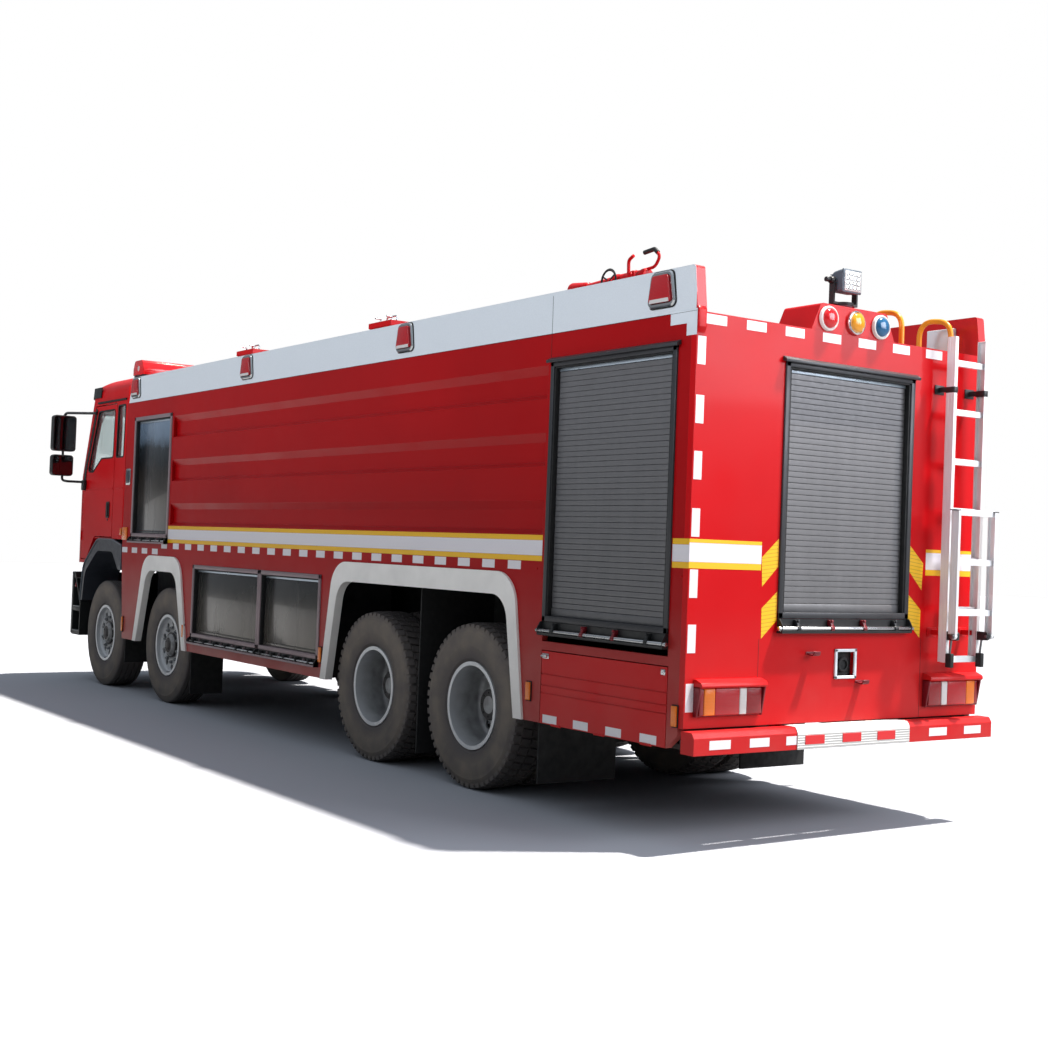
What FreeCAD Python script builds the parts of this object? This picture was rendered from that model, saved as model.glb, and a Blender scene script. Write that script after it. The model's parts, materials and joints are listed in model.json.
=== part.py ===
"""Foam fire truck: four-axle chassis, tilting cab and panelled tank body.

Row frame in millimetres: +X forward, +Y to the left, +Z up. The origin lies on the ground, midway
between the front bumper's face and the folded ladder's rear face, on the centre line.
Every driving size is a cell of the sheet "Sizes", and every sub-part takes its own sizes and place
from those cells through expressions.
"""
import FreeCAD, Part
import math
import os

import Sketcher

Vector = FreeCAD.Vector
Rotation = FreeCAD.Rotation

SIZES = {
    # overall
    "overall_length": (10840, "front bumper face to folded ladder"),
    "body_width": (2500, "outside of the body's side walls"),
    "roof_edge_height": (2990, "top of the side walls"),
    "floor_height": (1360, "underside of the body floor"),
    "skirt_height": (556, "lower edge of the side walls"),
    "wall": (45, "thickness of body walls"),
    "plate": (30, "thickness of floors, decks and inner boxes"),
    "joint_gap": (6, "clearance between panels that meet"),
    "moving_gap": (11, "clearance round doors and flaps"),
    # length stations
    "ladder_reach": (220, "rear wall to the ladder's rear face"),
    "front_overhang": (1142, "bumper face to first axle"),
    "first_spacing": (1770, "first to second axle"),
    "middle_spacing": (4105, "second to third axle"),
    "rear_spacing": (1350, "third to fourth axle"),
    "bumper_lead": (40, "bumper face ahead of the cab's face"),
    "cab_length": (1700, "cab front to cab back"),
    "cab_gap": (40, "cab back to body front"),
    # wheels and axles
    "tyre_diameter": (1124, "outside of the tyres"),
    "tyre_width": (310, "section width"),
    "tyre_face": (1190, "outer face of the outer tyres from the centre line"),
    "twin_pitch": (350, "centre to centre of twin tyres"),
    "rim_radius": (298, "outside of the rim lips"),
    "rim_wall": (14, "thickness of the rim barrel"),
    "bead_gap": (0.3, "play between rim and tyre bead"),
    "hub_radius": (120, "hub of a steered wheel"),
    "stub_radius": (38, "stub axle and axle tube end"),
    "bearing_play": (0.3, "radial play of shafts that turn"),
    "kingpin_offset": (920, "kingpin from the centre line"),
    "kingpin_radius": (24, "kingpin"),
    "kingpin_boss": (52, "outside of the beam's end boss"),
    "fork_thick": (35, "thickness of the knuckle's fork"),
    "beam_half": (45, "half height and half width of the steered axle beams"),
    "boss_half": (85, "half height of the beam's end boss"),
    "rim_seat": (285, "bead seat of the rims"),
    "rim_flange": (12, "thickness of a rim's lip"),
    "bead_inset": (34, "bead inside the tyre's side"),
    "disc": (14, "thickness of a wheel disc"),
    "steered_disc": (62, "steered wheel's disc outside the tyre's middle"),
    "steered_cap": (122, "steered hub's end outside the tyre's middle"),
    "twin_hub_radius": (140, "hub of the twin wheels"),
    "twin_cap_radius": (105, "end of the twin wheels' hub"),
    "twin_cap": (10, "twin hub's end inside the outer tyre's middle"),
    "hand_hole": (30, "radius of the hand holes"),
    "hand_pitch": (218, "hand holes from the wheel's axis"),
    "housing_radius": (75, "rear axle tubes"),
    "differential_radius": (205, "bulb of a rear axle"),
    "spring_half": (640, "half length of a leaf spring"),
    "spring_pack": (62, "thickness of a leaf pack"),
    # frame
    "rail_outer": (430, "outside of the frame rails from the centre line"),
    "rail_flange": (85, "flange width of a rail"),
    "rail_height": (280, "depth of a rail"),
    "rail_base": (740, "underside of the rails"),
    "rail_web": (12, "thickness of a rail's web and flanges"),
    "frame_start": (90, "rear wall to the rear end of the rails"),
    "subframe_width": (70, "width of the body's longitudinal bearers"),
    # arches
    "arch_top": (1280, "crown of the second axle's arch"),
    "arch_foot": (605, "half width of that arch at the skirt"),
    "arch_shoulder": (370, "half width of that arch at its crown"),
    "arch_corner": (180, "corner radius of the arches"),
    "tandem_arch_top": (1335, "crown of the rear arch"),
    "tandem_front_foot": (585, "rear arch foot ahead of the third axle"),
    "tandem_rear_foot": (643, "rear arch foot behind the fourth axle"),
    "tandem_front_shoulder": (430, "rear arch crown ahead of the third axle"),
    "tandem_rear_shoulder": (500, "rear arch crown behind the fourth axle"),
    "flare_width": (92, "width of an arch flare's face"),
    "flare_height": (150, "flare above an arch's crown"),
    "flare_proud": (18, "flare's face outside the wall"),
    "flare_lip": (10, "thickness of the flare's inner lip"),
    "lip_play": (2.5, "play between a flare's lip and the wall's edge"),
    # shutters
    "shutter_bar": (36, "width of a shutter frame's bars"),
    "shutter_proud": (12, "shutter frame outside the wall"),
    "curtain": (14, "thickness of a shutter curtain"),
    "curtain_recess": (30, "curtain face behind the wall's face"),
    "tall_start": (148, "rear wall to the tall shutter"),
    "tall_length": (1199, "length of the tall shutter"),
    "tall_base": (1190, "lower edge of the tall shutter"),
    "tall_top": (2815, "upper edge of the tall shutter"),
    "front_shutter_gap": (250, "front shutter to the body's front"),
    "front_shutter_length": (995, "length of the front shutter"),
    "front_shutter_base": (1610, "lower edge of the front shutter"),
    "locker_rear_gap": (740, "third axle to the lower lockers"),
    "locker_front_gap": (781, "lower lockers to the second axle"),
    "locker_base": (700, "lower edge of the lower shutters"),
    "locker_top": (1370, "upper edge of the lower shutters"),
    "tank_bay": (195, "room for the tanks between the rails and the lockers"),
    "rear_shutter_half": (560, "half width of the rear shutter"),
    "rear_shutter_base": (1290, "lower edge of the rear shutter"),
    "rear_shutter_top": (2785, "upper edge of the rear shutter"),
    "tray_height": (85, "height of the trays under the shutters"),
    "tray_reach": (48, "trays outside the wall"),
    # pressed channels in the side walls
    "channel_depth": (36, "depth of the pressed channels"),
    "channel_height": (210, "mouth of a pressed channel"),
    "channel_base": (1735, "lower edge of the lowest channel"),
    "channel_pitch": (425, "channel to channel"),
    "channel_flank": (56, "height of a channel's sloped flank"),
    # drop panels
    "drop_height": (450, "height of the drop panels"),
    "corner_cut": (122, "height of the cut corner behind the drop panel"),
    "skirt_cut": (95, "skirt's front corner cut back behind the first tyre"),
    "skirt_cut_rise": (850, "height of that cut"),
    # roof
    "parapet_height": (260, "parapet above the side walls"),
    "parapet_thick": (70, "thickness of a parapet"),
    "parapet_rake": (110, "rake of a parapet's front end"),
    "deck_drop": (40, "roof deck below the side walls' top"),
    "hatch_length": (335, "length of a roof hatch box"),
    "hatch_width": (550, "width of a roof hatch box"),
    "hatch_inset": (205, "hatch boxes inside the parapet"),
    "hatch_height": (400, "height of a roof hatch box above the deck"),
    "lid_thick": (28, "thickness of a hatch lid"),
    "rear_hatch_at": (4045, "rear wall to the rear hatch's middle"),
    "front_hatch_at": (6575, "rear wall to the front hatch's middle"),
    "searchlight_at": (150, "rear wall to the searchlight's post"),
    "searchlight_middle": (-60, "searchlight's post from the centre line"),
    "monitor_at": (2040, "rear wall to the roof monitor"),
    "monitor_height": (3600, "axis of the monitor's barrel"),
    "monitor_length": (880, "length of the monitor's barrel"),
    "lamp_plinth_half": (360, "half width of the warning lamp housing"),
    "turret_drop": (150, "top of the monitor's drum below the barrel's axis"),
    "barrel_tail": (90, "tail of the monitor's barrel behind its pivot"),
    "head_half": (84, "half width of the searchlight's head"),
    "head_rise": (74, "half height of the searchlight's head"),
    "yoke_half": (106, "outside of the searchlight's yoke"),
    "knuckle": (8, "radius of the hinge knuckles of doors, panels and lids"),
    # rear
    "rear_wall_base": (678, "lower edge of the rear wall"),
    "bumper_height": (125, "height of the rear bumper"),
    "bumper_base": (545, "lower edge of the rear bumper"),
    "bumper_reach": (115, "rear bumper's face behind the rear wall"),
    "ladder_middle": (-940, "middle of the ladder across the truck"),
    "ladder_half": (160, "half width of the upper ladder"),
    "ladder_rail": (28, "width of the ladder rails"),
    "rail_depth": (62, "depth of the ladder rails"),
    "rung_pitch": (310, "rung to rung"),
    "rung_radius": (15, "radius of a rung"),
    "ladder_fold": (1195, "height of the lower ladder's pivot"),
    # cab
    "cab_half_width": (1240, "half width of the cab at the doors"),
    "cab_base": (1300, "lower edge of the cab's front"),
    "cab_floor": (1575, "underside of the cab floor"),
    "cab_top": (3290, "top of the cab roof"),
    "cab_wall": (55, "thickness of the cab's walls and doors"),
    "cab_corner": (400, "rounding of the cab's front corners seen from above"),
    "cab_bow": (60, "front corners' tangent behind the cab's face"),
    "pillar_rake": (19.8, "lean of the windscreen and pillars from upright, in degrees"),
    "rake_height": (2250, "height where the front starts to lean back"),
    "roof_lean": (10, "how far the cab's sides lean in at the roof"),
    "glass": (6, "thickness of the window panes"),
    "glass_inset": (16, "panes behind the cab's outer face"),
    "door_front": (420, "cab front to the door's hinge line"),
    "door_rear": (1370, "cab front to the door's rear edge"),
    "door_top": (3010, "upper edge of the doors"),
    "door_pivot": (3, "door hinge ahead of and outside the door's corner"),
    "knuckle_length": (100, "length of a door hinge"),
    "lower_knuckle": (1550, "foot of the lower door hinge"),
    "upper_knuckle": (2100, "foot of the upper door hinge"),
    "knuckle_room": (5.5, "clearance round a door hinge"),
    "sill_height": (2440, "lower edge of the side windows"),
    "pivot_setback": (120, "cab's tilt pivot behind the bumper's face"),
    "pivot_height": (1245, "height of the cab's tilt pivot"),
    "pivot_radius": (20, "tilt pivot pin"),
    "front_bumper_top": (1185, "upper edge of the front bumper"),
    "front_bumper_base": (500, "lower edge of the front bumper"),
    "bumper_corner": (214, "rounding of the front bumper's corners"),
    "fender_top": (1571, "crown of the cab's wheel arch"),
    "mirror_reach": (1622, "outside of the mirror heads"),
    "steering_radius": (213, "radius of the steering wheel"),
    "seat_setback": (1080, "cab front to the middle of the seats"),
    "seat_offset": (560, "middle of a seat from the centre line"),
    "lining_gap": (0.5, "dashboard to the cab's inner face"),
    "windscreen_base": (2190, "lower edge of the windscreen"),
    "windscreen_top": (2960, "upper edge of the windscreen"),
    "lightbar_height": (3520, "top of the cab's light bar"),
    "searchlight_height": (3335, "tilt axis of the searchlight"),
    "plinth_top": (3155, "top of the warning lamp housing"),
    "handle_radius": (90, "hoop of the monitor's handle"),
    # fastening interfaces
    "hitch_hole": (9, "radius of the bolt holes in the frame's rear ends"),
    "hitch_pitch": (100, "pitch of those holes along the rail"),
    "hitch_rise": (160, "pitch of those holes up the rail"),
    "tow_eye_radius": (25, "bores of the front towing lugs"),
    "tow_eye_thick": (40, "thickness of the front towing lugs"),
}


class Size:
    """A number together with the spreadsheet expression that gives it."""

    def __init__(self, value, text):
        self.value = value
        self.text = text

    def __add__(self, other):
        other = as_size(other)
        return Size(self.value + other.value, f"({self.text} + {other.text})")

    def __sub__(self, other):
        other = as_size(other)
        return Size(self.value - other.value, f"({self.text} - {other.text})")

    def __mul__(self, factor):
        factor = as_size(factor)
        return Size(self.value * factor.value, f"({self.text} * {factor.text})")

    def __truediv__(self, factor):
        factor = as_size(factor)
        return Size(self.value / factor.value, f"({self.text} / {factor.text})")

    def __neg__(self):
        return Size(-self.value, f"(-1 * {self.text})")

    def __radd__(self, other):
        return as_size(other) + self

    def __rsub__(self, other):
        return as_size(other) - self

    __rmul__ = __mul__


def as_size(value):
    """Gives a plain number the same form as a size from the sheet."""
    if isinstance(value, Size):
        return value
    return Size(value, f"({value})")


class SizeTable:
    """The sheet of driving sizes, read as attributes."""

    def __init__(self, document, table):
        sheet = document.addObject("Spreadsheet::Sheet", "Sizes")
        for row, (alias, (value, note)) in enumerate(table.items(), start=1):
            sheet.set(f"A{row}", note)
            sheet.set(f"B{row}", str(value))
            sheet.setAlias(f"B{row}", alias)
            setattr(self, alias, Size(value, f"Sizes.{alias}"))


doc = FreeCAD.newDocument("foam_fire_truck")
S = SizeTable(doc, SIZES)
doc.recompute()
sub_parts = []

# ---------------------------------------------------------------- stations worked out once
FRONT = S.overall_length / 2
REAR = S.ladder_reach - S.overall_length / 2
CAB_FRONT = FRONT - S.bumper_lead
CAB_BACK = CAB_FRONT - S.cab_length
BODY_FRONT = CAB_BACK - S.cab_gap
AXLE_1 = FRONT - S.front_overhang
AXLE_2 = AXLE_1 - S.first_spacing
AXLE_3 = AXLE_2 - S.middle_spacing
AXLE_4 = AXLE_3 - S.rear_spacing
HUB_HEIGHT = S.tyre_diameter / 2
SIDE = S.body_width / 2
INSIDE = SIDE - S.wall
RAIL_TOP = S.rail_base + S.rail_height
DECK = S.roof_edge_height - S.deck_drop
FLOOR_TOP = S.floor_height + S.plate
TALL_START = REAR + S.tall_start
TALL_END = TALL_START + S.tall_length
FRONT_SHUTTER_END = BODY_FRONT - S.front_shutter_gap
FRONT_SHUTTER_START = FRONT_SHUTTER_END - S.front_shutter_length
LOCKER_START = AXLE_3 + S.locker_rear_gap
LOCKER_END = AXLE_2 - S.locker_front_gap
TYRE_MIDDLE = S.tyre_face - S.tyre_width / 2
DROP_TOP = S.skirt_height + S.drop_height
HATCH_MIDDLE = SIDE - S.parapet_thick - S.hatch_width / 2 - S.hatch_inset
HATCH_TOP = DECK + S.hatch_height
LAMP_X = REAR + S.searchlight_at
LAMP_Y = S.searchlight_middle
MONITOR_X = REAR + S.monitor_at
SEAT_X = CAB_FRONT - S.seat_setback


# ---------------------------------------------------------------- building helpers
def ordered(first, second):
    """The lower of two places first."""
    first = as_size(first)
    second = as_size(second)
    if first.value <= second.value:
        return first, second
    return second, first


def bind(thing, prop, amount):
    """Ties a property to the sheet."""
    thing.setExpression(prop, as_size(amount).text)


def place(thing, x=0, y=0, z=0, turn=Rotation()):
    """Ties a thing's place to the sheet, with a fixed turn."""
    thing.Placement = FreeCAD.Placement(Vector(), turn)
    bind(thing, "Placement.Base.x", x)
    bind(thing, "Placement.Base.y", y)
    bind(thing, "Placement.Base.z", z)
    return thing


def box(name, x, y, z):
    """A block between pairs of places along X, Y and Z."""
    block = doc.addObject("Part::Box", name)
    spans = [ordered(*x), ordered(*y), ordered(*z)]
    for prop, (low, high) in zip(("Length", "Width", "Height"), spans):
        bind(block, prop, high - low)
    return place(block, *[low for low, high in spans])


ALONG = {"X": Rotation(Vector(0, 1, 0), 90), "Y": Rotation(Vector(1, 0, 0), -90), "Z": Rotation()}
PLANE = {
    "X": Rotation(Vector(1, 1, 1), 120),
    "Y": Rotation(Vector(1, 0, 0), 90),
    "Z": Rotation(),
}
DIRECTION = {"X": Vector(1, 0, 0), "Y": Vector(0, 1, 0), "Z": Vector(0, 0, 1)}


def at(axis, along, across):
    """Orders a place along an axis and its two places across it as x, y and z."""
    first, second = across
    return {"X": (along, first, second), "Y": (first, along, second), "Z": (first, second, along)}[axis]


def cylinder(name, axis, centre, span, radius):
    """A rod along an axis; its centre is given by the two other coordinates."""
    low, high = ordered(*span)
    rod = doc.addObject("Part::Cylinder", name)
    bind(rod, "Radius", radius)
    bind(rod, "Height", high - low)
    return place(rod, *at(axis, low, centre), turn=ALONG[axis])


def cone(name, axis, centre, span, start_radius, end_radius):
    """A tapered rod along an axis."""
    low, high = span
    taper = doc.addObject("Part::Cone", name)
    bind(taper, "Radius1", start_radius)
    bind(taper, "Radius2", end_radius)
    bind(taper, "Height", high - low)
    return place(taper, *at(axis, low, centre), turn=ALONG[axis])


def corner_arc(before, here, after, radius):
    """Start, end and centre of the arc that rounds a corner."""
    back = (before - here).normalize()
    ahead = (after - here).normalize()
    half = back.getAngle(ahead) / 2
    reach = radius / math.tan(half)
    middle = (back + ahead).normalize()
    return here + back * reach, here + ahead * reach, here + middle * (radius / math.sin(half))


def draw(sketch, outline):
    """Draws a closed outline; a corner given with a radius becomes a tangent arc.

    Each corner is tied to the sheet by its two distances from the sketch's origin.
    """
    corners = [[as_size(value) for value in corner] for corner in outline]
    points = [Vector(corner[0].value, corner[1].value, 0) for corner in corners]
    count = len(corners)
    ends = []
    for index, corner in enumerate(corners):
        here = points[index]
        if len(corner) == 3:
            ends.append(corner_arc(points[index - 1], here, points[(index + 1) % count], corner[2].value))
        else:
            ends.append((here, here, None))
    lines = [
        sketch.addGeometry(Part.LineSegment(ends[index][1], ends[(index + 1) % count][0]))
        for index in range(count)
    ]
    for index, corner in enumerate(corners):
        previous = lines[index - 1]
        following = lines[index]
        start, end, centre = ends[index]
        if centre is None:
            sketch.addConstraint(Sketcher.Constraint("Coincident", previous, 2, following, 1))
            target = following
        else:
            target = sketch.addGeometry(Part.Point(points[index]), True)
            sketch.addConstraint(Sketcher.Constraint("PointOnObject", target, 1, previous))
            sketch.addConstraint(Sketcher.Constraint("PointOnObject", target, 1, following))
            round_corner(sketch, previous, following, start, end, centre, corner[2], index)
        for letter, amount in zip("XY", corner):
            tie = Sketcher.Constraint("Distance" + letter, -1, 1, target, 1, amount.value)
            name_constraint(sketch, sketch.addConstraint(tie), f"corner_{index}_{letter.lower()}", amount)


def round_corner(sketch, previous, following, start, end, centre, radius, index):
    """Adds the arc of one corner, tangent to the two runs that meet there."""
    left_turn = (start - centre).cross(end - centre).z > 0
    first, last = (start, end) if left_turn else (end, start)
    circle = Part.Circle(centre, Vector(0, 0, 1), radius.value)
    arc = sketch.addGeometry(Part.ArcOfCircle(circle, circle.parameter(first), circle.parameter(last)))
    entry, leave = (1, 2) if left_turn else (2, 1)
    sketch.addConstraint(Sketcher.Constraint("Tangent", previous, 2, arc, entry))
    sketch.addConstraint(Sketcher.Constraint("Tangent", arc, leave, following, 1))
    tie = sketch.addConstraint(Sketcher.Constraint("Radius", arc, radius.value))
    name_constraint(sketch, tie, f"corner_{index}_radius", radius)


def name_constraint(sketch, number, name, amount):
    """Names a dimension of a sketch and ties it to the sheet."""
    sketch.renameConstraint(number, name)
    sketch.setExpression("Constraints." + name, amount.text)


def prism(name, axis, outline, span):
    """A solid of constant section along an axis; the outline is in the two other coordinates."""
    low, high = ordered(*span)
    sketch = doc.addObject("Sketcher::SketchObject", name + "_outline")
    draw(sketch, outline)
    place(sketch, *at(axis, low, (0, 0)), turn=PLANE[axis])
    solid = doc.addObject("Part::Extrusion", name)
    solid.Base = sketch
    solid.DirMode = "Custom"
    solid.Dir = DIRECTION[axis]
    solid.Solid = True
    bind(solid, "LengthFwd", high - low)
    return solid


def fuse(name, pieces):
    """Joins pieces; those that don't touch stay separate solids of one sub-part."""
    joined = doc.addObject("Part::MultiFuse", name)
    joined.Shapes = pieces
    return joined


def common(name, pieces):
    """What all the pieces share."""
    shared = doc.addObject("Part::MultiCommon", name)
    shared.Shapes = pieces
    return shared


def cut(name, base, tools):
    """Takes the tools away from the base."""
    if len(tools) == 1:
        tool = tools[0]
    else:
        tool = fuse(name + "_tools", tools)
    result = doc.addObject("Part::Cut", name)
    result.Base = base
    result.Tool = tool
    return result


def mirrored(name, source):
    """The same piece on the other side of the truck."""
    copy = doc.addObject("Part::Mirroring", name)
    copy.Source = source
    copy.Normal = Vector(0, 1, 0)
    return copy


def both_sides(name, build):
    """Builds a left-hand piece and its mirror image as one pair."""
    left = build(name + "_left_piece")
    return [left, mirrored(name + "_right_piece", left)]


def sub_part(name, solid):
    """Declares a finished sub-part; its label names its file."""
    solid.Label = name
    sub_parts.append(solid)
    return solid


def sides(name, solid):
    """Declares a left-hand sub-part and its mirror image."""
    sub_part(name + "_left", solid)
    sub_part(name + "_right", mirrored(name + "_mirrored", solid))


def origin_plane(body, role):
    """A body's own origin plane or axis."""
    return next(feature for feature in body.Origin.OriginFeatures if feature.Role == role)


def body_sketch(body, name, role, outline, offset=0):
    """A sketch on one of a body's origin planes."""
    sketch = body.newObject("Sketcher::SketchObject", name)
    sketch.AttachmentSupport = [(origin_plane(body, role), "")]
    sketch.MapMode = "FlatFace"
    bind(sketch, "AttachmentOffset.Base.z", offset)
    draw(sketch, outline)
    return sketch


def turned(body, name, outline):
    """Revolves an outline of (across, radius) points about the body's Y axis."""
    sketch = body_sketch(body, name + "_section", "YZ_Plane", outline)
    solid = body.newObject("PartDesign::Revolution", name)
    solid.Profile = sketch
    solid.ReferenceAxis = (sketch, ["H_Axis"])
    solid.Angle = 360
    return solid


def holes_round(body, name, radius, pitch_radius, count):
    """Cuts one round hole right through along Y and repeats it about the Y axis."""
    sketch = body.newObject("Sketcher::SketchObject", name + "_circle")
    sketch.AttachmentSupport = [(origin_plane(body, "XZ_Plane"), "")]
    sketch.MapMode = "FlatFace"
    circle = sketch.addGeometry(Part.Circle(Vector(0, pitch_radius.value, 0), Vector(0, 0, 1), radius.value))
    sketch.addConstraint(Sketcher.Constraint("PointOnObject", circle, 3, -2))
    rise = sketch.addConstraint(Sketcher.Constraint("DistanceY", -1, 1, circle, 3, pitch_radius.value))
    name_constraint(sketch, rise, "pitch_radius", pitch_radius)
    size = sketch.addConstraint(Sketcher.Constraint("Radius", circle, radius.value))
    name_constraint(sketch, size, "hole_radius", radius)
    hole = body.newObject("PartDesign::Pocket", name)
    hole.Profile = sketch
    hole.Type = "ThroughAll"
    hole.Midplane = True
    pattern = body.newObject("PartDesign::PolarPattern", name + "_ring")
    pattern.Originals = [hole]
    pattern.Axis = (origin_plane(body, "Y_Axis"), [""])
    pattern.Angle = 360
    pattern.Occurrences = count
    body.Tip = pattern


# ---------------------------------------------------------------- wheels
def tyre_outline(shift):
    """Section of one tyre; shift moves it inwards along the axle."""
    half = S.tyre_width / 2
    bead = half - S.bead_inset
    seat = S.rim_seat + S.bead_gap
    lip = S.rim_radius + S.bead_gap * 5
    tread = S.tyre_diameter / 2
    middle = lip + (tread - lip) * 0.45
    side = [(bead, seat), (bead, lip), (half, middle, 70), (half - 10, tread - 14, 24), (half - 55, tread)]
    left = [(-shift - corner[0], *corner[1:]) for corner in reversed(side)]
    right = [(corner[0] - shift, *corner[1:]) for corner in side]
    return right + left


def rim_barrel(shift):
    """Outside of one rim's barrel, from the outer lip's face to the inner lip's face."""
    seat = S.tyre_width / 2 - S.bead_inset + S.bead_gap
    face = seat + S.rim_flange
    lip = S.rim_radius
    return [
        (face - shift, lip), (seat - shift, lip), (seat - shift, S.rim_seat),
        (-seat - shift, S.rim_seat), (-seat - shift, lip), (-face - shift, lip),
    ]


def steered_rim_outline():
    """Section of a steered wheel: barrel, disc towards the outside and closed hub."""
    inside = S.rim_seat - S.rim_wall
    face = S.tyre_width / 2 - S.bead_inset + S.bead_gap + S.rim_flange
    disc = S.steered_disc
    bore = S.stub_radius + S.bearing_play
    return rim_barrel(0) + [
        (-face, inside), (disc, inside), (disc, S.hub_radius), (disc - 20, S.hub_radius),
        (disc - 20, bore), (S.steered_cap - 25, bore), (S.steered_cap - 25, 0), (S.steered_cap, 0),
        (S.steered_cap, S.hub_radius * 0.7, 12), (disc + S.disc + 12, S.hub_radius, 10),
        (disc + S.disc, S.hub_radius), (disc + S.disc, inside, 30), (face, inside),
    ]


def twin_rim_outline():
    """Section of a pair of rims whose discs meet back to back on one hub."""
    inside = S.rim_seat - S.rim_wall
    face = S.tyre_width / 2 - S.bead_inset + S.bead_gap + S.rim_flange
    bore = S.stub_radius + S.bearing_play
    pitch = S.twin_pitch
    hub = S.twin_hub_radius
    outer = rim_barrel(0)
    inner = rim_barrel(pitch)
    return outer + [
        (-face, hub), (face - pitch, hub),
    ] + inner + [
        (-face - pitch, inside), (face - pitch - S.disc, inside), (face - pitch - S.disc, hub),
        (-face - pitch, hub), (-face - pitch, bore), (-S.twin_cap - 25, bore), (-S.twin_cap - 25, 0),
        (-S.twin_cap, 0), (-S.twin_cap, S.twin_cap_radius, 18), (-S.twin_cap - 55, S.twin_cap_radius),
        (-S.twin_cap - 55, hub), (S.disc - face, hub), (S.disc - face, inside, 30), (face, inside),
    ]


def wheel_body(name, axle, hand):
    """An empty body at a wheel's middle, with its outside facing away from the truck."""
    body = doc.addObject("PartDesign::Body", name)
    place(body, axle, hand * TYRE_MIDDLE, HUB_HEIGHT, turn=Rotation(Vector(0, 0, 1), 0 if hand > 0 else 180))
    return body


def make_tyres(name, axle, hand, shifts):
    """One tyre, or a twin pair that does not touch."""
    bodies = []
    for number, shift in enumerate(shifts):
        body = wheel_body(f"{name}_tyre_{number}", axle, hand)
        turned(body, f"{name}_tyre_ring_{number}", tyre_outline(shift))
        bodies.append(body)
    sub_part(name, bodies[0] if len(bodies) == 1 else fuse(name + "_pair", bodies))


def make_rim(name, axle, hand, outline, holes):
    """A rim with its disc and hub, with hand holes round the disc."""
    body = wheel_body(name + "_body", axle, hand)
    turned(body, name + "_turned", outline)
    holes_round(body, name + "_hand_hole", S.hand_hole, S.hand_pitch, holes)
    sub_part(name, body)


def make_knuckle(name, axle, hand):
    """A steering knuckle: fork round the beam's boss, kingpin and stub axle."""
    back = S.kingpin_offset + S.kingpin_boss + S.joint_gap
    low = HUB_HEIGHT - S.boss_half - S.joint_gap
    high = HUB_HEIGHT + S.boss_half + S.joint_gap
    half = S.kingpin_boss * 0.9
    wide = (axle - half, axle + half)
    fork_y = (hand * (S.kingpin_offset - half), hand * (back + S.fork_thick))
    tip = TYRE_MIDDLE + S.steered_cap - 26
    spine_y = (hand * back, hand * (back + S.fork_thick))
    pieces = [
        box(name + "_upper_lug", wide, fork_y, (high, high + S.fork_thick)),
        box(name + "_lower_lug", wide, fork_y, (low - S.fork_thick, low)),
        box(name + "_spine", wide, spine_y, (low - S.fork_thick, high + S.fork_thick)),
        cylinder(name + "_kingpin", "Z", (axle, hand * S.kingpin_offset), (low, high), S.kingpin_radius),
        cylinder(name + "_stub", "Y", (axle, HUB_HEIGHT), (hand * back, hand * tip), S.stub_radius),
    ]
    sub_part(name, fuse(name + "_joined", pieces))


for side_name, hand in (("left", 1), ("right", -1)):
    for number, axle in ((1, AXLE_1), (2, AXLE_2)):
        make_knuckle(f"knuckle_{number}_{side_name}", axle, hand)
        make_rim(f"rim_{number}_{side_name}", axle, hand, steered_rim_outline(), 10)
        make_tyres(f"tyre_{number}_{side_name}", axle, hand, [as_size(0)])
    for number, axle in ((3, AXLE_3), (4, AXLE_4)):
        make_rim(f"rims_{number}_{side_name}", axle, hand, twin_rim_outline(), 8)
        make_tyres(f"tyres_{number}_{side_name}", axle, hand, [as_size(0), S.twin_pitch])


# ---------------------------------------------------------------- chassis
def steered_axle(name, axle):
    """A beam with a bored boss at each end, and a leaf spring near each end."""
    reach = S.kingpin_offset
    half = S.beam_half
    pieces = [box(name + "_beam", (axle - half, axle + half), (-reach, reach),
                  (HUB_HEIGHT - half, HUB_HEIGHT + half))]
    bores = []
    for end, hand in (("left", 1), ("right", -1)):
        centre = (axle, hand * reach)
        boss = (HUB_HEIGHT - S.boss_half, HUB_HEIGHT + S.boss_half)
        pieces.append(cylinder(f"{name}_boss_{end}", "Z", centre, boss, S.kingpin_boss))
        bores.append(cylinder(f"{name}_bore_{end}", "Z", centre, boss, S.kingpin_radius + S.bearing_play))
        pieces += leaf_spring(f"{name}_spring_{end}", axle, hand, HUB_HEIGHT + half, S.spring_half)
    return cut(name, fuse(name + "_blank", pieces), bores)


def leaf_spring(name, middle, hand, seat, reach):
    """A bowed leaf pack under a rail, with its seat on the axle and hangers at its ends."""
    wide = (hand * (S.rail_outer - S.rail_flange), hand * S.rail_outer)
    eye = S.rail_base - 34
    sag = seat + 18
    leaf = [
        (middle - reach, eye), (middle - reach * 0.4, sag, 400), (middle + reach * 0.4, sag, 400),
        (middle + reach, eye),
        (middle + reach, eye + 14), (middle + reach * 0.4, sag + S.spring_pack, 400),
        (middle - reach * 0.4, sag + S.spring_pack, 400), (middle - reach, eye + 14),
    ]
    pieces = [prism(name + "_leaves", "Y", leaf, wide)]
    pieces.append(box(name + "_seat", (middle - 60, middle + 60), wide, (seat, sag + 10)))
    for end, station in (("rear", middle - reach), ("front", middle + reach)):
        pieces.append(box(f"{name}_hanger_{end}", (station - 25, station + 25), wide,
                          (eye - 10, S.rail_base)))
    return pieces


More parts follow.
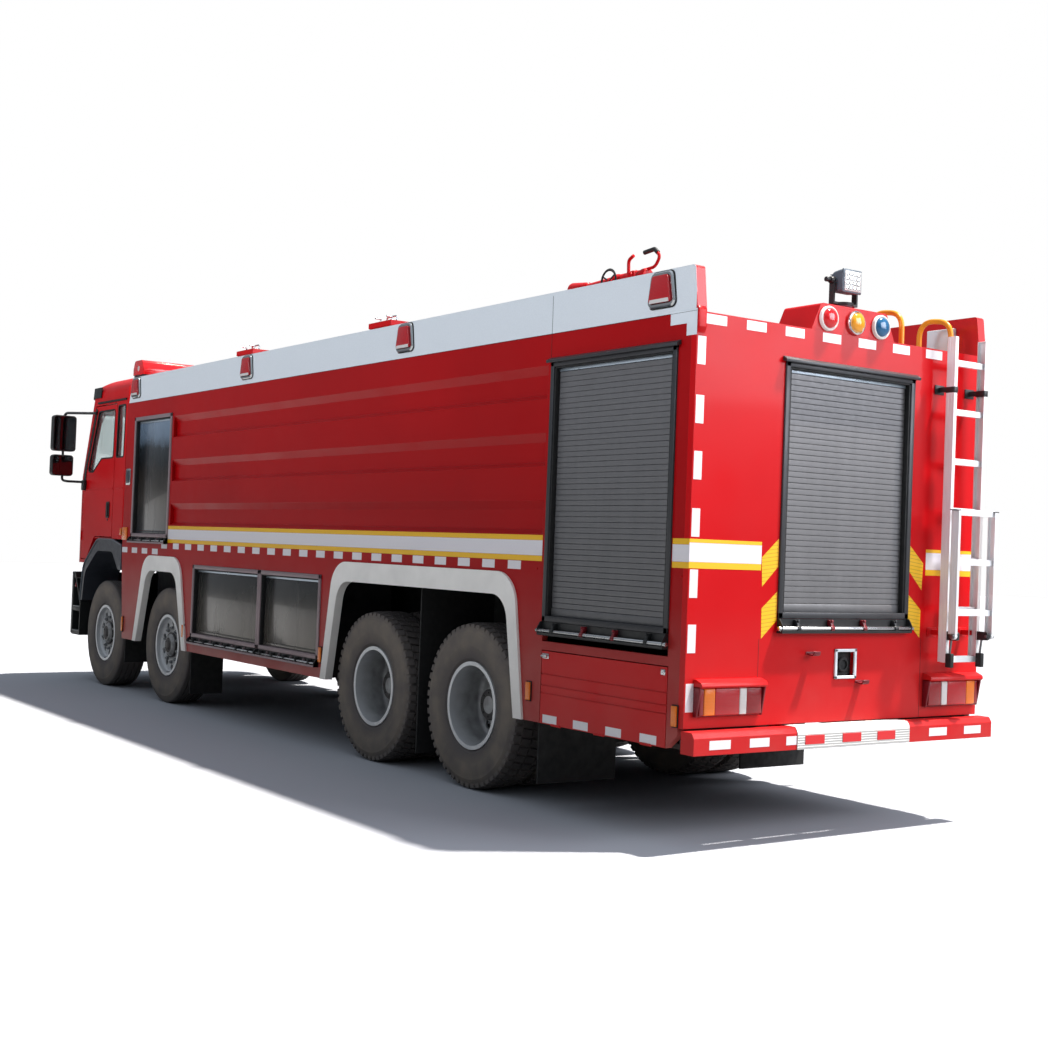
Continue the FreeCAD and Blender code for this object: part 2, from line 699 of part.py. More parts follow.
def driven_axle(name, axle):
    """A housing with its differential bulb and the fixed tubes that carry the hubs."""
    hub_inside = TYRE_MIDDLE - S.twin_pitch - S.tyre_width / 2 + S.bead_inset - S.rim_flange
    end = hub_inside - 20
    tip = TYRE_MIDDLE - S.twin_cap - 26
    bulb = doc.addObject("Part::Sphere", name + "_bulb")
    bind(bulb, "Radius", S.differential_radius)
    place(bulb, axle, 0, HUB_HEIGHT)
    return [
        cylinder(name + "_tube", "Y", (axle, HUB_HEIGHT), (-end, end), S.housing_radius),
        cylinder(name + "_spindle", "Y", (axle, HUB_HEIGHT), (-tip, tip), S.stub_radius),
        bulb,
    ]


def make_axles():
    """All four axles with their springs."""
    middle = (AXLE_3 + AXLE_4) / 2
    reach = S.rear_spacing / 2 + 60
    seat = HUB_HEIGHT + S.housing_radius
    tandem = driven_axle("third_axle", AXLE_3) + driven_axle("fourth_axle", AXLE_4)
    for end, hand in (("left", 1), ("right", -1)):
        wide = (hand * (S.rail_outer - S.rail_flange), hand * S.rail_outer)
        leaves = [
            (middle - reach, seat - 25), (middle, seat + 25, 900), (middle + reach, seat - 25),
            (middle + reach, seat + 5), (middle, seat + 25 + S.spring_pack, 900), (middle - reach, seat + 5),
        ]
        tandem.append(prism(f"tandem_leaves_{end}", "Y", leaves, wide))
        tandem.append(box(f"tandem_seat_{end}", (middle - 130, middle + 130), wide,
                          (seat - 120, S.rail_base)))
    tandem.append(cylinder("trunnion", "Y", (middle, seat - 60), (-S.rail_outer, S.rail_outer), 45))
    pieces = [steered_axle("first_axle", AXLE_1), steered_axle("second_axle", AXLE_2), fuse("tandem", tandem)]
    sub_part("axles_and_springs", fuse("axle_set", pieces))


def frame_rail(name, hand):
    """One channel-section rail with its tilt-pivot horn, towing lug and hitch holes."""
    start = REAR + S.frame_start
    end = FRONT - S.pivot_setback + 45
    outer = hand * S.rail_outer
    inner = hand * (S.rail_outer - S.rail_flange)
    web = hand * (S.rail_outer - S.rail_web)
    pivot = (FRONT - S.pivot_setback, S.pivot_height)
    solid = fuse(name + "_solid", [
        box(name + "_blank", (start, end), (inner, outer), (S.rail_base, RAIL_TOP)),
        box(name + "_horn", (end - 90, end), (inner, outer), (S.rail_base, S.pivot_height)),
        cylinder(name + "_horn_eye", "Y", pivot, (inner, outer), 45),
        box(name + "_tow_lug", (end - 240, end), (outer - hand * S.tow_eye_thick, outer),
            (S.rail_base - 130, S.rail_base)),
    ])
    tools = [
        box(name + "_channel", (start - 5, end - 95), (inner - hand * 5, web),
            (S.rail_base + S.rail_web, RAIL_TOP - S.rail_web)),
        cylinder(name + "_horn_bore", "Y", pivot, (inner, outer), S.pivot_radius + S.bearing_play),
        cylinder(name + "_tow_bore", "Y", (end - 60, S.rail_base - 70), (inner, outer), S.tow_eye_radius),
    ]
    middle_x = start + 150
    middle_z = S.rail_base + S.rail_height / 2
    for number, (along, up) in enumerate(((-1, -1), (1, -1), (-1, 1), (1, 1))):
        centre = (middle_x + S.hitch_pitch / 2 * along, middle_z + S.hitch_rise / 2 * up)
        tools.append(cylinder(f"{name}_hitch_{number}", "Y", centre, (web - hand * 5, outer + hand * 5),
                              S.hitch_hole))
    return cut(name, solid, tools)


def make_frame():
    """Two rails and their cross-members."""
    start = REAR + S.frame_start
    end = FRONT - S.pivot_setback
    web = S.rail_outer - S.rail_web
    members = [
        start, AXLE_4 - 420, AXLE_3 + 420, (AXLE_2 + AXLE_3) / 2 - 500, (AXLE_2 + AXLE_3) / 2 + 700,
        AXLE_2 - 500, AXLE_2 + 500, end - 200,
    ]
    pieces = [frame_rail("rail_left", 1), frame_rail("rail_right", -1)]
    for number, station in enumerate(members):
        pieces.append(box(f"cross_member_{number}", (station, station + 70), (-web, web),
                          (RAIL_TOP - 190, RAIL_TOP - 40)))
    sub_part("chassis_frame", fuse("frame_joined", pieces))


def make_driveline():
    """Engine as one plain block, with its gearbox and the shaft to the third axle."""
    front = CAB_FRONT - 330
    back = front - 1120
    low = S.rail_base - 50
    shaft_z = HUB_HEIGHT + 150
    pieces = [
        box("engine_block", (back, front), (-325, 325), (low, S.cab_floor - 80)),
        box("gearbox", (back - 700, back), (-200, 200), (shaft_z + 18, RAIL_TOP + 60)),
        cylinder("shaft", "X", (0, shaft_z), (AXLE_3 + S.differential_radius * 0.7, back), 45),
    ]
    sub_part("driveline", cut("driveline_joined", fuse("driveline_blank", pieces), [driveline_clearance()]))


def driveline_clearance():
    """Room round the differential where the shaft's flange ends."""
    ball = doc.addObject("Part::Sphere", "differential_room")
    bind(ball, "Radius", S.differential_radius + S.joint_gap)
    return place(ball, AXLE_3, 0, HUB_HEIGHT)


def make_tanks():
    """Fuel tank on the right of the frame and air tanks on the left."""
    start = LOCKER_START + 100
    centre = S.rail_outer + 95
    low = S.rail_base - 60
    pieces = [
        box("fuel_tank", (start, start + 1250), (-S.rail_outer - 12, -S.rail_outer - 170), (low, low + 420)),
        box("fuel_bracket", (start + 200, start + 260), (-S.rail_outer, -S.rail_outer - 20),
            (low + 90, low + 300)),
    ]
    for number in range(2):
        first = start + 700 * number
        pieces.append(cylinder(f"air_tank_{number}", "X", (centre, S.rail_base + 130),
                               (first, first + 620), 80))
        pieces.append(box(f"air_bracket_{number}", (first + 250, first + 310),
                          (S.rail_outer, S.rail_outer + 60),
                          (S.rail_base + 100, S.rail_base + 160)))
    sub_part("fuel_and_air_tanks", fuse("tank_set", pieces))


make_axles()
make_frame()
make_driveline()
make_tanks()


# ---------------------------------------------------------------- bumpers and mudflaps
def make_front_bumper():
    """Bumper shell with rounded corners, lamp pockets, tow openings and the cab steps."""
    back = FRONT - 220
    side = S.cab_half_width - 10
    rounding = S.bumper_corner
    outer = [(back, -side), (FRONT, -side, rounding), (FRONT, side, rounding), (back, side)]
    inset = S.bumper_lead - 4
    inner = [
        (back - 5, inset - side), (FRONT - inset, inset - side, rounding - inset),
        (FRONT - inset, side - inset, rounding - inset), (back - 5, side - inset),
    ]
    shell = prism("bumper_outside", "Z", outer, (S.front_bumper_base, S.front_bumper_top))
    pocket = prism("bumper_inside", "Z", inner, (S.front_bumper_base - 5, S.front_bumper_top + 5))
    tools = [pocket, box("bumper_grille", (FRONT - 60, FRONT + 5), (-420, 420), (700, 1010))]
    for end, hand in (("left", 1), ("right", -1)):
        tools.append(box(f"headlamp_pocket_{end}", (FRONT - 60, FRONT + 5), (hand * 700, hand * 1010),
                         (850, 1030)))
        tools.append(box(f"tow_opening_{end}", (FRONT - 60, FRONT + 5), (hand * 330, hand * 500), (585, 690)))
    carriers = []
    for end, hand in (("left", 1), ("right", -1)):
        carriers.append(box(f"bumper_arm_{end}", (back, FRONT - inset),
                            (hand * S.rail_outer, hand * (S.rail_outer + 60)),
                            (S.rail_base + 20, S.rail_base + 160)))
        step = [
            (back - 260, S.front_bumper_base - 10), (back, S.front_bumper_base - 10),
            (back, S.front_bumper_top),
            (back - 60, S.front_bumper_top), (back - 260, S.front_bumper_top - 330),
        ]
        block = prism(f"step_block_{end}", "Y", step, (hand * (side - 250), hand * side))
        wells = [
            box(f"step_well_{end}_{number}", (back - 240, back - 20),
                (hand * (side - 225), hand * (side + 5)), span)
            for number, span in enumerate((
                (S.front_bumper_base + 30, S.front_bumper_base + 260),
                (S.front_bumper_base + 300, S.front_bumper_top - 60),
            ))
        ]
        carriers.append(cut(f"step_{end}", block, wells))
    sub_part("front_bumper", fuse("bumper_and_steps", [cut("bumper_shell", shell, tools)] + carriers))


def make_rear_bumper():
    """Rear beam a little wider than the body, hung from the rails."""
    side = SIDE + 20
    face = REAR - S.bumper_reach
    top = S.bumper_base + S.bumper_height
    beam = [(face, S.bumper_base), (REAR - 8, S.bumper_base), (REAR - 8, top), (face + 18, top, 12),
            (face, top - 30, 12)]
    pieces = [prism("bumper_beam", "Y", beam, (-side, side))]
    for end, hand in (("left", 1), ("right", -1)):
        wide = (hand * (S.rail_outer - 70), hand * (S.rail_outer - 10))
        pieces.append(box(f"bumper_arm_rear_{end}", (REAR - 10, REAR + S.frame_start + 90), wide,
                          (S.bumper_base + 20, S.bumper_base + 100)))
        pieces.append(box(f"bumper_hanger_{end}", (REAR + S.frame_start + 40, REAR + S.frame_start + 90),
                          wide,
                          (S.bumper_base + 20, S.rail_base)))
    sub_part("rear_bumper", fuse("rear_bumper_joined", pieces))


def make_mudflaps():
    """Rubber sheets behind the wheels and between the driven axles."""
    outside = S.tyre_face - 5
    inside = S.tyre_face - S.twin_pitch - S.tyre_width + 30
    sheets = [
        ("fourth", AXLE_4 - 823, inside, (155, S.floor_height)),
        ("third", AXLE_3 - 690, inside, (150, S.floor_height)),
        ("second", AXLE_2 - 655, S.kingpin_offset - 60, (148, S.floor_height)),
        ("first", AXLE_1 - 672, S.kingpin_offset - 60, (300, 1230)),
    ]
    pieces = []
    for end, hand in (("left", 1), ("right", -1)):
        for name, station, near, rise in sheets:
            pieces.append(box(f"flap_{name}_{end}", (station, station + 14), (hand * near, hand * outside),
                              rise))
        bar = AXLE_1 - 672
        pieces.append(box(f"flap_bar_{end}", (bar, bar + 40), (hand * S.rail_outer, hand * outside),
                          (920, 960)))
    sub_part("mudflaps", fuse("mudflap_set", pieces))


make_front_bumper()
make_rear_bumper()
make_mudflaps()


# ---------------------------------------------------------------- tank body
def arch_outline(grow, rise, foot):
    """Second axle's arch as points from the rear foot to the front foot."""
    low = S.skirt_height - foot
    top = S.arch_top + rise
    return [
        (AXLE_2 - S.arch_foot - grow, low), (AXLE_2 - S.arch_shoulder - grow, top, S.arch_corner + rise / 3),
        (AXLE_2 + S.arch_shoulder + grow, top, S.arch_corner + rise / 3), (AXLE_2 + S.arch_foot + grow, low),
    ]


def tandem_outline(grow, rise, foot):
    """Rear arch over both driven axles, from the rear foot to the front foot."""
    low = S.skirt_height - foot
    top = S.tandem_arch_top + rise
    return [
        (AXLE_4 - S.tandem_rear_foot - grow, low),
        (AXLE_4 - S.tandem_rear_shoulder - grow, top, S.arch_corner + rise / 3),
        (AXLE_3 + S.tandem_front_shoulder + grow, top, S.arch_corner + rise / 3),
        (AXLE_3 + S.tandem_front_foot + grow, low),
    ]


def make_flares():
    """Pale flares round the arches, with a lip inside the wall's cut edge."""
    def build(name):
        pieces = []
        for arch, outline in (("second", arch_outline), ("tandem", tandem_outline)):
            face = prism(f"{name}_{arch}_face", "Y", outline(S.flare_width, S.flare_height, 0),
                         (SIDE, SIDE + S.flare_proud))
            lip = prism(f"{name}_{arch}_lip", "Y", outline(S.flare_lip, S.flare_lip, 0),
                        (INSIDE, SIDE + S.flare_proud))
            hole = prism(f"{name}_{arch}_hole", "Y", outline(0, 0, 5), (INSIDE - 5, SIDE + S.flare_proud + 5))
            pieces.append(cut(f"{name}_{arch}", fuse(f"{name}_{arch}_blank", [face, lip]), [hole]))
        return fuse(name, pieces)
    sub_part("arch_flares", fuse("flare_set", both_sides("flare", build)))


def shutter_places():
    """Each side shutter's outer frame: name, start, end, base and top."""
    post = (LOCKER_START + LOCKER_END) / 2 - 165
    return [
        ("tall", TALL_START, TALL_END, S.tall_base, S.tall_top),
        ("front", FRONT_SHUTTER_START, FRONT_SHUTTER_END, S.front_shutter_base, S.tall_top + 15),
        ("locker_rear", LOCKER_START, post, S.locker_base, S.locker_top),
        ("locker_front", post, LOCKER_END, S.locker_base, S.locker_top),
    ]


def make_side_wall():
    """Left wall: arches, shutter openings, drop-panel opening and pressed channels cut in."""
    start = REAR + S.wall
    top = S.roof_edge_height
    outline = [
        (start, S.skirt_height + S.corner_cut * 0.65), (REAR + 140, S.skirt_height),
        (BODY_FRONT - S.skirt_cut, S.skirt_height), (BODY_FRONT, S.skirt_height + S.skirt_cut_rise),
        (BODY_FRONT, top), (start, top),
    ]
    blank = prism("side_wall_blank", "Y", outline, (INSIDE, SIDE))
    through = (INSIDE - 5, SIDE + 5)
    edge = S.flare_lip + S.lip_play
    tools = [
        prism("wall_arch", "Y", arch_outline(edge, edge, 5), through),
        prism("wall_tandem_arch", "Y", tandem_outline(edge, edge, 5), through),
        box("drop_opening", (REAR + 140, TALL_END), through, (S.skirt_height - 5, DROP_TOP + S.joint_gap)),
        box("tray_opening", (TALL_START, TALL_END), through, (DROP_TOP + 60, S.tall_base + 5)),
    ]
    for name, first, last, base, high in shutter_places():
        tools.append(box(f"opening_{name}", (first, last), through, (base, high)))
    tools += [channel(f"channel_{number}", number) for number in range(3)]
    sides("side_wall", cut("side_wall_cut", blank, tools))


def channel(name, number):
    """A pressed channel with sloped flanks along the wall between the shutters."""
    base = S.channel_base + S.channel_pitch * number
    floor = SIDE - S.channel_depth
    outline = [
        (SIDE + 2, base), (SIDE + 2, base + S.channel_height), (SIDE, base + S.channel_height),
        (floor, base + S.channel_height - S.channel_flank), (floor, base + S.channel_flank / 2), (SIDE, base),
    ]
    return prism(name, "X", outline, (TALL_END + 38, FRONT_SHUTTER_START - 39))


def make_drop_panels():
    """Panels below the tall shutters that hinge down at their lower edge."""
    gap = S.joint_gap
    first = REAR + 140 + gap
    last = TALL_END - gap
    high = DROP_TOP
    panel = box("drop_blank", (first, last), (INSIDE + 5, SIDE), (S.skirt_height, high))
    grooves = [
        box(f"drop_groove_{number}", (first - 5, last + 5), (SIDE - 5, SIDE + 5),
            (high - down, high - down + 9))
        for number, down in enumerate((145, 215, 263))
    ]
    knuckles = [
        cylinder(f"drop_knuckle_{number}", "X", (SIDE, S.skirt_height), (first + start, first + start + 90),
                 S.knuckle)
        for number, start in enumerate((120, 550, 980))
    ]
    sides("drop_panel", fuse("drop_joined", [cut("drop_cut", panel, grooves)] + knuckles))


def make_rear_wall():
    """Rear wall with the pump bay's opening and the small framed recess."""
    blank = box("rear_blank", (REAR, REAR + S.wall), (-SIDE, SIDE), (S.rear_wall_base, S.roof_edge_height))
    half = S.rear_shutter_half
    tools = [
        box("rear_opening", (REAR - 5, REAR + S.wall + 5), (-half, half),
            (S.rear_shutter_base, S.rear_shutter_top)),
        box("socket_recess", (REAR - 5, REAR + 30), (-100, 62), (942, 1100)),
    ]
    sub_part("rear_wall", cut("rear_wall_cut", blank, tools))


def make_body_floor():
    """Floor with its bearers on the frame and the hanging lockers, which open to the side."""
    start = REAR + S.wall
    end = BODY_FRONT - S.wall
    pieces = [box("floor_plate", (start, end), (-INSIDE, INSIDE), (S.floor_height, FLOOR_TOP))]
    wells = []
    bays = (("middle", LOCKER_START - 25, LOCKER_END + 25), ("rear", start, TALL_END + 60))
    for end_name, hand in (("left", 1), ("right", -1)):
        bearer = (hand * (S.rail_outer - S.subframe_width - 5), hand * (S.rail_outer - 5))
        pieces.append(box(f"bearer_{end_name}", (start + 40, end), bearer, (RAIL_TOP, S.floor_height)))
        near = hand * (S.rail_outer + S.tank_bay)
        for bay, first, last in bays:
            name = f"locker_{bay}_{end_name}"
            pieces.append(box(name, (first, last), (near, hand * INSIDE), (S.skirt_height, S.floor_height)))
            wells.append(box(name + "_well", (first + S.plate, last - S.plate),
                             (near + hand * S.plate, hand * (INSIDE + 5)),
                             (S.skirt_height + S.plate, S.floor_height - 2)))
    sub_part("body_floor", cut("body_floor_cut", fuse("body_floor_blank", pieces), wells))


def make_roof():
    """Front wall, roof deck and parapets."""
    end = BODY_FRONT - S.wall
    sub_part("front_wall",
             box("front_wall_panel", (end, BODY_FRONT), (-INSIDE, INSIDE),
                 (S.floor_height, S.roof_edge_height)))
    sub_part("roof_deck", box("deck_plate", (REAR + S.wall, end), (-INSIDE, INSIDE), (DECK - S.plate, DECK)))

    def build(name):
        top = S.roof_edge_height + S.parapet_height
        outline = [
            (REAR, S.roof_edge_height), (BODY_FRONT - S.parapet_rake * 0.3, S.roof_edge_height),
            (BODY_FRONT - S.parapet_rake, top, 30), (REAR + 30, top, 20),
        ]
        return prism(name, "Y", outline, (SIDE - S.parapet_thick, SIDE))
    sub_part("parapets", fuse("parapet_pair", both_sides("parapet", build)))


make_flares()
make_side_wall()
make_drop_panels()
make_rear_wall()
make_body_floor()
make_roof()


# ---------------------------------------------------------------- shutters
def frame_ring(name, x, z, y):
    """A rectangular frame standing in a side wall."""
    outside = box(name + "_outside", x, y, z)
    bar = S.shutter_bar
    low, high = ordered(*y)
    window = box(name + "_window", (x[0] + bar, x[1] - bar), (low - 5, high + 5), (z[0] + bar, z[1] - bar))
    return cut(name, outside, [window])


def make_shutters():
    """Frames with their step trays, and the closed curtains inside the frames."""
    bar = S.shutter_bar
    face = SIDE - S.curtain_recess

    def build_frames(name):
        depth = (face - S.curtain, SIDE + S.shutter_proud)
        pieces = []
        for bay, first, last, base, high in shutter_places():
            pieces.append(frame_ring(f"{name}_{bay}", (first, last), (base, high), depth))
            low = base - S.tray_height if bay == "tall" else base - S.tray_height * 0.75
            inside = INSIDE if bay == "tall" else SIDE
            pieces.append(box(f"{name}_{bay}_tray", (first, last), (inside, SIDE + S.tray_reach),
                              (low, base)))
        return fuse(name, pieces)

    def build_curtains(name):
        pieces = []
        for bay, first, last, base, high in shutter_places():
            pieces.append(box(f"{name}_{bay}", (first + bar, last - bar), (face - S.curtain, face),
                              (base + bar, high - bar)))
        return fuse(name, pieces)

    half = S.rear_shutter_half
    base = S.rear_shutter_base
    top = S.rear_shutter_top
    rear_face = REAR + S.curtain_recess
    rear_frame = cut("rear_frame",
                     box("rear_frame_outside", (REAR - S.shutter_proud, rear_face + S.curtain),
                         (-half, half), (base, top)), [
        box("rear_frame_window", (REAR - 100, REAR + 100), (bar - half, half - bar), (base + bar, top - bar)),
    ])
    rear_tray = box("rear_tray", (REAR - S.tray_reach, REAR), (-half, half), (base - S.tray_height, base))
    rear_curtain = box("rear_curtain", (rear_face, rear_face + S.curtain), (bar - half, half - bar),
                       (base + bar, top - bar))
    sub_part("shutter_frames",
             fuse("frames_set", both_sides("frames", build_frames) + [rear_frame, rear_tray]))
    sub_part("shutter_curtains",
             fuse("curtains_set", both_sides("curtains", build_curtains) + [rear_curtain]))


make_shutters()


# ---------------------------------------------------------------- roof equipment
def hatch_box(name, station):
    """An open box on the deck that a lid closes."""
    half_x = S.hatch_length / 2
    half_y = S.hatch_width / 2
    wall = 18
    outside = box(name, (station - half_x, station + half_x), (HATCH_MIDDLE - half_y, HATCH_MIDDLE + half_y),
                  (DECK, HATCH_TOP))
    well = box(name + "_well", (station - half_x + wall, station + half_x - wall),
               (HATCH_MIDDLE - half_y + wall, HATCH_MIDDLE + half_y - wall), (DECK + wall, HATCH_TOP + 5))
    return cut(name + "_box", outside, [well])


def make_roof_fittings():
    """Everything red that is fixed to the deck: hatch boxes, lamp housing, posts and risers."""
    half = S.lamp_plinth_half
    plinth_outline = [
        (-half, DECK), (half, DECK), (half, S.roof_edge_height), (half - 75, S.plinth_top, 30),
        (75 - half, S.plinth_top, 30), (-half, S.roof_edge_height),
    ]
    plinth = prism("lamp_plinth", "X", plinth_outline, (REAR + S.wall, REAR + 300))
    brow_outline = [
        (half, S.roof_edge_height), (half - 75, S.plinth_top, 30), (75 - half, S.plinth_top, 30),
        (-half, S.roof_edge_height),
    ]
    brow = prism("lamp_brow", "X", brow_outline, (REAR, REAR + S.wall + 5))
    post = cylinder("searchlight_post", "Z", (LAMP_X, LAMP_Y),
                    (S.plinth_top - 5, S.searchlight_height - 150), 45)
    riser_top = S.monitor_height - 190
    riser = cylinder("monitor_riser", "Z", (MONITOR_X, 0), (DECK, riser_top), 80)
    foot = cylinder("monitor_foot", "Z", (MONITOR_X, 0), (DECK, DECK + 24), 160)
    pieces = [
        plinth, brow, post, riser, foot,
        hatch_box("rear_hatch", REAR + S.rear_hatch_at), hatch_box("front_hatch", REAR + S.front_hatch_at),
    ]
    sub_part("roof_fittings", fuse("fittings_set", pieces))


def make_hatch_lid(name, station):
    """A lid with turned-down edges that rests on its box."""
    over = 10
    half_x = S.hatch_length / 2 + over
    half_y = S.hatch_width / 2 + over
    low = HATCH_TOP - 14
    outside = box(name + "_outside", (station - half_x, station + half_x),
                  (HATCH_MIDDLE - half_y + over, HATCH_MIDDLE + half_y),
                  (low, HATCH_TOP + S.lid_thick))
    room = over - 6
    under = box(name + "_under", (station - half_x + room, station + half_x - room),
                (HATCH_MIDDLE - half_y - 5, HATCH_MIDDLE + half_y - room), (low - 5, HATCH_TOP))
    knuckle = cylinder(name + "_knuckle", "X", (HATCH_MIDDLE - half_y + over, HATCH_TOP + S.lid_thick),
                       (station - half_x + 40, station + half_x - 40), S.knuckle)
    sub_part(name, fuse(name + "_joined", [cut(name + "_cut", outside, [under]), knuckle]))


def make_searchlight():
    """A yoke that turns on the post and a lamp that tilts in it."""
    base = S.searchlight_height - 144
    arm = S.yoke_half
    pin = 9
    yoke = fuse("yoke_blank", [
        cylinder("yoke_disc", "Z", (LAMP_X, LAMP_Y), (base, base + 18), 62),
        box("yoke_bar", (LAMP_X - 20, LAMP_X + 20), (LAMP_Y - arm, LAMP_Y + arm), (base + 4, base + 18)),
    ] + [
        box(f"yoke_arm_{number}", (LAMP_X - 20, LAMP_X + 20),
            (LAMP_Y + side * arm, LAMP_Y + side * (arm - 12)),
            (base + 4, S.searchlight_height + 20))
        for number, side in enumerate((1, -1))
    ])
    bore = cylinder("yoke_bore", "Y", (LAMP_X, S.searchlight_height), (LAMP_Y - arm - 5, LAMP_Y + arm + 5),
                    pin + S.bearing_play)
    sub_part("searchlight_yoke", cut("yoke_cut", yoke, [bore]))
    rise = S.head_rise
    head_outline = [
        (LAMP_X - 62, S.searchlight_height - rise, 18), (LAMP_X + 48, S.searchlight_height - rise + 17, 26),
        (LAMP_X + 48, S.searchlight_height + rise - 17, 26), (LAMP_X - 62, S.searchlight_height + rise, 18),
    ]
    head = fuse("head_joined", [
        prism("head_shell", "Y", head_outline, (LAMP_Y - S.head_half, LAMP_Y + S.head_half)),
        cylinder("head_pin", "Y", (LAMP_X, S.searchlight_height), (LAMP_Y - arm, LAMP_Y + arm), pin),
    ])
    sub_part("searchlight_head", head)


def make_monitor():
    """Foam monitor: a turret that turns on the riser and a barrel that rises in it."""
    axis_z = S.monitor_height
    low = axis_z - 185
    drum_top = axis_z - S.turret_drop
    pin = 16
    cheek = 92
    turret = fuse("turret_blank", [
        cylinder("turret_drum", "Z", (MONITOR_X, 0), (low, drum_top), 88),
        box("turret_bridge", (MONITOR_X - 40, MONITOR_X + 40), (-cheek, cheek), (drum_top - 20, drum_top)),
    ] + [
        box(f"turret_cheek_{number}", (MONITOR_X - 40, MONITOR_X + 40), (side * cheek, side * (cheek - 16)),
            (drum_top - 20, axis_z + 34))
        for number, side in enumerate((1, -1))
    ])
    bore = cylinder("turret_bore", "Y", (MONITOR_X, axis_z), (-cheek - 5, cheek + 5), pin + S.bearing_play)
    sub_part("monitor_turret", cut("turret_cut", turret, [bore]))
    back = MONITOR_X - S.barrel_tail
    muzzle = back + S.monitor_length
    hoop = doc.addObject("Part::Torus", "monitor_handle")
    bind(hoop, "Radius1", S.handle_radius)
    bind(hoop, "Radius2", 13)
    place(hoop, back - 20, 0, axis_z + 108, turn=ALONG["Y"])
    barrel = fuse("barrel_joined", [
        cylinder("barrel_body", "X", (0, axis_z), (back, back + 330), 64),
        cone("barrel_taper", "X", (0, axis_z), (back + 330, muzzle - 190), 52, 34),
        cone("barrel_nozzle", "X", (0, axis_z), (muzzle - 190, muzzle), 44, 62),
        cylinder("barrel_pin", "Y", (MONITOR_X, axis_z), (-cheek, cheek), pin),
        box("handle_root", (back - 40, back + 40), (-14, 14), (axis_z, axis_z + 30)),
        hoop,
    ])
    sub_part("monitor_barrel", barrel)


def make_hoops():
    """Two tall hand hoops where the ladder meets the roof."""
    pieces = []
    for number, across in enumerate((S.ladder_middle + 430, S.ladder_middle - 40)):
        tube = 34
        first = REAR + S.wall + 12
        last = first + 290
        top = S.roof_edge_height + 255
        outer = [(first, DECK), (first, top, 110), (last, top, 110), (last, DECK)]
        inner = [(first + tube, DECK - 5), (first + tube, top - tube, 76), (last - tube, top - tube, 76),
                 (last - tube, DECK - 5)]
        wide = (across - tube / 2, across + tube / 2)
        ring = prism(f"hoop_outer_{number}", "Y", outer, wide)
        hole = prism(f"hoop_inner_{number}", "Y", inner, (across - tube, across + tube))
        pieces.append(cut(f"hoop_{number}", ring, [hole]))
    sub_part("roof_hoops", fuse("hoop_pair", pieces))


def make_lamps():
    """Tail lamps, parapet warning lamps and headlamps."""
    pieces = []
    low = S.roof_edge_height + 45
    for end, hand in (("left", 1), ("right", -1)):
        for number, station in enumerate((REAR + 300, REAR + 3170, REAR + 5900, BODY_FRONT - 240)):
            pieces.append(box(f"parapet_lamp_{number}_{end}", (station - 122, station + 122),
                              (hand * SIDE, hand * (SIDE + 38)),
                              (low, low + 200)))
        lamp = (hand * (SIDE - 555), hand * (SIDE - 60))
        pieces.append(box(f"tail_lamp_{end}", (REAR - 46, REAR), lamp, (738, 920)))
        pieces.append(box(f"headlamp_{end}", (FRONT - 62, FRONT - 6), (hand * 706, hand * 1004), (856, 1024)))
    sub_part("lamps", fuse("lamp_set", pieces))


make_roof_fittings()
make_hatch_lid("hatch_lid_rear", REAR + S.rear_hatch_at)
make_hatch_lid("hatch_lid_front", REAR + S.front_hatch_at)
make_searchlight()
make_monitor()
make_hoops()
make_lamps()


# ---------------------------------------------------------------- ladder
def make_ladder():
    """Fixed upper ladder, and the lower section that folds down from it."""
    middle = S.ladder_middle
    half = S.ladder_half
    rail = S.ladder_rail
    front = REAR - 68
    back = front - S.rail_depth
    foot = S.ladder_fold - 165
    pivot_x = REAR - S.ladder_reach + 20
    pin = 10
    pieces = []
    for number, side in enumerate((1, -1)):
        outer = middle + side * half
        pieces.append(box(f"upper_rail_{number}", (back, front), (outer, outer - side * rail),
                          (foot, S.roof_edge_height + 70)))
        for stay, height in (("low", S.ladder_fold + 20), ("high", S.roof_edge_height - 260)):
            pieces.append(box(f"ladder_stay_{stay}_{number}", (front, REAR), (outer, outer - side * rail),
                              (height, height + 36)))
        block = [
            (back + 5, S.ladder_fold - 26), (pivot_x, S.ladder_fold - 26, 20),
            (pivot_x - 24, S.ladder_fold, 20),
            (pivot_x, S.ladder_fold + 26, 20), (back + 5, S.ladder_fold + 26),
        ]
        pieces.append(prism(f"fold_block_{number}", "Y", block, (outer, outer - side * rail)))
        pieces.append(cylinder(f"fold_pin_{number}", "Y", (pivot_x, S.ladder_fold),
                               (outer - side * rail, outer + side * 32), pin))
    for number in range(7):
        height = foot + 28 + S.rung_pitch * number
        pieces.append(cylinder(f"upper_rung_{number}", "Y", ((back + front) / 2, height),
                               (middle - half + 5, middle + half - 5),
                               S.rung_radius))
    sub_part("ladder_upper", fuse("ladder_upper_joined", pieces))

    wide = half + 6
    lower = []
    bores = []
    for number, side in enumerate((1, -1)):
        span = (middle + side * wide, middle + side * (wide + 22))
        lower.append(box(f"lower_rail_{number}", (pivot_x - 20, pivot_x + 36), span,
                         (S.ladder_fold - 30, S.ladder_fold + 780)))
        bores.append(cylinder(f"lower_bore_{number}", "Y", (pivot_x, S.ladder_fold), span,
                              pin + S.bearing_play))
    for number in range(3):
        height = S.ladder_fold + 145 + S.rung_pitch * number
        lower.append(cylinder(f"lower_rung_{number}", "Y", (pivot_x + 8, height),
                              (middle - wide - 5, middle + wide + 5), S.rung_radius))
    sub_part("ladder_lower", cut("ladder_lower_cut", fuse("ladder_lower_blank", lower), bores))


make_ladder()


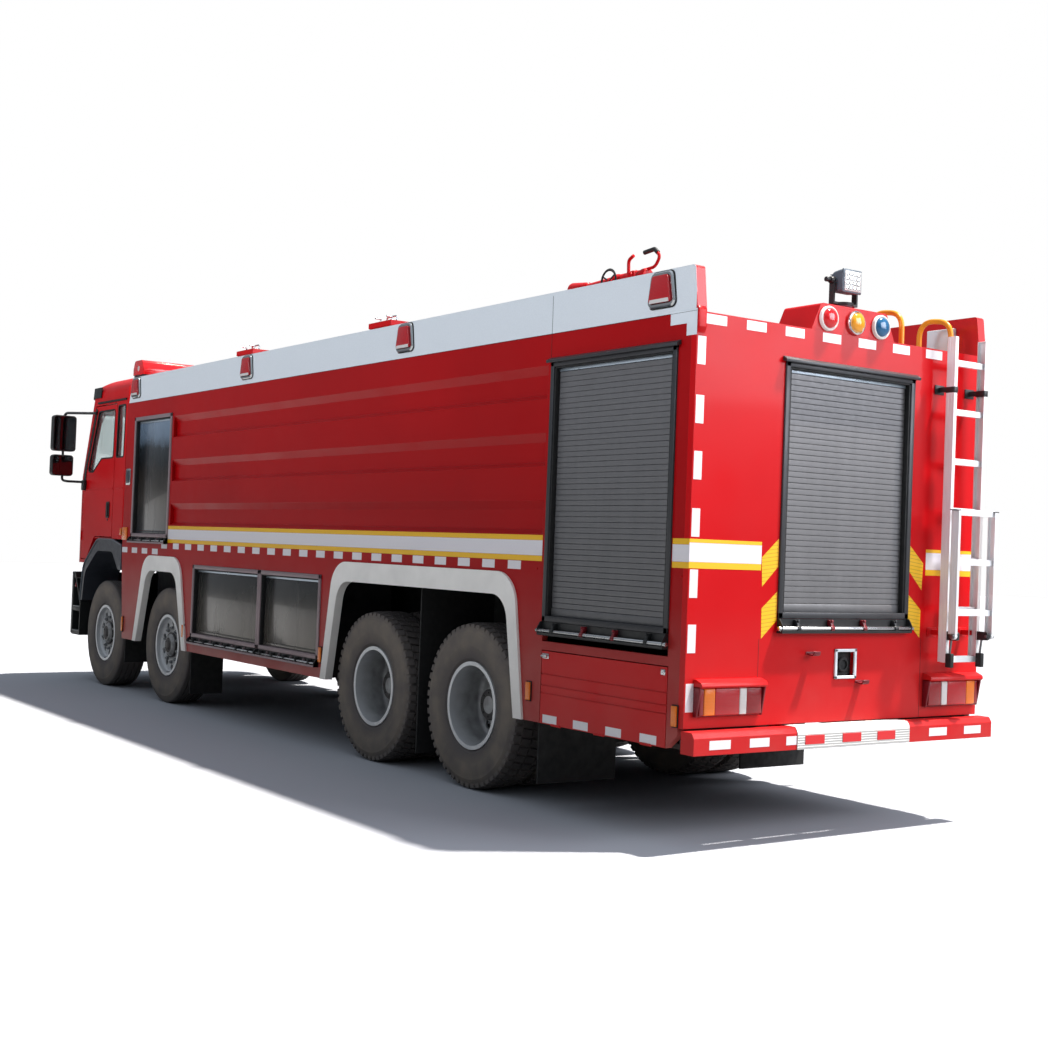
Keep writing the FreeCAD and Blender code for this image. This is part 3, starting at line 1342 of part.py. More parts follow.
# ---------------------------------------------------------------- cab
def cab_volume(name, inset, base):
    """The cab's rounded outer form, moved inwards by an inset."""
    width = S.cab_half_width - inset
    back = CAB_BACK + inset
    top = S.cab_top - inset
    front = CAB_FRONT - inset
    side = prism(name + "_side", "Y", [
        (back, base), (back, top, 90), (front - 1050, top, 1400), (front - 290, top - 165, 150),
        (front - 10, S.windscreen_base, 500), (front, base),
    ], (-width - 10, width + 10))
    face = prism(name + "_face", "X", [
        (-width, base), (-width, S.sill_height - 90), (S.roof_lean - width, top, 150),
        (width - S.roof_lean, top, 150),
        (width, S.sill_height - 90), (width, base),
    ], (back - 10, front + 10))
    corner = front - S.cab_bow
    outline = [
        (back, -width, 30), (corner, -width, S.cab_corner), (front + 12, 0, 1500),
        (corner, width, S.cab_corner), (back, width, 30),
    ]
    lower = prism(name + "_plan", "Z", outline, (base - 5, S.rake_height))
    upper = prism(name + "_raked_plan", "Z", outline, (S.rake_height, top + 5))
    upper.setExpression("Dir.x", f"-tan({S.pillar_rake.text} * 1 deg)")
    bind(upper, "LengthFwd", (top + 5 - S.rake_height) * 1.1)
    return common(name, [side, face, fuse(name + "_plans", [lower, upper])])


def door_outline(grow):
    """Door edge, from the lower front corner round by the roof and the wheel arch."""
    hinge = CAB_FRONT - S.door_front + grow
    rear = CAB_FRONT - S.door_rear - grow
    low = S.cab_base + 45 - grow
    sill = S.cab_floor + 22 - grow
    top = S.door_top + grow
    return [
        (hinge, low, 25), (hinge, S.windscreen_base + 60), (hinge - 300, top, 30), (rear, top, 30),
        (rear, sill), (rear + 540, sill, 80), (hinge - 175, low, 80),
    ]


def door_window():
    """Door window with its stepped sill."""
    hinge = CAB_FRONT - S.door_front
    rear = CAB_FRONT - S.door_rear
    top = S.door_top - 55
    return [
        (hinge - 125, S.sill_height - 140, 40), (hinge - 400, top, 40), (rear + 42, top, 40),
        (rear + 42, S.sill_height, 40),
        (rear + 400, S.sill_height, 60), (hinge - 300, S.sill_height - 140, 60),
    ]


def quarter_window():
    """Small window behind the door."""
    rear = CAB_FRONT - S.door_rear
    return [
        (CAB_BACK + 62, S.sill_height, 25), (rear - 50, S.sill_height, 25), (rear - 50, S.door_top - 20, 25),
        (CAB_BACK + 62, S.door_top - 20, 25),
    ]


def window_tools(name):
    """Blocks that pass through every fixed window opening."""
    width = S.cab_half_width
    tools = [
        box(name + "_windscreen", (CAB_FRONT - 420, CAB_FRONT + 50), (170 - width, width - 170),
            (S.windscreen_base, S.windscreen_top)),
        box(name + "_rear_window", (CAB_BACK - 10, CAB_BACK + 100), (-520, 520),
            (S.sill_height, S.door_top - 60)),
    ]
    for end, hand in (("left", 1), ("right", -1)):
        tools.append(prism(f"{name}_quarter_{end}", "Y", quarter_window(),
                           (hand * (width - 250), hand * (width + 20))))
    return tools


def door_knuckles(name, hand, room):
    """The two hinges of a door, or the room cut for them."""
    centre = (CAB_FRONT - S.door_front + S.door_pivot, hand * (S.cab_half_width + S.door_pivot))
    return [
        cylinder(f"{name}_{number}", "Z", centre, (foot - room, foot + S.knuckle_length + room),
                 S.knuckle + room)
        for number, foot in enumerate((S.lower_knuckle, S.upper_knuckle))
    ]


def make_cab():
    """Cab shell with floor, seat bases and tilt lugs, the doors, and the fixed glass."""
    width = S.cab_half_width
    outer = cab_volume("cab_outer", 0, S.cab_base)
    inner = cab_volume("cab_inner", S.cab_wall, S.cab_base - 50)
    skin = cut("cab_skin", outer, [inner])
    floor = common("cab_floor_plate", [
        cab_volume("cab_floor_form", 10, S.cab_floor - 50),
        box("cab_floor_slab", (CAB_BACK + 10, CAB_FRONT - 10), (-width, width),
            (S.cab_floor, S.cab_floor + 55)),
    ])
    doorways = []
    doors = []
    for end, hand in (("left", 1), ("right", -1)):
        span = (hand * (width - 260), hand * (width + 20))
        doorways.append(prism(f"doorway_{end}", "Y", door_outline(S.moving_gap), span))
    under = box("cab_underside", (CAB_BACK - 10, CAB_FRONT - S.door_front - 140), (-width - 10, width + 10),
                (S.cab_base - 10, S.cab_floor))
    extras = [floor]
    for number, across in enumerate((S.seat_offset, -S.seat_offset)):
        extras.append(box(f"seat_base_{number}", (SEAT_X - 190, SEAT_X + 190), (across - 180, across + 180),
                          (S.cab_floor + 50, S.cab_floor + 55 + 190)))
    pivot_x = FRONT - S.pivot_setback
    reliefs = door_knuckles("relief_left", 1, S.knuckle_room)
    reliefs += door_knuckles("relief_right", -1, S.knuckle_room)
    blank = fuse("cab_shell_blank", [skin] + extras)
    shell = cut("cab_shell_cut", blank, doorways + [under] + reliefs + window_tools("opening"))
    lugs = []
    for end, hand in (("left", 1), ("right", -1)):
        near = hand * (S.rail_outer + S.joint_gap)
        far = hand * (S.rail_outer + 50)
        lugs.append(box(f"tilt_lug_{end}", (pivot_x - 32, pivot_x + 32), (near, far),
                        (S.pivot_height, S.cab_floor)))
        lugs.append(cylinder(f"tilt_eye_{end}", "Y", (pivot_x, S.pivot_height), (near, far), 32))
        lugs.append(cylinder(f"tilt_pin_{end}", "Y", (pivot_x, S.pivot_height),
                             (hand * (S.rail_outer - S.rail_flange), far), S.pivot_radius))
    sub_part("cab_shell", fuse("cab_shell_joined", [shell] + lugs))

    door = common("door_blank", [skin, prism("door_prism", "Y", door_outline(0), (width - 260, width + 20))])
    window = prism("door_window_cut", "Y", door_window(), (width - 260, width + 20))
    sides("cab_door", fuse("door_joined", [cut("door_cut", door, [window])] + door_knuckles("knuckle", 1, 0)))

    inset = S.glass_inset
    pane = cut("cab_glass_skin", cab_volume("glass_outer", inset, S.sill_height - 300),
               [cab_volume("glass_inner", inset + S.glass, S.sill_height - 350)])
    sub_part("cab_glass", common("cab_glass_panes", [pane, fuse("glass_tools", window_tools("pane"))]))


def make_seats():
    """Driver's and passenger's seats as simple closed forms."""
    pieces = []
    low = S.cab_floor + 55 + 190
    for number, across in enumerate((S.seat_offset, -S.seat_offset)):
        cushion = [
            (SEAT_X - 250, low, 30), (SEAT_X + 250, low, 30), (SEAT_X + 250, low + 150, 50),
            (SEAT_X - 250, low + 130, 30),
        ]
        back = [
            (SEAT_X - 256, low + 136, 20), (SEAT_X - 150, low + 140, 20), (SEAT_X - 235, low + 760, 40),
            (SEAT_X - 345, low + 760, 40),
        ]
        head = [
            (SEAT_X - 330, low + 768, 20), (SEAT_X - 245, low + 768, 20), (SEAT_X - 262, low + 960, 30),
            (SEAT_X - 347, low + 960, 30),
        ]
        wide = (across - 235, across + 235)
        pieces.append(prism(f"seat_cushion_{number}", "Y", cushion, wide))
        pieces.append(prism(f"seat_back_{number}", "Y", back, wide))
        pieces.append(prism(f"seat_head_{number}", "Y", head, (across - 140, across + 140)))
    sub_part("cab_seats", fuse("seat_set", pieces))


def make_dashboard():
    """Dashboard across the cab, with the steering column and its wheel."""
    inside = S.cab_half_width - S.cab_wall - 75
    front = CAB_FRONT - S.cab_wall - 60
    low = S.cab_floor + 56
    outline = [
        (front - 240, low + 230, 30), (front, low + 230), (front, S.windscreen_base - 10),
        (front - 240, S.windscreen_base - 10, 60), (front - 420, S.windscreen_base - 140, 60),
        (front - 350, low + 290, 30),
    ]
    desk = common("dash_desk", [
        prism("dash_section", "Y", outline, (-inside, inside)),
        cab_volume("dash_room", S.cab_wall + S.lining_gap, S.cab_floor),
    ])
    wheel_x = front - 590
    wheel_z = S.windscreen_base - 60
    across = S.seat_offset
    turn = Rotation(Vector(0, 1, 0), -28)
    wheel = doc.addObject("Part::Torus", "steering_rim")
    bind(wheel, "Radius1", S.steering_radius)
    bind(wheel, "Radius2", 16)
    place(wheel, wheel_x, across, wheel_z, turn=turn)
    hub = doc.addObject("Part::Cylinder", "steering_hub")
    bind(hub, "Radius", 45)
    bind(hub, "Height", 40)
    place(hub, wheel_x, across, wheel_z - 25, turn=turn)
    column = doc.addObject("Part::Cylinder", "steering_column")
    bind(column, "Radius", 28)
    bind(column, "Height", 330)
    place(column, wheel_x + 150, across, wheel_z - 290, turn=turn)
    shroud_outline = [
        (wheel_x + 75, wheel_z - 110), (wheel_x + 150, wheel_z - 290), (front - 290, wheel_z - 290),
        (front - 290, wheel_z - 110),
    ]
    shroud = prism("steering_shroud", "Y", shroud_outline, (across - 55, across + 55))
    pieces = [desk, wheel, hub, column, shroud]
    for number, angle in enumerate((0, 90)):
        spoke = doc.addObject("Part::Box", f"steering_spoke_{number}")
        bind(spoke, "Length", S.steering_radius * 2)
        bind(spoke, "Width", 36)
        bind(spoke, "Height", 12)
        spoke_turn = turn * Rotation(Vector(0, 0, 1), angle)
        offset = spoke_turn.multVec(Vector(-S.steering_radius.value, -18, -6))
        place(spoke, wheel_x + offset.x, across + offset.y, wheel_z + offset.z, turn=spoke_turn)
        pieces.append(spoke)
    sub_part("dashboard", fuse("dashboard_joined", pieces))


def make_fenders():
    """Wheel arches that tilt with the cab."""
    def build(name):
        low = S.cab_floor - 690
        outline = [
            (CAB_BACK - 20, S.cab_floor - 320), (CAB_BACK - 20, S.cab_floor - 60, 20),
            (AXLE_1 - 330, S.fender_top, 120),
            (AXLE_1 + 130, S.fender_top, 260), (AXLE_1 + 560, S.cab_floor - 300, 200), (AXLE_1 + 632, low),
            (AXLE_1 + 565, low), (AXLE_1 + 505, S.cab_floor - 375, 180),
            (AXLE_1 + 130, S.fender_top - 130, 230),
            (AXLE_1 - 330, S.fender_top - 130, 110), (CAB_BACK + 70, S.cab_floor - 320),
        ]
        top = prism(name + "_arch", "Y", outline, (S.kingpin_offset - 60, S.cab_half_width + 8))
        stay = box(name + "_stay", (AXLE_1 - 250, AXLE_1 + 100),
                   (S.kingpin_offset - 60, S.cab_half_width - 60),
                   (S.fender_top - 20, S.cab_floor))
        return fuse(name, [top, stay])
    sub_part("cab_fenders", fuse("fender_pair", both_sides("fender", build)))


def make_lightbar():
    """Light bar on two feet across the cab roof."""
    middle = CAB_BACK + 520
    top = S.lightbar_height
    outline = [
        (middle - 155, top - 205, 30), (middle + 155, top - 205, 30), (middle + 120, top, 50),
        (middle - 120, top, 50),
    ]
    pieces = [prism("lightbar_body", "Y", outline, (-950, 950))]
    for number, side in enumerate((1, -1)):
        pieces.append(box(f"lightbar_foot_{number}", (middle - 60, middle + 60), (side * 560, side * 700),
                          (S.cab_top - 60, top - 195)))
    trim = cab_volume("lightbar_trim", 0, S.cab_base)
    sub_part("lightbar", cut("lightbar_cut", fuse("lightbar_blank", pieces), [trim]))


def make_mirrors():
    """Mirror arms on the doors with a tall and a wide-angle head each."""
    reach = S.mirror_reach
    root = CAB_FRONT - S.door_front
    face = S.cab_half_width
    head_x = root
    pieces = [
        prism("mirror_main", "Z", [
            (head_x - 42, reach - 260, 20), (head_x + 45, reach - 260, 35), (head_x + 45, reach - 22, 35),
            (head_x - 42, reach - 22, 20),
        ], (2520, 2915)),
        prism("mirror_wide", "Z", [
            (head_x - 42, reach - 240, 20), (head_x + 60, reach - 220, 45), (head_x + 60, reach - 20, 45),
            (head_x - 42, reach, 20),
        ], (2247, 2480)),
        box("mirror_link", (head_x - 15, head_x + 15), (reach - 150, reach - 115), (2470, 2530)),
        box("mirror_top_post", (head_x - 15, head_x + 15), (reach - 150, reach - 115), (2905, 2960)),
        prism("mirror_top_arm", "Z", [
            (root - 360, face - 20), (root - 300, face - 20), (root - 290, face + 30),
            (head_x + 15, reach - 150), (head_x + 15, reach - 115), (head_x - 15, reach - 115), (root - 360, face + 30),
        ], (2930, 2960)),
        box("mirror_low_post", (head_x - 15, head_x + 15), (reach - 150, reach - 115), (2190, 2255)),
        prism("mirror_low_arm", "Z", [
            (root - 90, face + 20), (root - 50, face + 20), (head_x + 15, reach - 150),
            (head_x + 15, reach - 115), (head_x - 15, reach - 115),
        ], (2175, 2205)),
        box("mirror_low_root", (root - 105, root - 30), (face - 30, face + 45), (2095, 2215)),
    ]
    trim = cab_volume("mirror_trim", 0, S.cab_base)
    sides("mirror", cut("mirror_cut", fuse("mirror_blank", pieces), [trim]))


make_cab()
make_seats()
make_dashboard()
make_fenders()
make_lightbar()
make_mirrors()


# ---------------------------------------------------------------- check and write
def check_document():
    """Refuses a document with a failed object or an empty or faulty sub-part."""
    doc.recompute()
    for thing in doc.Objects:
        for state in ("Invalid", "Error"):
            if state in thing.State:
                raise RuntimeError(f"{thing.Label} is {state}")
    for part in sub_parts:
        if part.Shape.isNull() or not part.Shape.isValid() or not part.Shape.Solids:
            raise RuntimeError(f"{part.Label} has no sound shape")


def write_parts():
    """Writes one STEP file for each sub-part, in its place."""
    os.makedirs("parts", exist_ok=True)
    for part in sub_parts:
        part.Shape.exportStep(f"parts/{part.Label}.step")
        print(part.Label, len(part.Shape.Solids), round(part.Shape.Volume / 1e6, 2))
    print(len(sub_parts), "sub-parts")


check_document()
write_parts()
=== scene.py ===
import json
import math

import bmesh
import bpy
from mathutils import Matrix, Vector
from mathutils.bvhtree import BVHTree


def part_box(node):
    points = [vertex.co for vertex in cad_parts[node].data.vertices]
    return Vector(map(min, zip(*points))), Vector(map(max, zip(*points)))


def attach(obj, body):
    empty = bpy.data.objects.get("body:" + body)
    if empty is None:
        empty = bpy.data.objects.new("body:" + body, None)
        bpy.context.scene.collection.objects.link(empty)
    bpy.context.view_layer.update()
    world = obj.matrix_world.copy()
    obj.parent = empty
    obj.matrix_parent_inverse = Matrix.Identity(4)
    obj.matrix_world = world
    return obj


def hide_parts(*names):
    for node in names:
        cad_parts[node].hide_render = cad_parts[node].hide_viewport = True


bl_info = {
    "name": "Foam fire truck finish",
    "version": (1, 0, 0),
    "blender": (4, 5, 0),
    "location": "View3D > Sidebar > Fire truck",
    "description": "Adds trim, lamps, tapes, tyres and finishes to a foam fire truck",
    "category": "Object",
}

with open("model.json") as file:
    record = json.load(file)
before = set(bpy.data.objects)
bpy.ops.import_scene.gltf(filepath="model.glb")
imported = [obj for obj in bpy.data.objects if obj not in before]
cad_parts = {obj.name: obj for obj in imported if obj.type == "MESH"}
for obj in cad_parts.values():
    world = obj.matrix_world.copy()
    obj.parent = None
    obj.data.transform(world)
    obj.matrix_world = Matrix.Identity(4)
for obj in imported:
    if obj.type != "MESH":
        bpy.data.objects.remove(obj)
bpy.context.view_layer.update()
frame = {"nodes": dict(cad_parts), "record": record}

# ---------------------------------------------------------------- stations read from the frame
BODY = "superstructure"
CAB = "cab"
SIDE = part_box("side_wall_left")[1][1]
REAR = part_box("rear_wall")[0][0]
BODY_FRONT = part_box("side_wall_left")[1][0]
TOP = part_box("side_wall_left")[1][2]
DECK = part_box("roof_deck")[1][2]
PARAPET_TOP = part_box("parapets")[1][2]
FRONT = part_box("front_bumper")[1][0]
CAB_FRONT = FRONT - 0.04
CAB_SIDE = 1.240
JOINTS = {joint["name"]: joint for joint in frame["record"]["behaviour"]["joints"]}
WHEELS = {
    name: Vector(JOINTS[name]["pos_m"])
    for name in JOINTS
    if name.startswith("spin_")
}
LEFT_RIGHT = (("left", 1), ("right", -1))


def linear(text):
    """Turns an sRGB hex colour to the linear values that shaders take."""
    parts = [int(text[start:start + 2], 16) / 255 for start in (1, 3, 5)]
    return tuple(part / 12.92 if part <= 0.04045 else ((part + 0.055) / 1.055) ** 2.4 for part in parts)


def paint(text):
    """The same colour with full alpha."""
    return (*linear(text), 1.0)


def colour(name, text, description):
    """A colour that a user may change."""
    return bpy.props.FloatVectorProperty(
        name=name, description=description, subtype="COLOR", size=3, min=0, max=1, default=linear(text)
    )


def length(name, value, description):
    """A length in metres that a user may change."""
    return bpy.props.FloatProperty(
        name=name, description=description, default=value, min=0, unit="LENGTH", precision=4
    )


class TruckColours(bpy.types.PropertyGroup):
    """Colours of the truck's finishes."""

    red: colour("Body red", "#C8040E", "Two-pack enamel on the cab and the body")
    silver: colour("Band silver", "#D8DFE4", "Metallic paint on the outside of the parapets")
    arch: colour("Arch white", "#EBE9E5", "Paint on the wheel-arch flares")
    slat: colour("Slat grey", "#707072", "Coat on the slats of the roller shutters")
    trim: colour("Trim black", "#16181A", "Moulded trim, trays and mirror housings")
    hoop: colour("Hoop orange", "#E8930C", "Powder coat on the roof hoops")
    tape_white: colour("White tape", "#E4E1E6", "White reflective tape")
    tape_yellow: colour("Yellow tape", "#F2BC12", "Yellow reflective tape")


class TruckSizes(bpy.types.PropertyGroup):
    """Sizes of the added pieces."""

    slat_pitch: length("Slat pitch", 0.034, "Height of one slat of a roller shutter")
    tape_thick: length("Tape thickness", 0.0008, "Thickness of the reflective tapes")
    tread_depth: length("Tread depth", 0.016, "Depth of the tyre tread")
    tube_radius: length("Tube radius", 0.013, "Step tubes under the shutters")
    tread_pitches: bpy.props.IntProperty(
        name="Tread pitches", description="Tread blocks round a driven tyre", default=54, min=20, max=90
    )
    wheel_nuts: bpy.props.IntProperty(name="Wheel nuts", description="Nuts on each wheel", default=10,
                                      min=4, max=12)


# ---------------------------------------------------------------- shapes
ORDER = {"X": (1, 2, 0), "Y": (0, 2, 1), "Z": (0, 1, 2)}


def raised(outline, low, high, axis="Y", bevel=0.0, steps=2):
    """An outline in the two other coordinates, given a thickness along an axis."""
    first, second, along = ORDER[axis]
    shape = bmesh.new()
    rings = []
    for level in (low, high):
        ring = []
        for corner in outline:
            place = [0.0, 0.0, 0.0]
            place[first], place[second], place[along] = corner[0], corner[1], level
            ring.append(shape.verts.new(place))
        rings.append(ring)
    bottom, top = rings
    shape.faces.new(bottom)
    shape.faces.new(top)
    for here in range(len(outline)):
        after = (here + 1) % len(outline)
        shape.faces.new((bottom[here], bottom[after], top[after], top[here]))
    bmesh.ops.recalc_face_normals(shape, faces=shape.faces)
    if bevel:
        bmesh.ops.bevel(
            shape, geom=shape.edges[:], offset=bevel, segments=steps, profile=0.5, affect="EDGES",
            clamp_overlap=True
        )
    return shape


def slab(low, high, bevel=0.002, steps=2):
    """A block between two corners, with eased edges."""
    outline = [(low[0], low[1]), (high[0], low[1]), (high[0], high[1]), (low[0], high[1])]
    return raised(outline, low[2], high[2], "Z", bevel, steps)


def rounded(corners, steps=6):
    """Points of an outline whose corners, given as (u, v, radius), are rounded."""
    points = []
    for index, corner in enumerate(corners):
        here = Vector(corner[:2])
        radius = corner[2] if len(corner) > 2 else 0
        if not radius:
            points.append(tuple(here))
            continue
        back = (Vector(corners[index - 1][:2]) - here).normalized()
        ahead = (Vector(corners[(index + 1) % len(corners)][:2]) - here).normalized()
        half = back.angle(ahead) / 2
        centre = here + (back + ahead).normalized() * (radius / math.sin(half))
        start = here + back * (radius / math.tan(half)) - centre
        turn = start.angle_signed(here + ahead * (radius / math.tan(half)) - centre)
        for step in range(steps + 1):
            angle = -turn * step / steps
            swing = Matrix.Rotation(angle, 2)
            points.append(tuple(centre + swing @ start))
    return points


def frame_of(direction):
    """Two directions across a given one."""
    along = Vector(direction).normalized()
    across = along.orthogonal().normalized()
    return across, along.cross(across)


def rod(start, end, radius, end_radius=None, sides=20, bevel=0.0):
    """A round bar, or a cone, between two points."""
    start, end = Vector(start), Vector(end)
    across, other = frame_of(end - start)
    shape = bmesh.new()
    rings = []
    for centre, reach in ((start, radius), (end, radius if end_radius is None else end_radius)):
        rings.append([
            shape.verts.new(centre + reach * (across * math.cos(turn) + other * math.sin(turn)))
            for turn in (math.tau * side / sides for side in range(sides))
        ])
    shape.faces.new(rings[0])
    shape.faces.new(rings[1])
    for here in range(sides):
        after = (here + 1) % sides
        shape.faces.new((rings[0][here], rings[0][after], rings[1][after], rings[1][here]))
    bmesh.ops.recalc_face_normals(shape, faces=shape.faces)
    if bevel:
        ends = [edge for edge in shape.edges if any(len(face.verts) > 4 for face in edge.link_faces)]
        bmesh.ops.bevel(shape, geom=ends, offset=bevel, segments=2, profile=0.5, affect="EDGES",
                        clamp_overlap=True)
    return shape


def turned(profile, centre, direction, sides=48, closed=True):
    """Turns (along, radius) points about an axis; a closed profile makes a ring."""
    centre = Vector(centre)
    along = Vector(direction).normalized()
    across, other = frame_of(along)
    shape = bmesh.new()
    rings = []
    for distance, radius in profile:
        middle = centre + along * distance
        if radius < 1e-6:
            rings.append([shape.verts.new(middle)])
            continue
        rings.append([
            shape.verts.new(middle + radius * (across * math.cos(turn) + other * math.sin(turn)))
            for turn in (math.tau * side / sides for side in range(sides))
        ])
    runs = list(zip(rings, rings[1:]))
    if closed:
        runs.append((rings[-1], rings[0]))
    for low, high in runs:
        for here in range(sides):
            after = (here + 1) % sides
            if len(low) == 1 and len(high) == 1:
                break
            if len(low) == 1:
                shape.faces.new((low[0], high[after], high[here]))
            elif len(high) == 1:
                shape.faces.new((low[here], low[after], high[0]))
            else:
                shape.faces.new((low[here], low[after], high[after], high[here]))
    bmesh.ops.recalc_face_normals(shape, faces=shape.faces)
    return shape


def bent(points, radius, steps=6):
    """A path in space with its inner corners rounded."""
    points = [Vector(point) for point in points]
    path = [points[0]]
    for before, here, after in zip(points, points[1:], points[2:]):
        back = (before - here).normalized()
        ahead = (after - here).normalized()
        half = back.angle(ahead) / 2
        reach = min(radius / math.tan(half), (before - here).length * 0.49, (after - here).length * 0.49)
        for step in range(steps + 1):
            share = step / steps
            low = here + back * reach * (1 - share)
            high = here + ahead * reach * share
            path.append(low.lerp(high, share))
    path.append(points[-1])
    return path


def swept(path, radius, sides=12):
    """A round tube along a path, closed at both ends."""
    path = [Vector(point) for point in path]
    shape = bmesh.new()
    across, other = frame_of(path[1] - path[0])
    rings = []
    heading = (path[1] - path[0]).normalized()
    for index, centre in enumerate(path):
        before = path[max(index - 1, 0)]
        after = path[min(index + 1, len(path) - 1)]
        ahead = (after - before).normalized()
        turn = heading.rotation_difference(ahead)
        across, other, heading = turn @ across, turn @ other, ahead
        rings.append([
            shape.verts.new(centre + radius * (across * math.cos(spin) + other * math.sin(spin)))
            for spin in (math.tau * side / sides for side in range(sides))
        ])
    for low, high in zip(rings, rings[1:]):
        for here in range(sides):
            after = (here + 1) % sides
            shape.faces.new((low[here], low[after], high[after], high[here]))
    shape.faces.new(rings[0])
    shape.faces.new(rings[-1])
    bmesh.ops.recalc_face_normals(shape, faces=shape.faces)
    return shape


def dome(centre, direction, radius, height, rings=6, sides=32):
    """A low dome standing on a disc, with a short rim."""
    profile = [(0, 0), (0, radius), (height * 0.25, radius)]
    for step in range(1, rings):
        angle = math.pi / 2 * step / rings
        profile.append((height * (0.25 + 0.75 * math.sin(angle)), radius * math.cos(angle)))
    profile.append((height, 0))
    return turned(profile, centre, direction, sides, closed=False)


def joined(shapes):
    """One shape from several; the several are used up."""
    whole = bmesh.new()
    for shape in shapes:
        mesh = bpy.data.meshes.new("joining")
        shape.to_mesh(mesh)
        shape.free()
        whole.from_mesh(mesh)
        bpy.data.meshes.remove(mesh)
    return whole


def moved(shape, offset=(0, 0, 0), turn=0.0, axis="Y", about=(0, 0, 0)):
    """Turns a shape about an axis through a point, then shifts it."""
    about = Vector(about)
    matrix = (
        Matrix.Translation(Vector(offset) + about)
        @ Matrix.Rotation(turn, 4, axis)
        @ Matrix.Translation(-about)
    )
    bmesh.ops.transform(shape, matrix=matrix, verts=shape.verts)
    return shape


def other_side(shape):
    """A mirrored copy of a left-hand shape for the right-hand side."""
    copy = shape.copy()
    for vertex in copy.verts:
        vertex.co.y = -vertex.co.y
    bmesh.ops.reverse_faces(copy, faces=copy.faces)
    return copy


def both_sides(shape):
    """A left-hand shape together with its mirror image."""
    return joined([other_side(shape), shape])


def sided(shape, hand):
    """The shape as drawn on the left, or its mirror image on the right."""
    if hand > 0:
        return shape
    copy = other_side(shape)
    shape.free()
    return copy


def surface(*nodes):
    """The outer skin of some CAD nodes, for draping trim on."""
    places, faces = [], []
    for node in nodes:
        mesh = frame["nodes"][node].data
        base = len(places)
        places += [vertex.co.copy() for vertex in mesh.vertices]
        faces += [[base + index for index in face.vertices] for face in mesh.polygons]
    return BVHTree.FromPolygons(places, faces)


def draped(shape, skin, axis, sign, reach=4.0):
    """Lays a shape on a skin: its coordinate along the axis is its height above the skin."""
    index = "XYZ".index(axis)
    direction = Vector((0, 0, 0))
    direction[index] = -sign
    for vertex in shape.verts:
        height = vertex.co[index]
        start = vertex.co.copy()
        start[index] = sign * (reach + 4.0)
        hit = skin.ray_cast(start, direction)[0]
        if hit is None:
            outside = [v if i != index else sign * reach for i, v in enumerate(vertex.co)]
            hit = skin.find_nearest(Vector(outside))[0]
        vertex.co[index] = hit[index] + sign * height
    return shape


def ribbon(points, width, low, high, axis="Y", closed=False):
    """A flat strip of even width that follows points in the plane across an axis."""
    first, second, along = ORDER[axis]
    count = len(points)
    shape = bmesh.new()
    rings = []
    for index in range(count):
        here = Vector(points[index])
        if closed:
            before, after = Vector(points[index - 1]), Vector(points[(index + 1) % count])
        else:
            before, after = Vector(points[max(index - 1, 0)]), Vector(points[min(index + 1, count - 1)])
        back = (here - before).normalized() if (here - before).length > 1e-9 else (after - here).normalized()
        ahead = (after - here).normalized() if (after - here).length > 1e-9 else back
        heading = (back + ahead).normalized()
        normal = Vector((-heading.y, heading.x))
        spread = width / 2 / max(0.5, normal.dot(Vector((-back.y, back.x))))
        ring = []
        for offset, level in ((-spread, low), (spread, low), (spread, high), (-spread, high)):
            flat = here + normal * offset
            place = [0.0, 0.0, 0.0]
            place[first], place[second], place[along] = flat.x, flat.y, level
            ring.append(shape.verts.new(place))
        rings.append(ring)
    runs = list(zip(rings, rings[1:]))
    if closed:
        runs.append((rings[-1], rings[0]))
    else:
        shape.faces.new(rings[0])
        shape.faces.new(rings[-1])
    for start, end in runs:
        for here in range(4):
            after = (here + 1) % 4
            shape.faces.new((start[here], start[after], end[after], end[here]))
    bmesh.ops.recalc_face_normals(shape, faces=shape.faces)
    return shape


def divided(points, step, closed=False):
    """The same polyline with points no further apart than a step."""
    result = []
    runs = list(zip(points, points[1:]))
    if closed:
        runs.append((points[-1], points[0]))
    for start, end in runs:
        start, end = Vector(start), Vector(end)
        count = max(1, math.ceil((end - start).length / step))
        result += [tuple(start.lerp(end, share / count)) for share in range(count)]
    if not closed:
        result.append(tuple(points[-1]))
    return result


def piece(name, shape, material, body, replaces=(), smooth=35):
    """Turns a shape into a named piece with its finish, riding on a body."""
    mesh = bpy.data.meshes.new(name)
    shape.to_mesh(mesh)
    shape.free()
    mesh.materials.clear()
    mesh.materials.append(material)
    for face in mesh.polygons:
        face.material_index = 0
        face.use_smooth = True
    mesh.set_sharp_from_angle(angle=math.radians(smooth))
    made = bpy.data.objects.new(name, mesh)
    bpy.context.scene.collection.objects.link(made)
    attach(made, body)
    if replaces:
        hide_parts(*replaces)
    return made


# ---------------------------------------------------------------- layouts in geometry nodes
def add(tree, kind, inputs=None, **settings):
    """Adds a node with its settings and inputs; an input is a value, a socket or a node's first output."""
    made = tree.nodes.new(kind)
    for name, value in settings.items():
        setattr(made, name, value)
    for key, value in (inputs or {}).items():
        if isinstance(value, bpy.types.Node):
            value = value.outputs[0]
        if isinstance(value, bpy.types.NodeSocket):
            tree.links.new(value, made.inputs[key])
        else:
            made.inputs[key].default_value = value
    return made


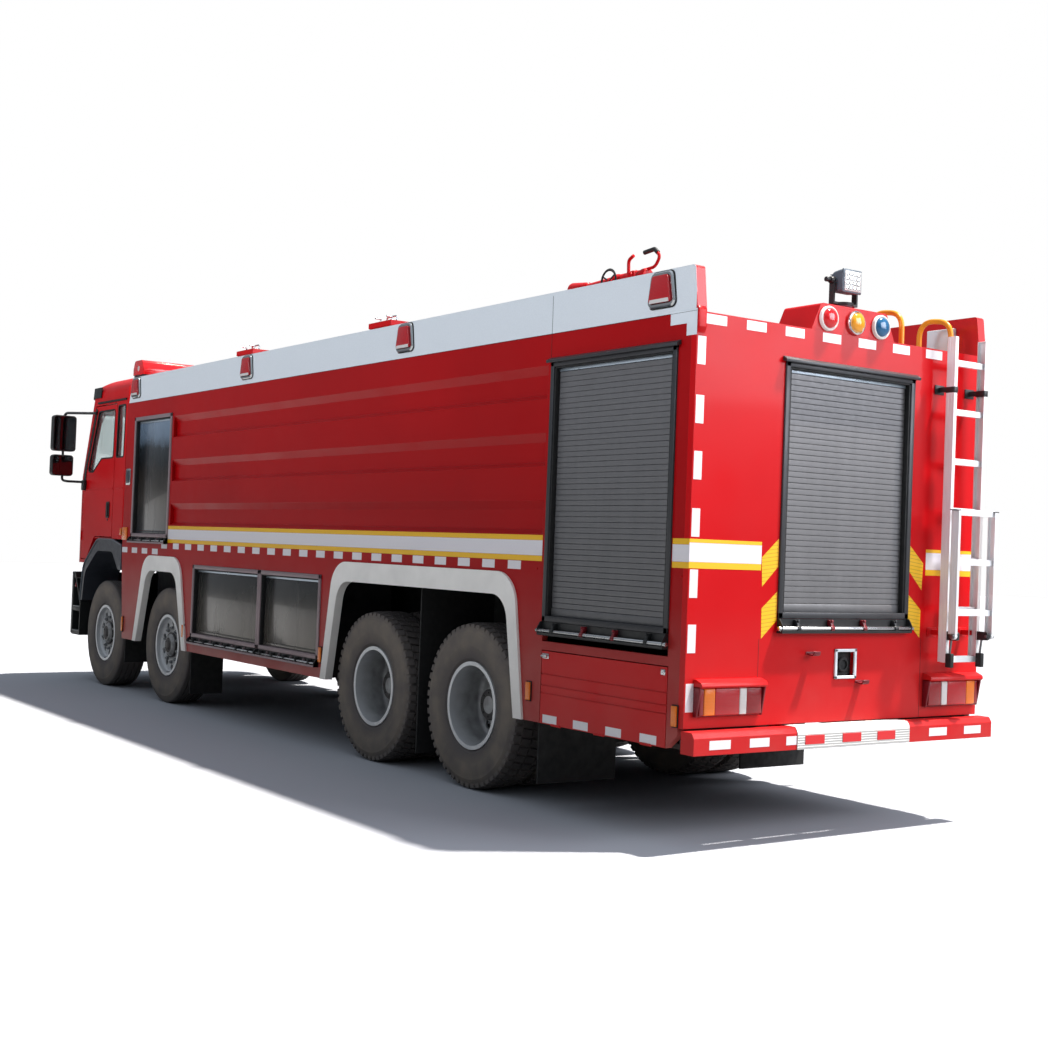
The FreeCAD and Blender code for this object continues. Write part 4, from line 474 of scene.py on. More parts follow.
def layout_tree(name, sockets):
    """An empty layout with a geometry in and out, its own named inputs and a finish."""
    tree = bpy.data.node_groups.new(name, "GeometryNodeTree")
    tree.interface.new_socket("Geometry", in_out="OUTPUT", socket_type="NodeSocketGeometry")
    tree.interface.new_socket("Item", in_out="INPUT", socket_type="NodeSocketGeometry")
    for label, kind in sockets:
        tree.interface.new_socket(label, in_out="INPUT", socket_type=kind)
    tree.interface.new_socket("Finish", in_out="INPUT", socket_type="NodeSocketMaterial")
    return tree, add(tree, "NodeGroupInput").outputs


def row_layout():
    """Copies of an item in a straight row."""
    tree, given = layout_tree("row_layout", (("Count", "NodeSocketInt"), ("Step", "NodeSocketVector")))
    row = add(tree, "GeometryNodeMeshLine", {"Count": given["Count"], "Offset": given["Step"]}, mode="OFFSET")
    copies = add(tree, "GeometryNodeInstanceOnPoints", {"Points": row.outputs[0], "Instance": given["Item"]})
    real = add(tree, "GeometryNodeRealizeInstances", {"Geometry": copies.outputs[0]})
    done = add(tree, "GeometryNodeSetMaterial", {"Geometry": real.outputs[0], "Material": given["Finish"]})
    add(tree, "NodeGroupOutput", {"Geometry": done.outputs[0]})
    return tree


def ring_layout():
    """Copies of an item turned about the Y axis, then moved to a centre."""
    tree, given = layout_tree(
        "ring_layout", (("Count", "NodeSocketInt"), ("Centre", "NodeSocketVector"),
                        ("Start", "NodeSocketFloat"))
    )
    points = add(tree, "GeometryNodeMeshLine", {"Count": given["Count"], "Offset": (0, 0, 0)}, mode="OFFSET")
    index = add(tree, "GeometryNodeInputIndex")
    pitch = add(tree, "ShaderNodeMath", {0: math.tau, 1: given["Count"]}, operation="DIVIDE")
    angle = add(
        tree, "ShaderNodeMath", {0: index.outputs[0], 1: pitch.outputs[0], 2: given["Start"]},
        operation="MULTIPLY_ADD",
    )
    turn = add(tree, "ShaderNodeCombineXYZ", {"Y": angle.outputs[0]})
    copies = add(
        tree, "GeometryNodeInstanceOnPoints",
        {"Points": points.outputs[0], "Instance": given["Item"], "Rotation": turn.outputs[0]},
    )
    real = add(tree, "GeometryNodeRealizeInstances", {"Geometry": copies.outputs[0]})
    shifted = add(
        tree, "GeometryNodeTransform", {"Geometry": real.outputs[0], "Translation": given["Centre"]}
    )
    done = add(tree, "GeometryNodeSetMaterial", {"Geometry": shifted.outputs[0], "Material": given["Finish"]})
    add(tree, "NodeGroupOutput", {"Geometry": done.outputs[0]})
    return tree


def laid_out(item, layout, material, **values):
    """Runs a layout on an item and returns the result as a plain shape."""
    mesh = bpy.data.meshes.new("item")
    item.to_mesh(mesh)
    item.free()
    holder = bpy.data.objects.new("item", mesh)
    bpy.context.scene.collection.objects.link(holder)
    modifier = holder.modifiers.new("layout", "NODES")
    modifier.node_group = LAYOUTS[layout]
    values["Finish"] = material
    for socket in modifier.node_group.interface.items_tree:
        if socket.in_out == "INPUT" and socket.name in values:
            modifier[socket.identifier] = values[socket.name]
    depsgraph = bpy.context.evaluated_depsgraph_get()
    plain = bpy.data.meshes.new_from_object(holder.evaluated_get(depsgraph), depsgraph=depsgraph)
    holder.modifiers.remove(modifier)
    result = bmesh.new()
    result.from_mesh(plain)
    bpy.data.objects.remove(holder)
    bpy.data.meshes.remove(plain)
    return result


def row(item, material, count, step):
    """An item repeated in a straight row."""
    return laid_out(item, "row", material, Count=count, Step=tuple(float(part) for part in step))


def ring(item, material, count, centre=(0, 0, 0), start=0.0):
    """An item repeated about the Y axis."""
    return laid_out(item, "ring", material, Count=count, Centre=tuple(float(part) for part in centre),
                    Start=start)


LAYOUTS = {"row": row_layout(), "ring": ring_layout()}


def divided_in_space(line, count):
    """Even steps along a straight line in space."""
    start, end = Vector(line[0]), Vector(line[1])
    return [start.lerp(end, step / count) for step in range(count + 1)]


# ---------------------------------------------------------------- finishes
class Finish:
    """A material under construction: its tree, its principled shader and the object's coordinates."""

    def __init__(self, name, base, rough, metal=0.0, **fixed):
        self.material = bpy.data.materials.new(name)
        self.material.use_nodes = True
        self.tree = self.material.node_tree
        self.shader = self.tree.nodes["Principled BSDF"]
        self.base = (*base[:3], 1.0)
        self.shader.inputs["Base Color"].default_value = self.base
        self.shader.inputs["Roughness"].default_value = rough
        self.shader.inputs["Metallic"].default_value = metal
        for key, value in fixed.items():
            self.shader.inputs[key.replace("_", " ")].default_value = value
        self.place = add(self.tree, "ShaderNodeTexCoord").outputs["Object"]

    def toned(self, share):
        """The base colour scaled by a number, held below white."""
        return tuple(min(1.0, part * share) for part in self.base[:3]) + (1.0,)

    def clouds(self, scale, start, end, detail=3.0, stretch=(1, 1, 1), low=0.3, high=0.7):
        """Soft patches: stretched noise carried to a range and held at its ends."""
        spread = add(self.tree, "ShaderNodeMapping", {"Vector": self.place, "Scale": stretch})
        noise = add(self.tree, "ShaderNodeTexNoise", {"Vector": spread, "Scale": scale, "Detail": detail})
        return add(
            self.tree, "ShaderNodeMapRange",
            {"Value": noise, "From Min": low, "From Max": high, "To Min": start, "To Max": end},
        )

    def dusted(self, base, low, high, most, tone="#8C7A72"):
        """Pale road dust that thickens towards the ground and breaks up in patches."""
        tree = self.tree
        parts = add(tree, "ShaderNodeSeparateXYZ", {0: self.place}).outputs
        height = add(
            tree, "ShaderNodeMapRange",
            {"Value": parts["Z"], "From Min": low, "From Max": high, "To Min": most, "To Max": 0.0},
        )
        patch = self.clouds(3.0, 0.35, 1.0, 5.0)
        share = add(tree, "ShaderNodeMath", {0: height, 1: patch}, operation="MULTIPLY")
        return add(tree, "ShaderNodeMix", {"Factor": share, 6: base, 7: paint(tone)},
                   data_type="RGBA").outputs[2]

    def shaded(self, base=None, rough=None, height=None, depth=0.001, edge=0.0):
        """Feeds the shader's colour and roughness, a height in metres to its bump, and eases sharp edges."""
        tree = self.tree
        normal = add(tree, "ShaderNodeBevel", {"Radius": edge}, samples=4) if edge else None
        if height is not None:
            given = {"Height": height, "Distance": depth, "Strength": 1.0}
            if normal is not None:
                given["Normal"] = normal
            normal = add(tree, "ShaderNodeBump", given)
        for key, value in (("Base Color", base), ("Roughness", rough), ("Normal", normal)):
            if value is not None:
                tree.links.new(value.outputs[0] if isinstance(value, bpy.types.Node) else value,
                               self.shader.inputs[key])
        return self.material

    def from_axles(self):
        """Distance from the nearest axle's centre line, in metres."""
        tree = self.tree
        parts = add(tree, "ShaderNodeSeparateXYZ", {0: self.place}).outputs
        nearest = None
        for station in sorted({round(centre.x, 4) for centre in WHEELS.values()}):
            shift = add(tree, "ShaderNodeMath", {0: parts["X"], 1: station}, operation="SUBTRACT")
            away = add(tree, "ShaderNodeMath", {0: shift}, operation="ABSOLUTE")
            if nearest is not None:
                away = add(tree, "ShaderNodeMath", {0: nearest, 1: away}, operation="MINIMUM")
            nearest = away
        rise = add(
            tree, "ShaderNodeMath", {0: parts["Z"], 1: next(iter(WHEELS.values())).z}, operation="SUBTRACT"
        )
        flat = add(tree, "ShaderNodeCombineXYZ", {"X": nearest, "Z": rise})
        return add(tree, "ShaderNodeVectorMath", {0: flat}, operation="LENGTH").outputs["Value"]


def enamel(name, base, dust=0.2):
    """Two-pack enamel sprayed on steel: deep gloss, a faint orange peel and road film low down."""
    finish = Finish(name, base, 0.36, Coat_Weight=0.10, Coat_Roughness=0.08, Specular_IOR_Level=0.14)
    tree = finish.tree
    # slow change of depth over half a metre, as thicker and thinner passes of the spray gun leave
    passes = finish.clouds(0.7, 0.0, 1.0, low=0.35, high=0.65)
    tone = add(
        tree, "ShaderNodeMix", {"Factor": passes, 6: finish.base, 7: finish.toned(0.9)}, data_type="RGBA"
    ).outputs[2]
    # the peel's real cells are 2 mm across; they are drawn at 8 mm so that they show
    peel = add(tree, "ShaderNodeTexNoise", {"Vector": finish.place, "Scale": 125.0, "Detail": 1.0})
    rough = finish.clouds(2.5, 0.28, 0.42, 6.0)
    return finish.shaded(finish.dusted(tone, 0.45, 1.35, dust, "#A86C66"), rough, peel, 0.00008, 0.004)


def parapet_paint(silver, red):
    """Metallic silver on the band's outer faces and enamel red on its ends and inside."""
    finish = Finish("silver_band_paint", silver, 0.42, Specular_IOR_Level=0.4, Coat_Weight=0.3,
                    Coat_Roughness=0.1)
    tree = finish.tree
    parts = add(tree, "ShaderNodeSeparateXYZ", {0: finish.place}).outputs
    reach = add(tree, "ShaderNodeMath", {0: parts["Y"]}, operation="ABSOLUTE")
    outside = add(tree, "ShaderNodeMath", {0: reach, 1: SIDE - 0.002}, operation="GREATER_THAN")
    ahead = add(tree, "ShaderNodeMath", {0: parts["X"], 1: REAR + 0.012}, operation="GREATER_THAN")
    share = add(tree, "ShaderNodeMath", {0: outside, 1: ahead}, operation="MULTIPLY")
    # aluminium flake is 0.05 mm; it is drawn at 3 mm as a faint sparkle of lighter and darker grain
    flake = finish.clouds(330.0, 0.95, 1.04, 2.0, low=0.35, high=0.65)
    grain = add(tree, "ShaderNodeVectorMath", {0: finish.base[:3], "Scale": flake}, operation="SCALE")
    tone = add(tree, "ShaderNodeMix", {"Factor": share, 6: (*red[:3], 1.0), 7: grain},
               data_type="RGBA").outputs[2]
    return finish.shaded(tone, edge=0.004)


def plain_paint(name, base, rough=0.45, metal=0.0, dust=0.3, low=0.1, high=1.1, grain=90.0):
    """Sprayed satin paint with slight tone changes and dust low down."""
    finish = Finish(name, base, rough, metal)
    tree = finish.tree
    # patches a hand across break the flat colour, as handling and weather do
    worn = finish.clouds(4.0, 0.0, 1.0, 5.0)
    light = tuple(part + 0.004 for part in finish.toned(1.15)[:3]) + (1.0,)
    tone = add(tree, "ShaderNodeMix", {"Factor": worn, 6: finish.base, 7: light}, data_type="RGBA").outputs[2]
    uneven = finish.clouds(9.0, rough * 0.8, min(1.0, rough * 1.25), 4.0)
    spray = add(tree, "ShaderNodeTexNoise", {"Vector": finish.place, "Scale": grain, "Detail": 2.0})
    return finish.shaded(finish.dusted(tone, low, high, dust), uneven, spray, 0.0002, 0.003)


def brushed(name, base, rough, along, metal=1.0, depth=0.00006):
    """Drawn or brushed metal: fine lines along one axis that stretch the highlights."""
    finish = Finish(name, base, rough, metal)
    tree = finish.tree
    stretch = [1.0, 1.0, 1.0]
    stretch["XYZ".index(along)] = 0.012
    # brushing lines are 0.1 mm apart; they are drawn 1.5 mm apart so that they show
    lines = finish.clouds(650.0, 0.0, 1.0, 2.0, stretch, 0.35, 0.65)
    tone = add(
        tree, "ShaderNodeMix", {"Factor": lines, 6: finish.base, 7: finish.toned(1.12)}, data_type="RGBA"
    ).outputs[2]
    # broad smears of wear change the sheen over a hand's width
    smear = finish.clouds(5.0, rough * 0.85, rough * 1.2, 4.0)
    return finish.shaded(tone, smear, lines, depth, 0.0015)


def slat_coat(base):
    """Coated aluminium slats: satin grey with faint rain streaks running down."""
    finish = Finish("coated_slat_aluminium", base, 0.42, 0.3)
    tree = finish.tree
    # rain leaves streaks 70 mm apart that run down over many slats
    streak = finish.clouds(14.0, 0.0, 0.35, 4.0, (1, 1, 0.06))
    tone = add(
        tree, "ShaderNodeMix", {"Factor": streak, 6: finish.base, 7: finish.toned(0.72)}, data_type="RGBA"
    ).outputs[2]
    # roll-forming lines are 0.2 mm apart; they are drawn at 2 mm so that they show
    lines = finish.clouds(500.0, 0.0, 1.0, 2.0, (0.02, 0.02, 1.0))
    return finish.shaded(tone, finish.clouds(30.0, 0.36, 0.5), lines, 0.00005)


def tape(name, base, striped=False):
    """Glass-bead reflective tape: a pale sheen under a clear film with a honeycomb of sealed cells."""
    finish = Finish(name, base, 0.34, 0.0, Coat_Weight=0.3, Coat_Roughness=0.12)
    tree = finish.tree
    # the cells are 3 mm across; they are drawn at 9 mm so that they show
    cells = add(
        tree, "ShaderNodeTexVoronoi", {"Vector": finish.place, "Scale": 110.0}, feature="DISTANCE_TO_EDGE"
    )
    seam = add(
        tree, "ShaderNodeMapRange", {"Value": cells, "From Min": 0.0, "From Max": 0.08, "To Min": 0.14,
                                     "To Max": 0.0}
    )
    if striped:
        # fine printed lines 22 mm apart that lean with the tape
        parts = add(tree, "ShaderNodeSeparateXYZ", {0: finish.place}).outputs
        reach = add(tree, "ShaderNodeMath", {0: parts["Y"]}, operation="ABSOLUTE")
        lift = add(tree, "ShaderNodeMath", {0: reach, 1: 0.12, 2: parts["Z"]}, operation="MULTIPLY_ADD")
        wave = add(tree, "ShaderNodeMath", {0: lift, 1: 0.011}, operation="PINGPONG")
        line = add(
            tree, "ShaderNodeMapRange",
            {"Value": wave, "From Min": 0.0, "From Max": 0.0036, "To Min": 1.0, "To Max": 0.0},
        )
        seam = add(tree, "ShaderNodeMath", {0: seam, 1: line}, operation="MAXIMUM")
    tone = add(
        tree, "ShaderNodeMix", {"Factor": seam, 6: finish.base, 7: finish.toned(0.55)}, data_type="RGBA"
    ).outputs[2]
    return finish.shaded(tone, height=cells, depth=0.00006)


def tyre_rubber():
    """Vulcanised rubber: matt black, browned by road dust on the sidewall, with moulded rings."""
    finish = Finish("vulcanised_tyre_rubber", linear("#5A5656"), 0.78, Specular_IOR_Level=0.3)
    tree = finish.tree
    reach = finish.from_axles()
    inner = add(
        tree, "ShaderNodeMapRange", {"Value": reach, "From Min": 0.30, "From Max": 0.40, "To Min": 0.0,
                                     "To Max": 1.0}
    )
    outer = add(
        tree, "ShaderNodeMapRange", {"Value": reach, "From Min": 0.50, "From Max": 0.56, "To Min": 1.0,
                                     "To Max": 0.15}
    )
    wall = add(tree, "ShaderNodeMath", {0: inner, 1: outer}, operation="MULTIPLY")
    patch = finish.clouds(6.0, 0.25, 1.0, 6.0)
    share = add(tree, "ShaderNodeMath", {0: wall, 1: patch}, operation="MULTIPLY")
    tone = add(
        tree, "ShaderNodeMix", {"Factor": share, 6: finish.base, 7: paint("#81786E")}, data_type="RGBA"
    ).outputs[2]
    # moulded rings stand 7 mm apart on the lower sidewall, and fade out towards the tread
    ridge = add(tree, "ShaderNodeMath", {0: reach, 1: 0.0035}, operation="PINGPONG")
    fade = add(
        tree, "ShaderNodeMapRange", {"Value": reach, "From Min": 0.40, "From Max": 0.41, "To Min": 1.0,
                                     "To Max": 0.0}
    )
    rings = add(tree, "ShaderNodeMath", {0: ridge, 1: fade}, operation="MULTIPLY")
    specks = add(tree, "ShaderNodeTexNoise", {"Vector": finish.place, "Scale": 160.0, "Detail": 2.0})
    grain = add(tree, "ShaderNodeMath", {0: specks, 1: 0.002, 2: rings}, operation="MULTIPLY_ADD")
    rough = add(
        tree, "ShaderNodeMapRange", {"Value": patch, "From Min": 0.25, "From Max": 1.0, "To Min": 0.7,
                                     "To Max": 0.88}
    )
    return finish.shaded(tone, rough, grain, 0.35)


def wheel_enamel():
    """Silver stove enamel on pressed steel, dulled by brake dust towards the hub, and darker deep in the dish
    as painted shade.
    """
    finish = Finish("silver_wheel_enamel", linear("#D6D9DC"), 0.34, 0.25, Coat_Weight=0.25,
                    Coat_Roughness=0.15)
    tree = finish.tree
    fade = add(
        tree, "ShaderNodeMapRange",
        {"Value": finish.from_axles(), "From Min": 0.13, "From Max": 0.25, "To Min": 0.85, "To Max": 0.04},
    )
    parts = add(tree, "ShaderNodeSeparateXYZ", {0: finish.place}).outputs
    reach = add(tree, "ShaderNodeMath", {0: parts["Y"]}, operation="ABSOLUTE")
    # darker deeper in the dish, towards the truck: painted shade inside the wheel
    dish = add(
        tree, "ShaderNodeMapRange",
        {"Value": reach, "From Min": 1.02, "From Max": 1.19, "To Min": 0.72, "To Max": 0.0},
    )
    # the darkening joins brake dust at the hub with the painted shade in the dish
    brake_dust_and_shade = add(tree, "ShaderNodeMath", {0: fade, 1: dish}, operation="MAXIMUM")
    dust = add(tree, "ShaderNodeMath", {0: brake_dust_and_shade, 1: finish.clouds(12.0, 0.6, 1.0)}, operation="MULTIPLY")
    tone = add(
        tree, "ShaderNodeMix", {"Factor": dust, 6: finish.base, 7: paint("#4B4744")}, data_type="RGBA"
    ).outputs[2]
    rough = add(
        tree, "ShaderNodeMapRange", {"Value": dust, "From Min": 0.0, "From Max": 0.8, "To Min": 0.3,
                                     "To Max": 0.6}
    )
    spray = add(tree, "ShaderNodeTexNoise", {"Vector": finish.place, "Scale": 140.0, "Detail": 3.0})
    return finish.shaded(tone, rough, spray, 0.00012, 0.003)


def moulded(name, base, rough=0.5, grain=350.0, depth=0.00015, **fixed):
    """Moulded plastic or rubber with a fine leathery grain."""
    finish = Finish(name, base, rough, **fixed)
    tree = finish.tree
    # the grain's cells are 1 mm across; they are drawn at about 3 mm so that they show
    cells = add(tree, "ShaderNodeTexVoronoi", {"Vector": finish.place, "Scale": grain})
    pale = tuple(part + 0.004 for part in finish.toned(1.35)[:3]) + (1.0,)
    bloom = finish.clouds(7.0, 0.0, 0.7, 5.0, low=0.35)
    tone = add(tree, "ShaderNodeMix", {"Factor": bloom, 6: finish.base, 7: pale}, data_type="RGBA").outputs[2]
    return finish.shaded(tone, finish.clouds(20.0, rough * 0.85, min(1.0, rough * 1.15)), cells, depth)


def lens(name, base, pitch=0.008, share=0.35, **fixed):
    """Moulded acrylic lens: glossy outside over rows of prisms that break up the light, with painted shade in
    the grooves between the prisms.
    """
    finish = Finish(name, base, 0.14, Coat_Weight=0.5, Coat_Roughness=0.03, **fixed)
    tree = finish.tree
    # the prisms are 5 mm across; they are drawn larger so that they show
    parts = add(tree, "ShaderNodeSeparateXYZ", {0: finish.place}).outputs
    level = add(tree, "ShaderNodeMath", {0: parts["X"], 1: parts["Y"]}, operation="ADD")
    across = add(tree, "ShaderNodeMath", {0: level, 1: pitch / 2}, operation="PINGPONG")
    up = add(tree, "ShaderNodeMath", {0: parts["Z"], 1: pitch / 2}, operation="PINGPONG")
    prism = add(tree, "ShaderNodeMath", {0: across, 1: up}, operation="ADD")
    # the colour darkens where the prisms are lowest: painted shade in their grooves
    depth = add(
        tree, "ShaderNodeMapRange",
        {"Value": prism, "From Min": 0.0, "From Max": pitch * 0.6, "To Min": share, "To Max": 0.0},
    )
    tone = add(
        tree, "ShaderNodeMix", {"Factor": depth, 6: finish.base, 7: finish.toned(0.45)}, data_type="RGBA"
    ).outputs[2]
    return finish.shaded(tone, height=prism, depth=share * 0.34)


def painted_reflection_sheet(name, stops, low, high):
    """Polished coated sheet with a painted reflection: colour bands by height that stand in for a blurred
    mirror of sky, trees and ground.
    """
    finish = Finish(name, linear(stops[0][1]), 0.24, 0.2, Coat_Weight=0.35, Coat_Roughness=0.05)
    tree = finish.tree
    parts = add(tree, "ShaderNodeSeparateXYZ", {0: finish.place}).outputs
    # the horizon of the painted reflection is wavy by a few centimetres, as in a sheet that is not quite flat
    sway = finish.clouds(3.5, -0.05, 0.05, 4.0, (1, 1, 0.5))
    level = add(
        tree, "ShaderNodeMapRange", {"Value": parts["Z"], "From Min": low, "From Max": high, "To Min": 0.0,
                                     "To Max": 1.0}
    )
    share = add(tree, "ShaderNodeMath", {0: level, 1: sway}, operation="ADD")
    # the ramp paints the reflection into the base colour, band by band up the sheet
    ramp = add(tree, "ShaderNodeValToRGB", {"Fac": share})
    elements = ramp.color_ramp.elements
    for place, text in stops[1:-1]:
        elements.new(place)
    for element, (place, text) in zip(elements, stops):
        element.position = place
        element.color = paint(text)
    streak = finish.clouds(9.0, 0.16, 0.3, 4.0, (1, 1, 0.08))
    wave = add(tree, "ShaderNodeTexNoise", {"Vector": finish.place, "Scale": 2.2, "Detail": 1.0})
    return finish.shaded(ramp, streak, wave, 0.002)


def tread_plate():
    """Chequered aluminium plate: short raised bars in alternate directions."""
    finish = Finish("chequered_aluminium_plate", linear("#9FA2A5"), 0.38, 0.9)
    tree = finish.tree
    bars = None
    for turn in (math.radians(45), math.radians(-45)):
        grid = add(
            tree, "ShaderNodeMapping", {"Vector": finish.place, "Rotation": (0, 0, turn),
                                        "Scale": (22.0, 66.0, 1.0)}
        )
        cells = add(tree, "ShaderNodeTexVoronoi", {"Vector": grid, "Scale": 1.0, "Randomness": 0.0})
        bar = add(
            tree, "ShaderNodeMapRange",
            {"Value": cells, "From Min": 0.22, "From Max": 0.32, "To Min": 1.0, "To Max": 0.0},
        )
        bars = bar if bars is None else add(tree, "ShaderNodeMath", {0: bars, 1: bar}, operation="MAXIMUM")
    # soil collects in patches between the bars
    soil = finish.clouds(3.0, 0.0, 0.45, 6.0)
    tone = add(
        tree, "ShaderNodeMix", {"Factor": soil, 6: finish.base, 7: paint("#5C5A57")}, data_type="RGBA"
    ).outputs[2]
    rough = add(
        tree, "ShaderNodeMapRange", {"Value": bars, "From Min": 0.0, "From Max": 1.0, "To Min": 0.5,
                                     "To Max": 0.25}
    )
    return finish.shaded(tone, rough, bars, 0.002)


def woven(name, base, pitch=0.004):
    """Woven seat cloth: threads over and under at right angles, soft and unshiny."""
    finish = Finish(name, base, 0.9, Sheen_Weight=0.25)
    tree = finish.tree
    # the threads are 1 mm apart; they are drawn 4 mm apart so that they show
    parts = add(tree, "ShaderNodeSeparateXYZ", {0: finish.place}).outputs
    slope = add(tree, "ShaderNodeMath", {0: parts["Z"], 1: 0.5, 2: parts["Y"]}, operation="MULTIPLY_ADD")
    warp = add(tree, "ShaderNodeMath", {0: slope, 1: pitch / 2}, operation="PINGPONG")
    rise = add(tree, "ShaderNodeMath", {0: parts["X"], 1: parts["Z"]}, operation="ADD")
    weft = add(tree, "ShaderNodeMath", {0: rise, 1: pitch / 2}, operation="PINGPONG")
    weave = add(tree, "ShaderNodeMath", {0: warp, 1: weft}, operation="ADD")
    fleck = finish.clouds(220.0, 0.0, 0.8, low=0.45, high=0.6)
    pale = tuple(part + 0.01 for part in finish.toned(1.8)[:3]) + (1.0,)
    tone = add(tree, "ShaderNodeMix", {"Factor": fleck, 6: finish.base, 7: pale}, data_type="RGBA").outputs[2]
    return finish.shaded(tone, height=weave, depth=0.5)


def clear_face(name, base, rough, smear, **fixed):
    """Glass, mirror or chrome: clean and bright, with a few smears that blur it in places."""
    finish = Finish(name, base, rough, **fixed)
    return finish.shaded(rough=finish.clouds(smear, rough, rough * 3.0, 5.0, low=0.35, high=0.8))


FINISHES = {}


def make_finishes(colours):
    """Makes every finish once, under a short name."""
    FINISHES.update({
        "red": enamel("fire_red_enamel", colours.red, 0.22),
        "band": parapet_paint(colours.silver, colours.red),
        # the side walls' red is the body red times 0.66: painted shade, as the side walls stand in shade
        "painted_shade_red": enamel("painted_shade_side_enamel", tuple(0.66 * part for part in colours.red), 0.75),
        "patch": plain_paint("silver_patch_paint", colours.silver, 0.38, 0.1, 0.0, grain=300.0),
        "arch": plain_paint("white_arch_paint", colours.arch, 0.4, 0.0, 0.3, 0.5, 1.2),
        "slat": slat_coat(colours.slat),
        # the two polished sheets carry a painted reflection: colour bands by height for the sky and ground
        # they mirror
        "panel": painted_reflection_sheet(
            "painted_reflection_curtain_sheet",
            ((0.0, "#434447"), (0.30, "#45413D"), (0.52, "#2D2926"), (0.62, "#1E2226"), (0.74, "#2A3136"),
             (0.84, "#6E8092"), (1.0, "#8296AB")), 1.65, 2.80,
        ),
        "low_panel": painted_reflection_sheet(
            "painted_reflection_locker_sheet", ((0.0, "#625D56"), (0.45, "#56524D"), (0.8, "#3E3E3C"),
                                      (1.0, "#303133")),
            0.74, 1.33,
        ),
        # pale anodised aluminium whose bluish-white tone is partly a painted sky highlight
        "rail_top": brushed("painted_highlight_top_rail", linear("#B9C6D2"), 0.3, "X", 0.7),
        "frame": brushed("dark_anodised_frame", linear("#3A3B3E"), 0.4, "Z", 0.4),
        "pale_frame": brushed("mauve_anodised_frame", linear("#8C7C80"), 0.4, "Z", 0.4),
        "trim": moulded("black_moulded_trim", colours.trim, 0.45),
        "gasket": moulded("black_rubber_gasket", linear("#0D0E0F"), 0.7, 500.0),
        "tube": brushed("stainless_step_tube", linear("#B7B9BB"), 0.24, "X", 1.0),
        "hanger": moulded("dark_red_clamp_nylon", linear("#6E0F1A"), 0.35),
        "white": tape("white_reflective_tape", colours.tape_white),
        "yellow": tape("yellow_reflective_tape", colours.tape_yellow),
        "hatched": tape("yellow_hatched_tape", colours.tape_yellow, striped=True),
        "red_tape": tape("red_reflective_tape", linear("#D21A20")),
        "tyre": tyre_rubber(),
        "wheel": wheel_enamel(),
        "zinc": brushed("zinc_plated_nuts", linear("#8C8E90"), 0.4, "Y", 0.9),
        "hub": plain_paint("dark_hub_casting", linear("#2A2C2E"), 0.5, 0.3, 0.2),
        "black": plain_paint("satin_black_chassis_paint", linear("#17181A"), 0.55, 0.0, 0.45),
        "underbody": plain_paint("black_underbody_coat", linear("#0E0F10"), 0.85, 0.0, 0.3, grain=60.0),
        "tank": plain_paint("grey_tank_paint", linear("#3A3D40"), 0.5, 0.2, 0.35),
        "engine": plain_paint("grey_engine_enamel", linear("#4A4F52"), 0.5, 0.2, 0.3),
        "rubber": moulded("black_mudflap_rubber", linear("#151516"), 0.72, 120.0, 0.0004),
        "ladder": brushed("extruded_ladder_aluminium", linear("#E2E4E6"), 0.36, "Z", 0.3),
        "rung": brushed("ribbed_rung_aluminium", linear("#E6E8EA"), 0.36, "Y", 0.3),
        "cover": brushed("ribbed_bumper_aluminium", linear("#D3D2CE"), 0.36, "Y", 0.5),
        "hoop": plain_paint("orange_powder_coat", colours.hoop, 0.35, 0.0, 0.0, grain=220.0),
        "deck": tread_plate(),
        "chrome": clear_face("chromed_bezel", linear("#D5D8DA"), 0.08, 25.0, metal=1.0),
        "steel": brushed("bare_steel_pins", linear("#777A7D"), 0.35, "Z", 1.0),
        "red_lens": lens("red_acrylic_lens", linear("#B3101C")),
        "deep_lens": lens("deep_red_acrylic_lens", linear("#8E0C16")),
        "amber_lens": lens("amber_acrylic_lens", linear("#EE7A12")),
        "amber_dome": lens("amber_dome_lens", linear("#F2A01A"), 0.02, 0.08),
        "red_dome": lens("red_dome_lens", linear("#D8121C"), 0.02, 0.08),
        "blue_dome": lens("blue_dome_lens", linear("#1C5F8C"), 0.02, 0.08),
        "clear_lens": lens("clear_acrylic_lens", linear("#D5D3D0")),
        "glass": clear_face(
            "toughened_window_glass", linear("#E8F0F0"), 0.02, 2.0, Transmission_Weight=0.95, IOR=1.45,
            Coat_Weight=0.15
        ),
        "mirror": clear_face("silvered_mirror_glass", linear("#565C60"), 0.03, 4.0, metal=1.0),
        "cloth": woven("woven_seat_cloth", linear("#2B2E36")),
        "dash": moulded("grained_dashboard_plastic", linear("#2C2D30"), 0.6, 420.0),
        "fender": moulded("dark_fender_plastic", linear("#2B2F38"), 0.42, 260.0, Coat_Weight=0.2),
        "lamp_grey": plain_paint("grey_lamp_casting", linear("#5A646E"), 0.42, 0.3, 0.0),
    })


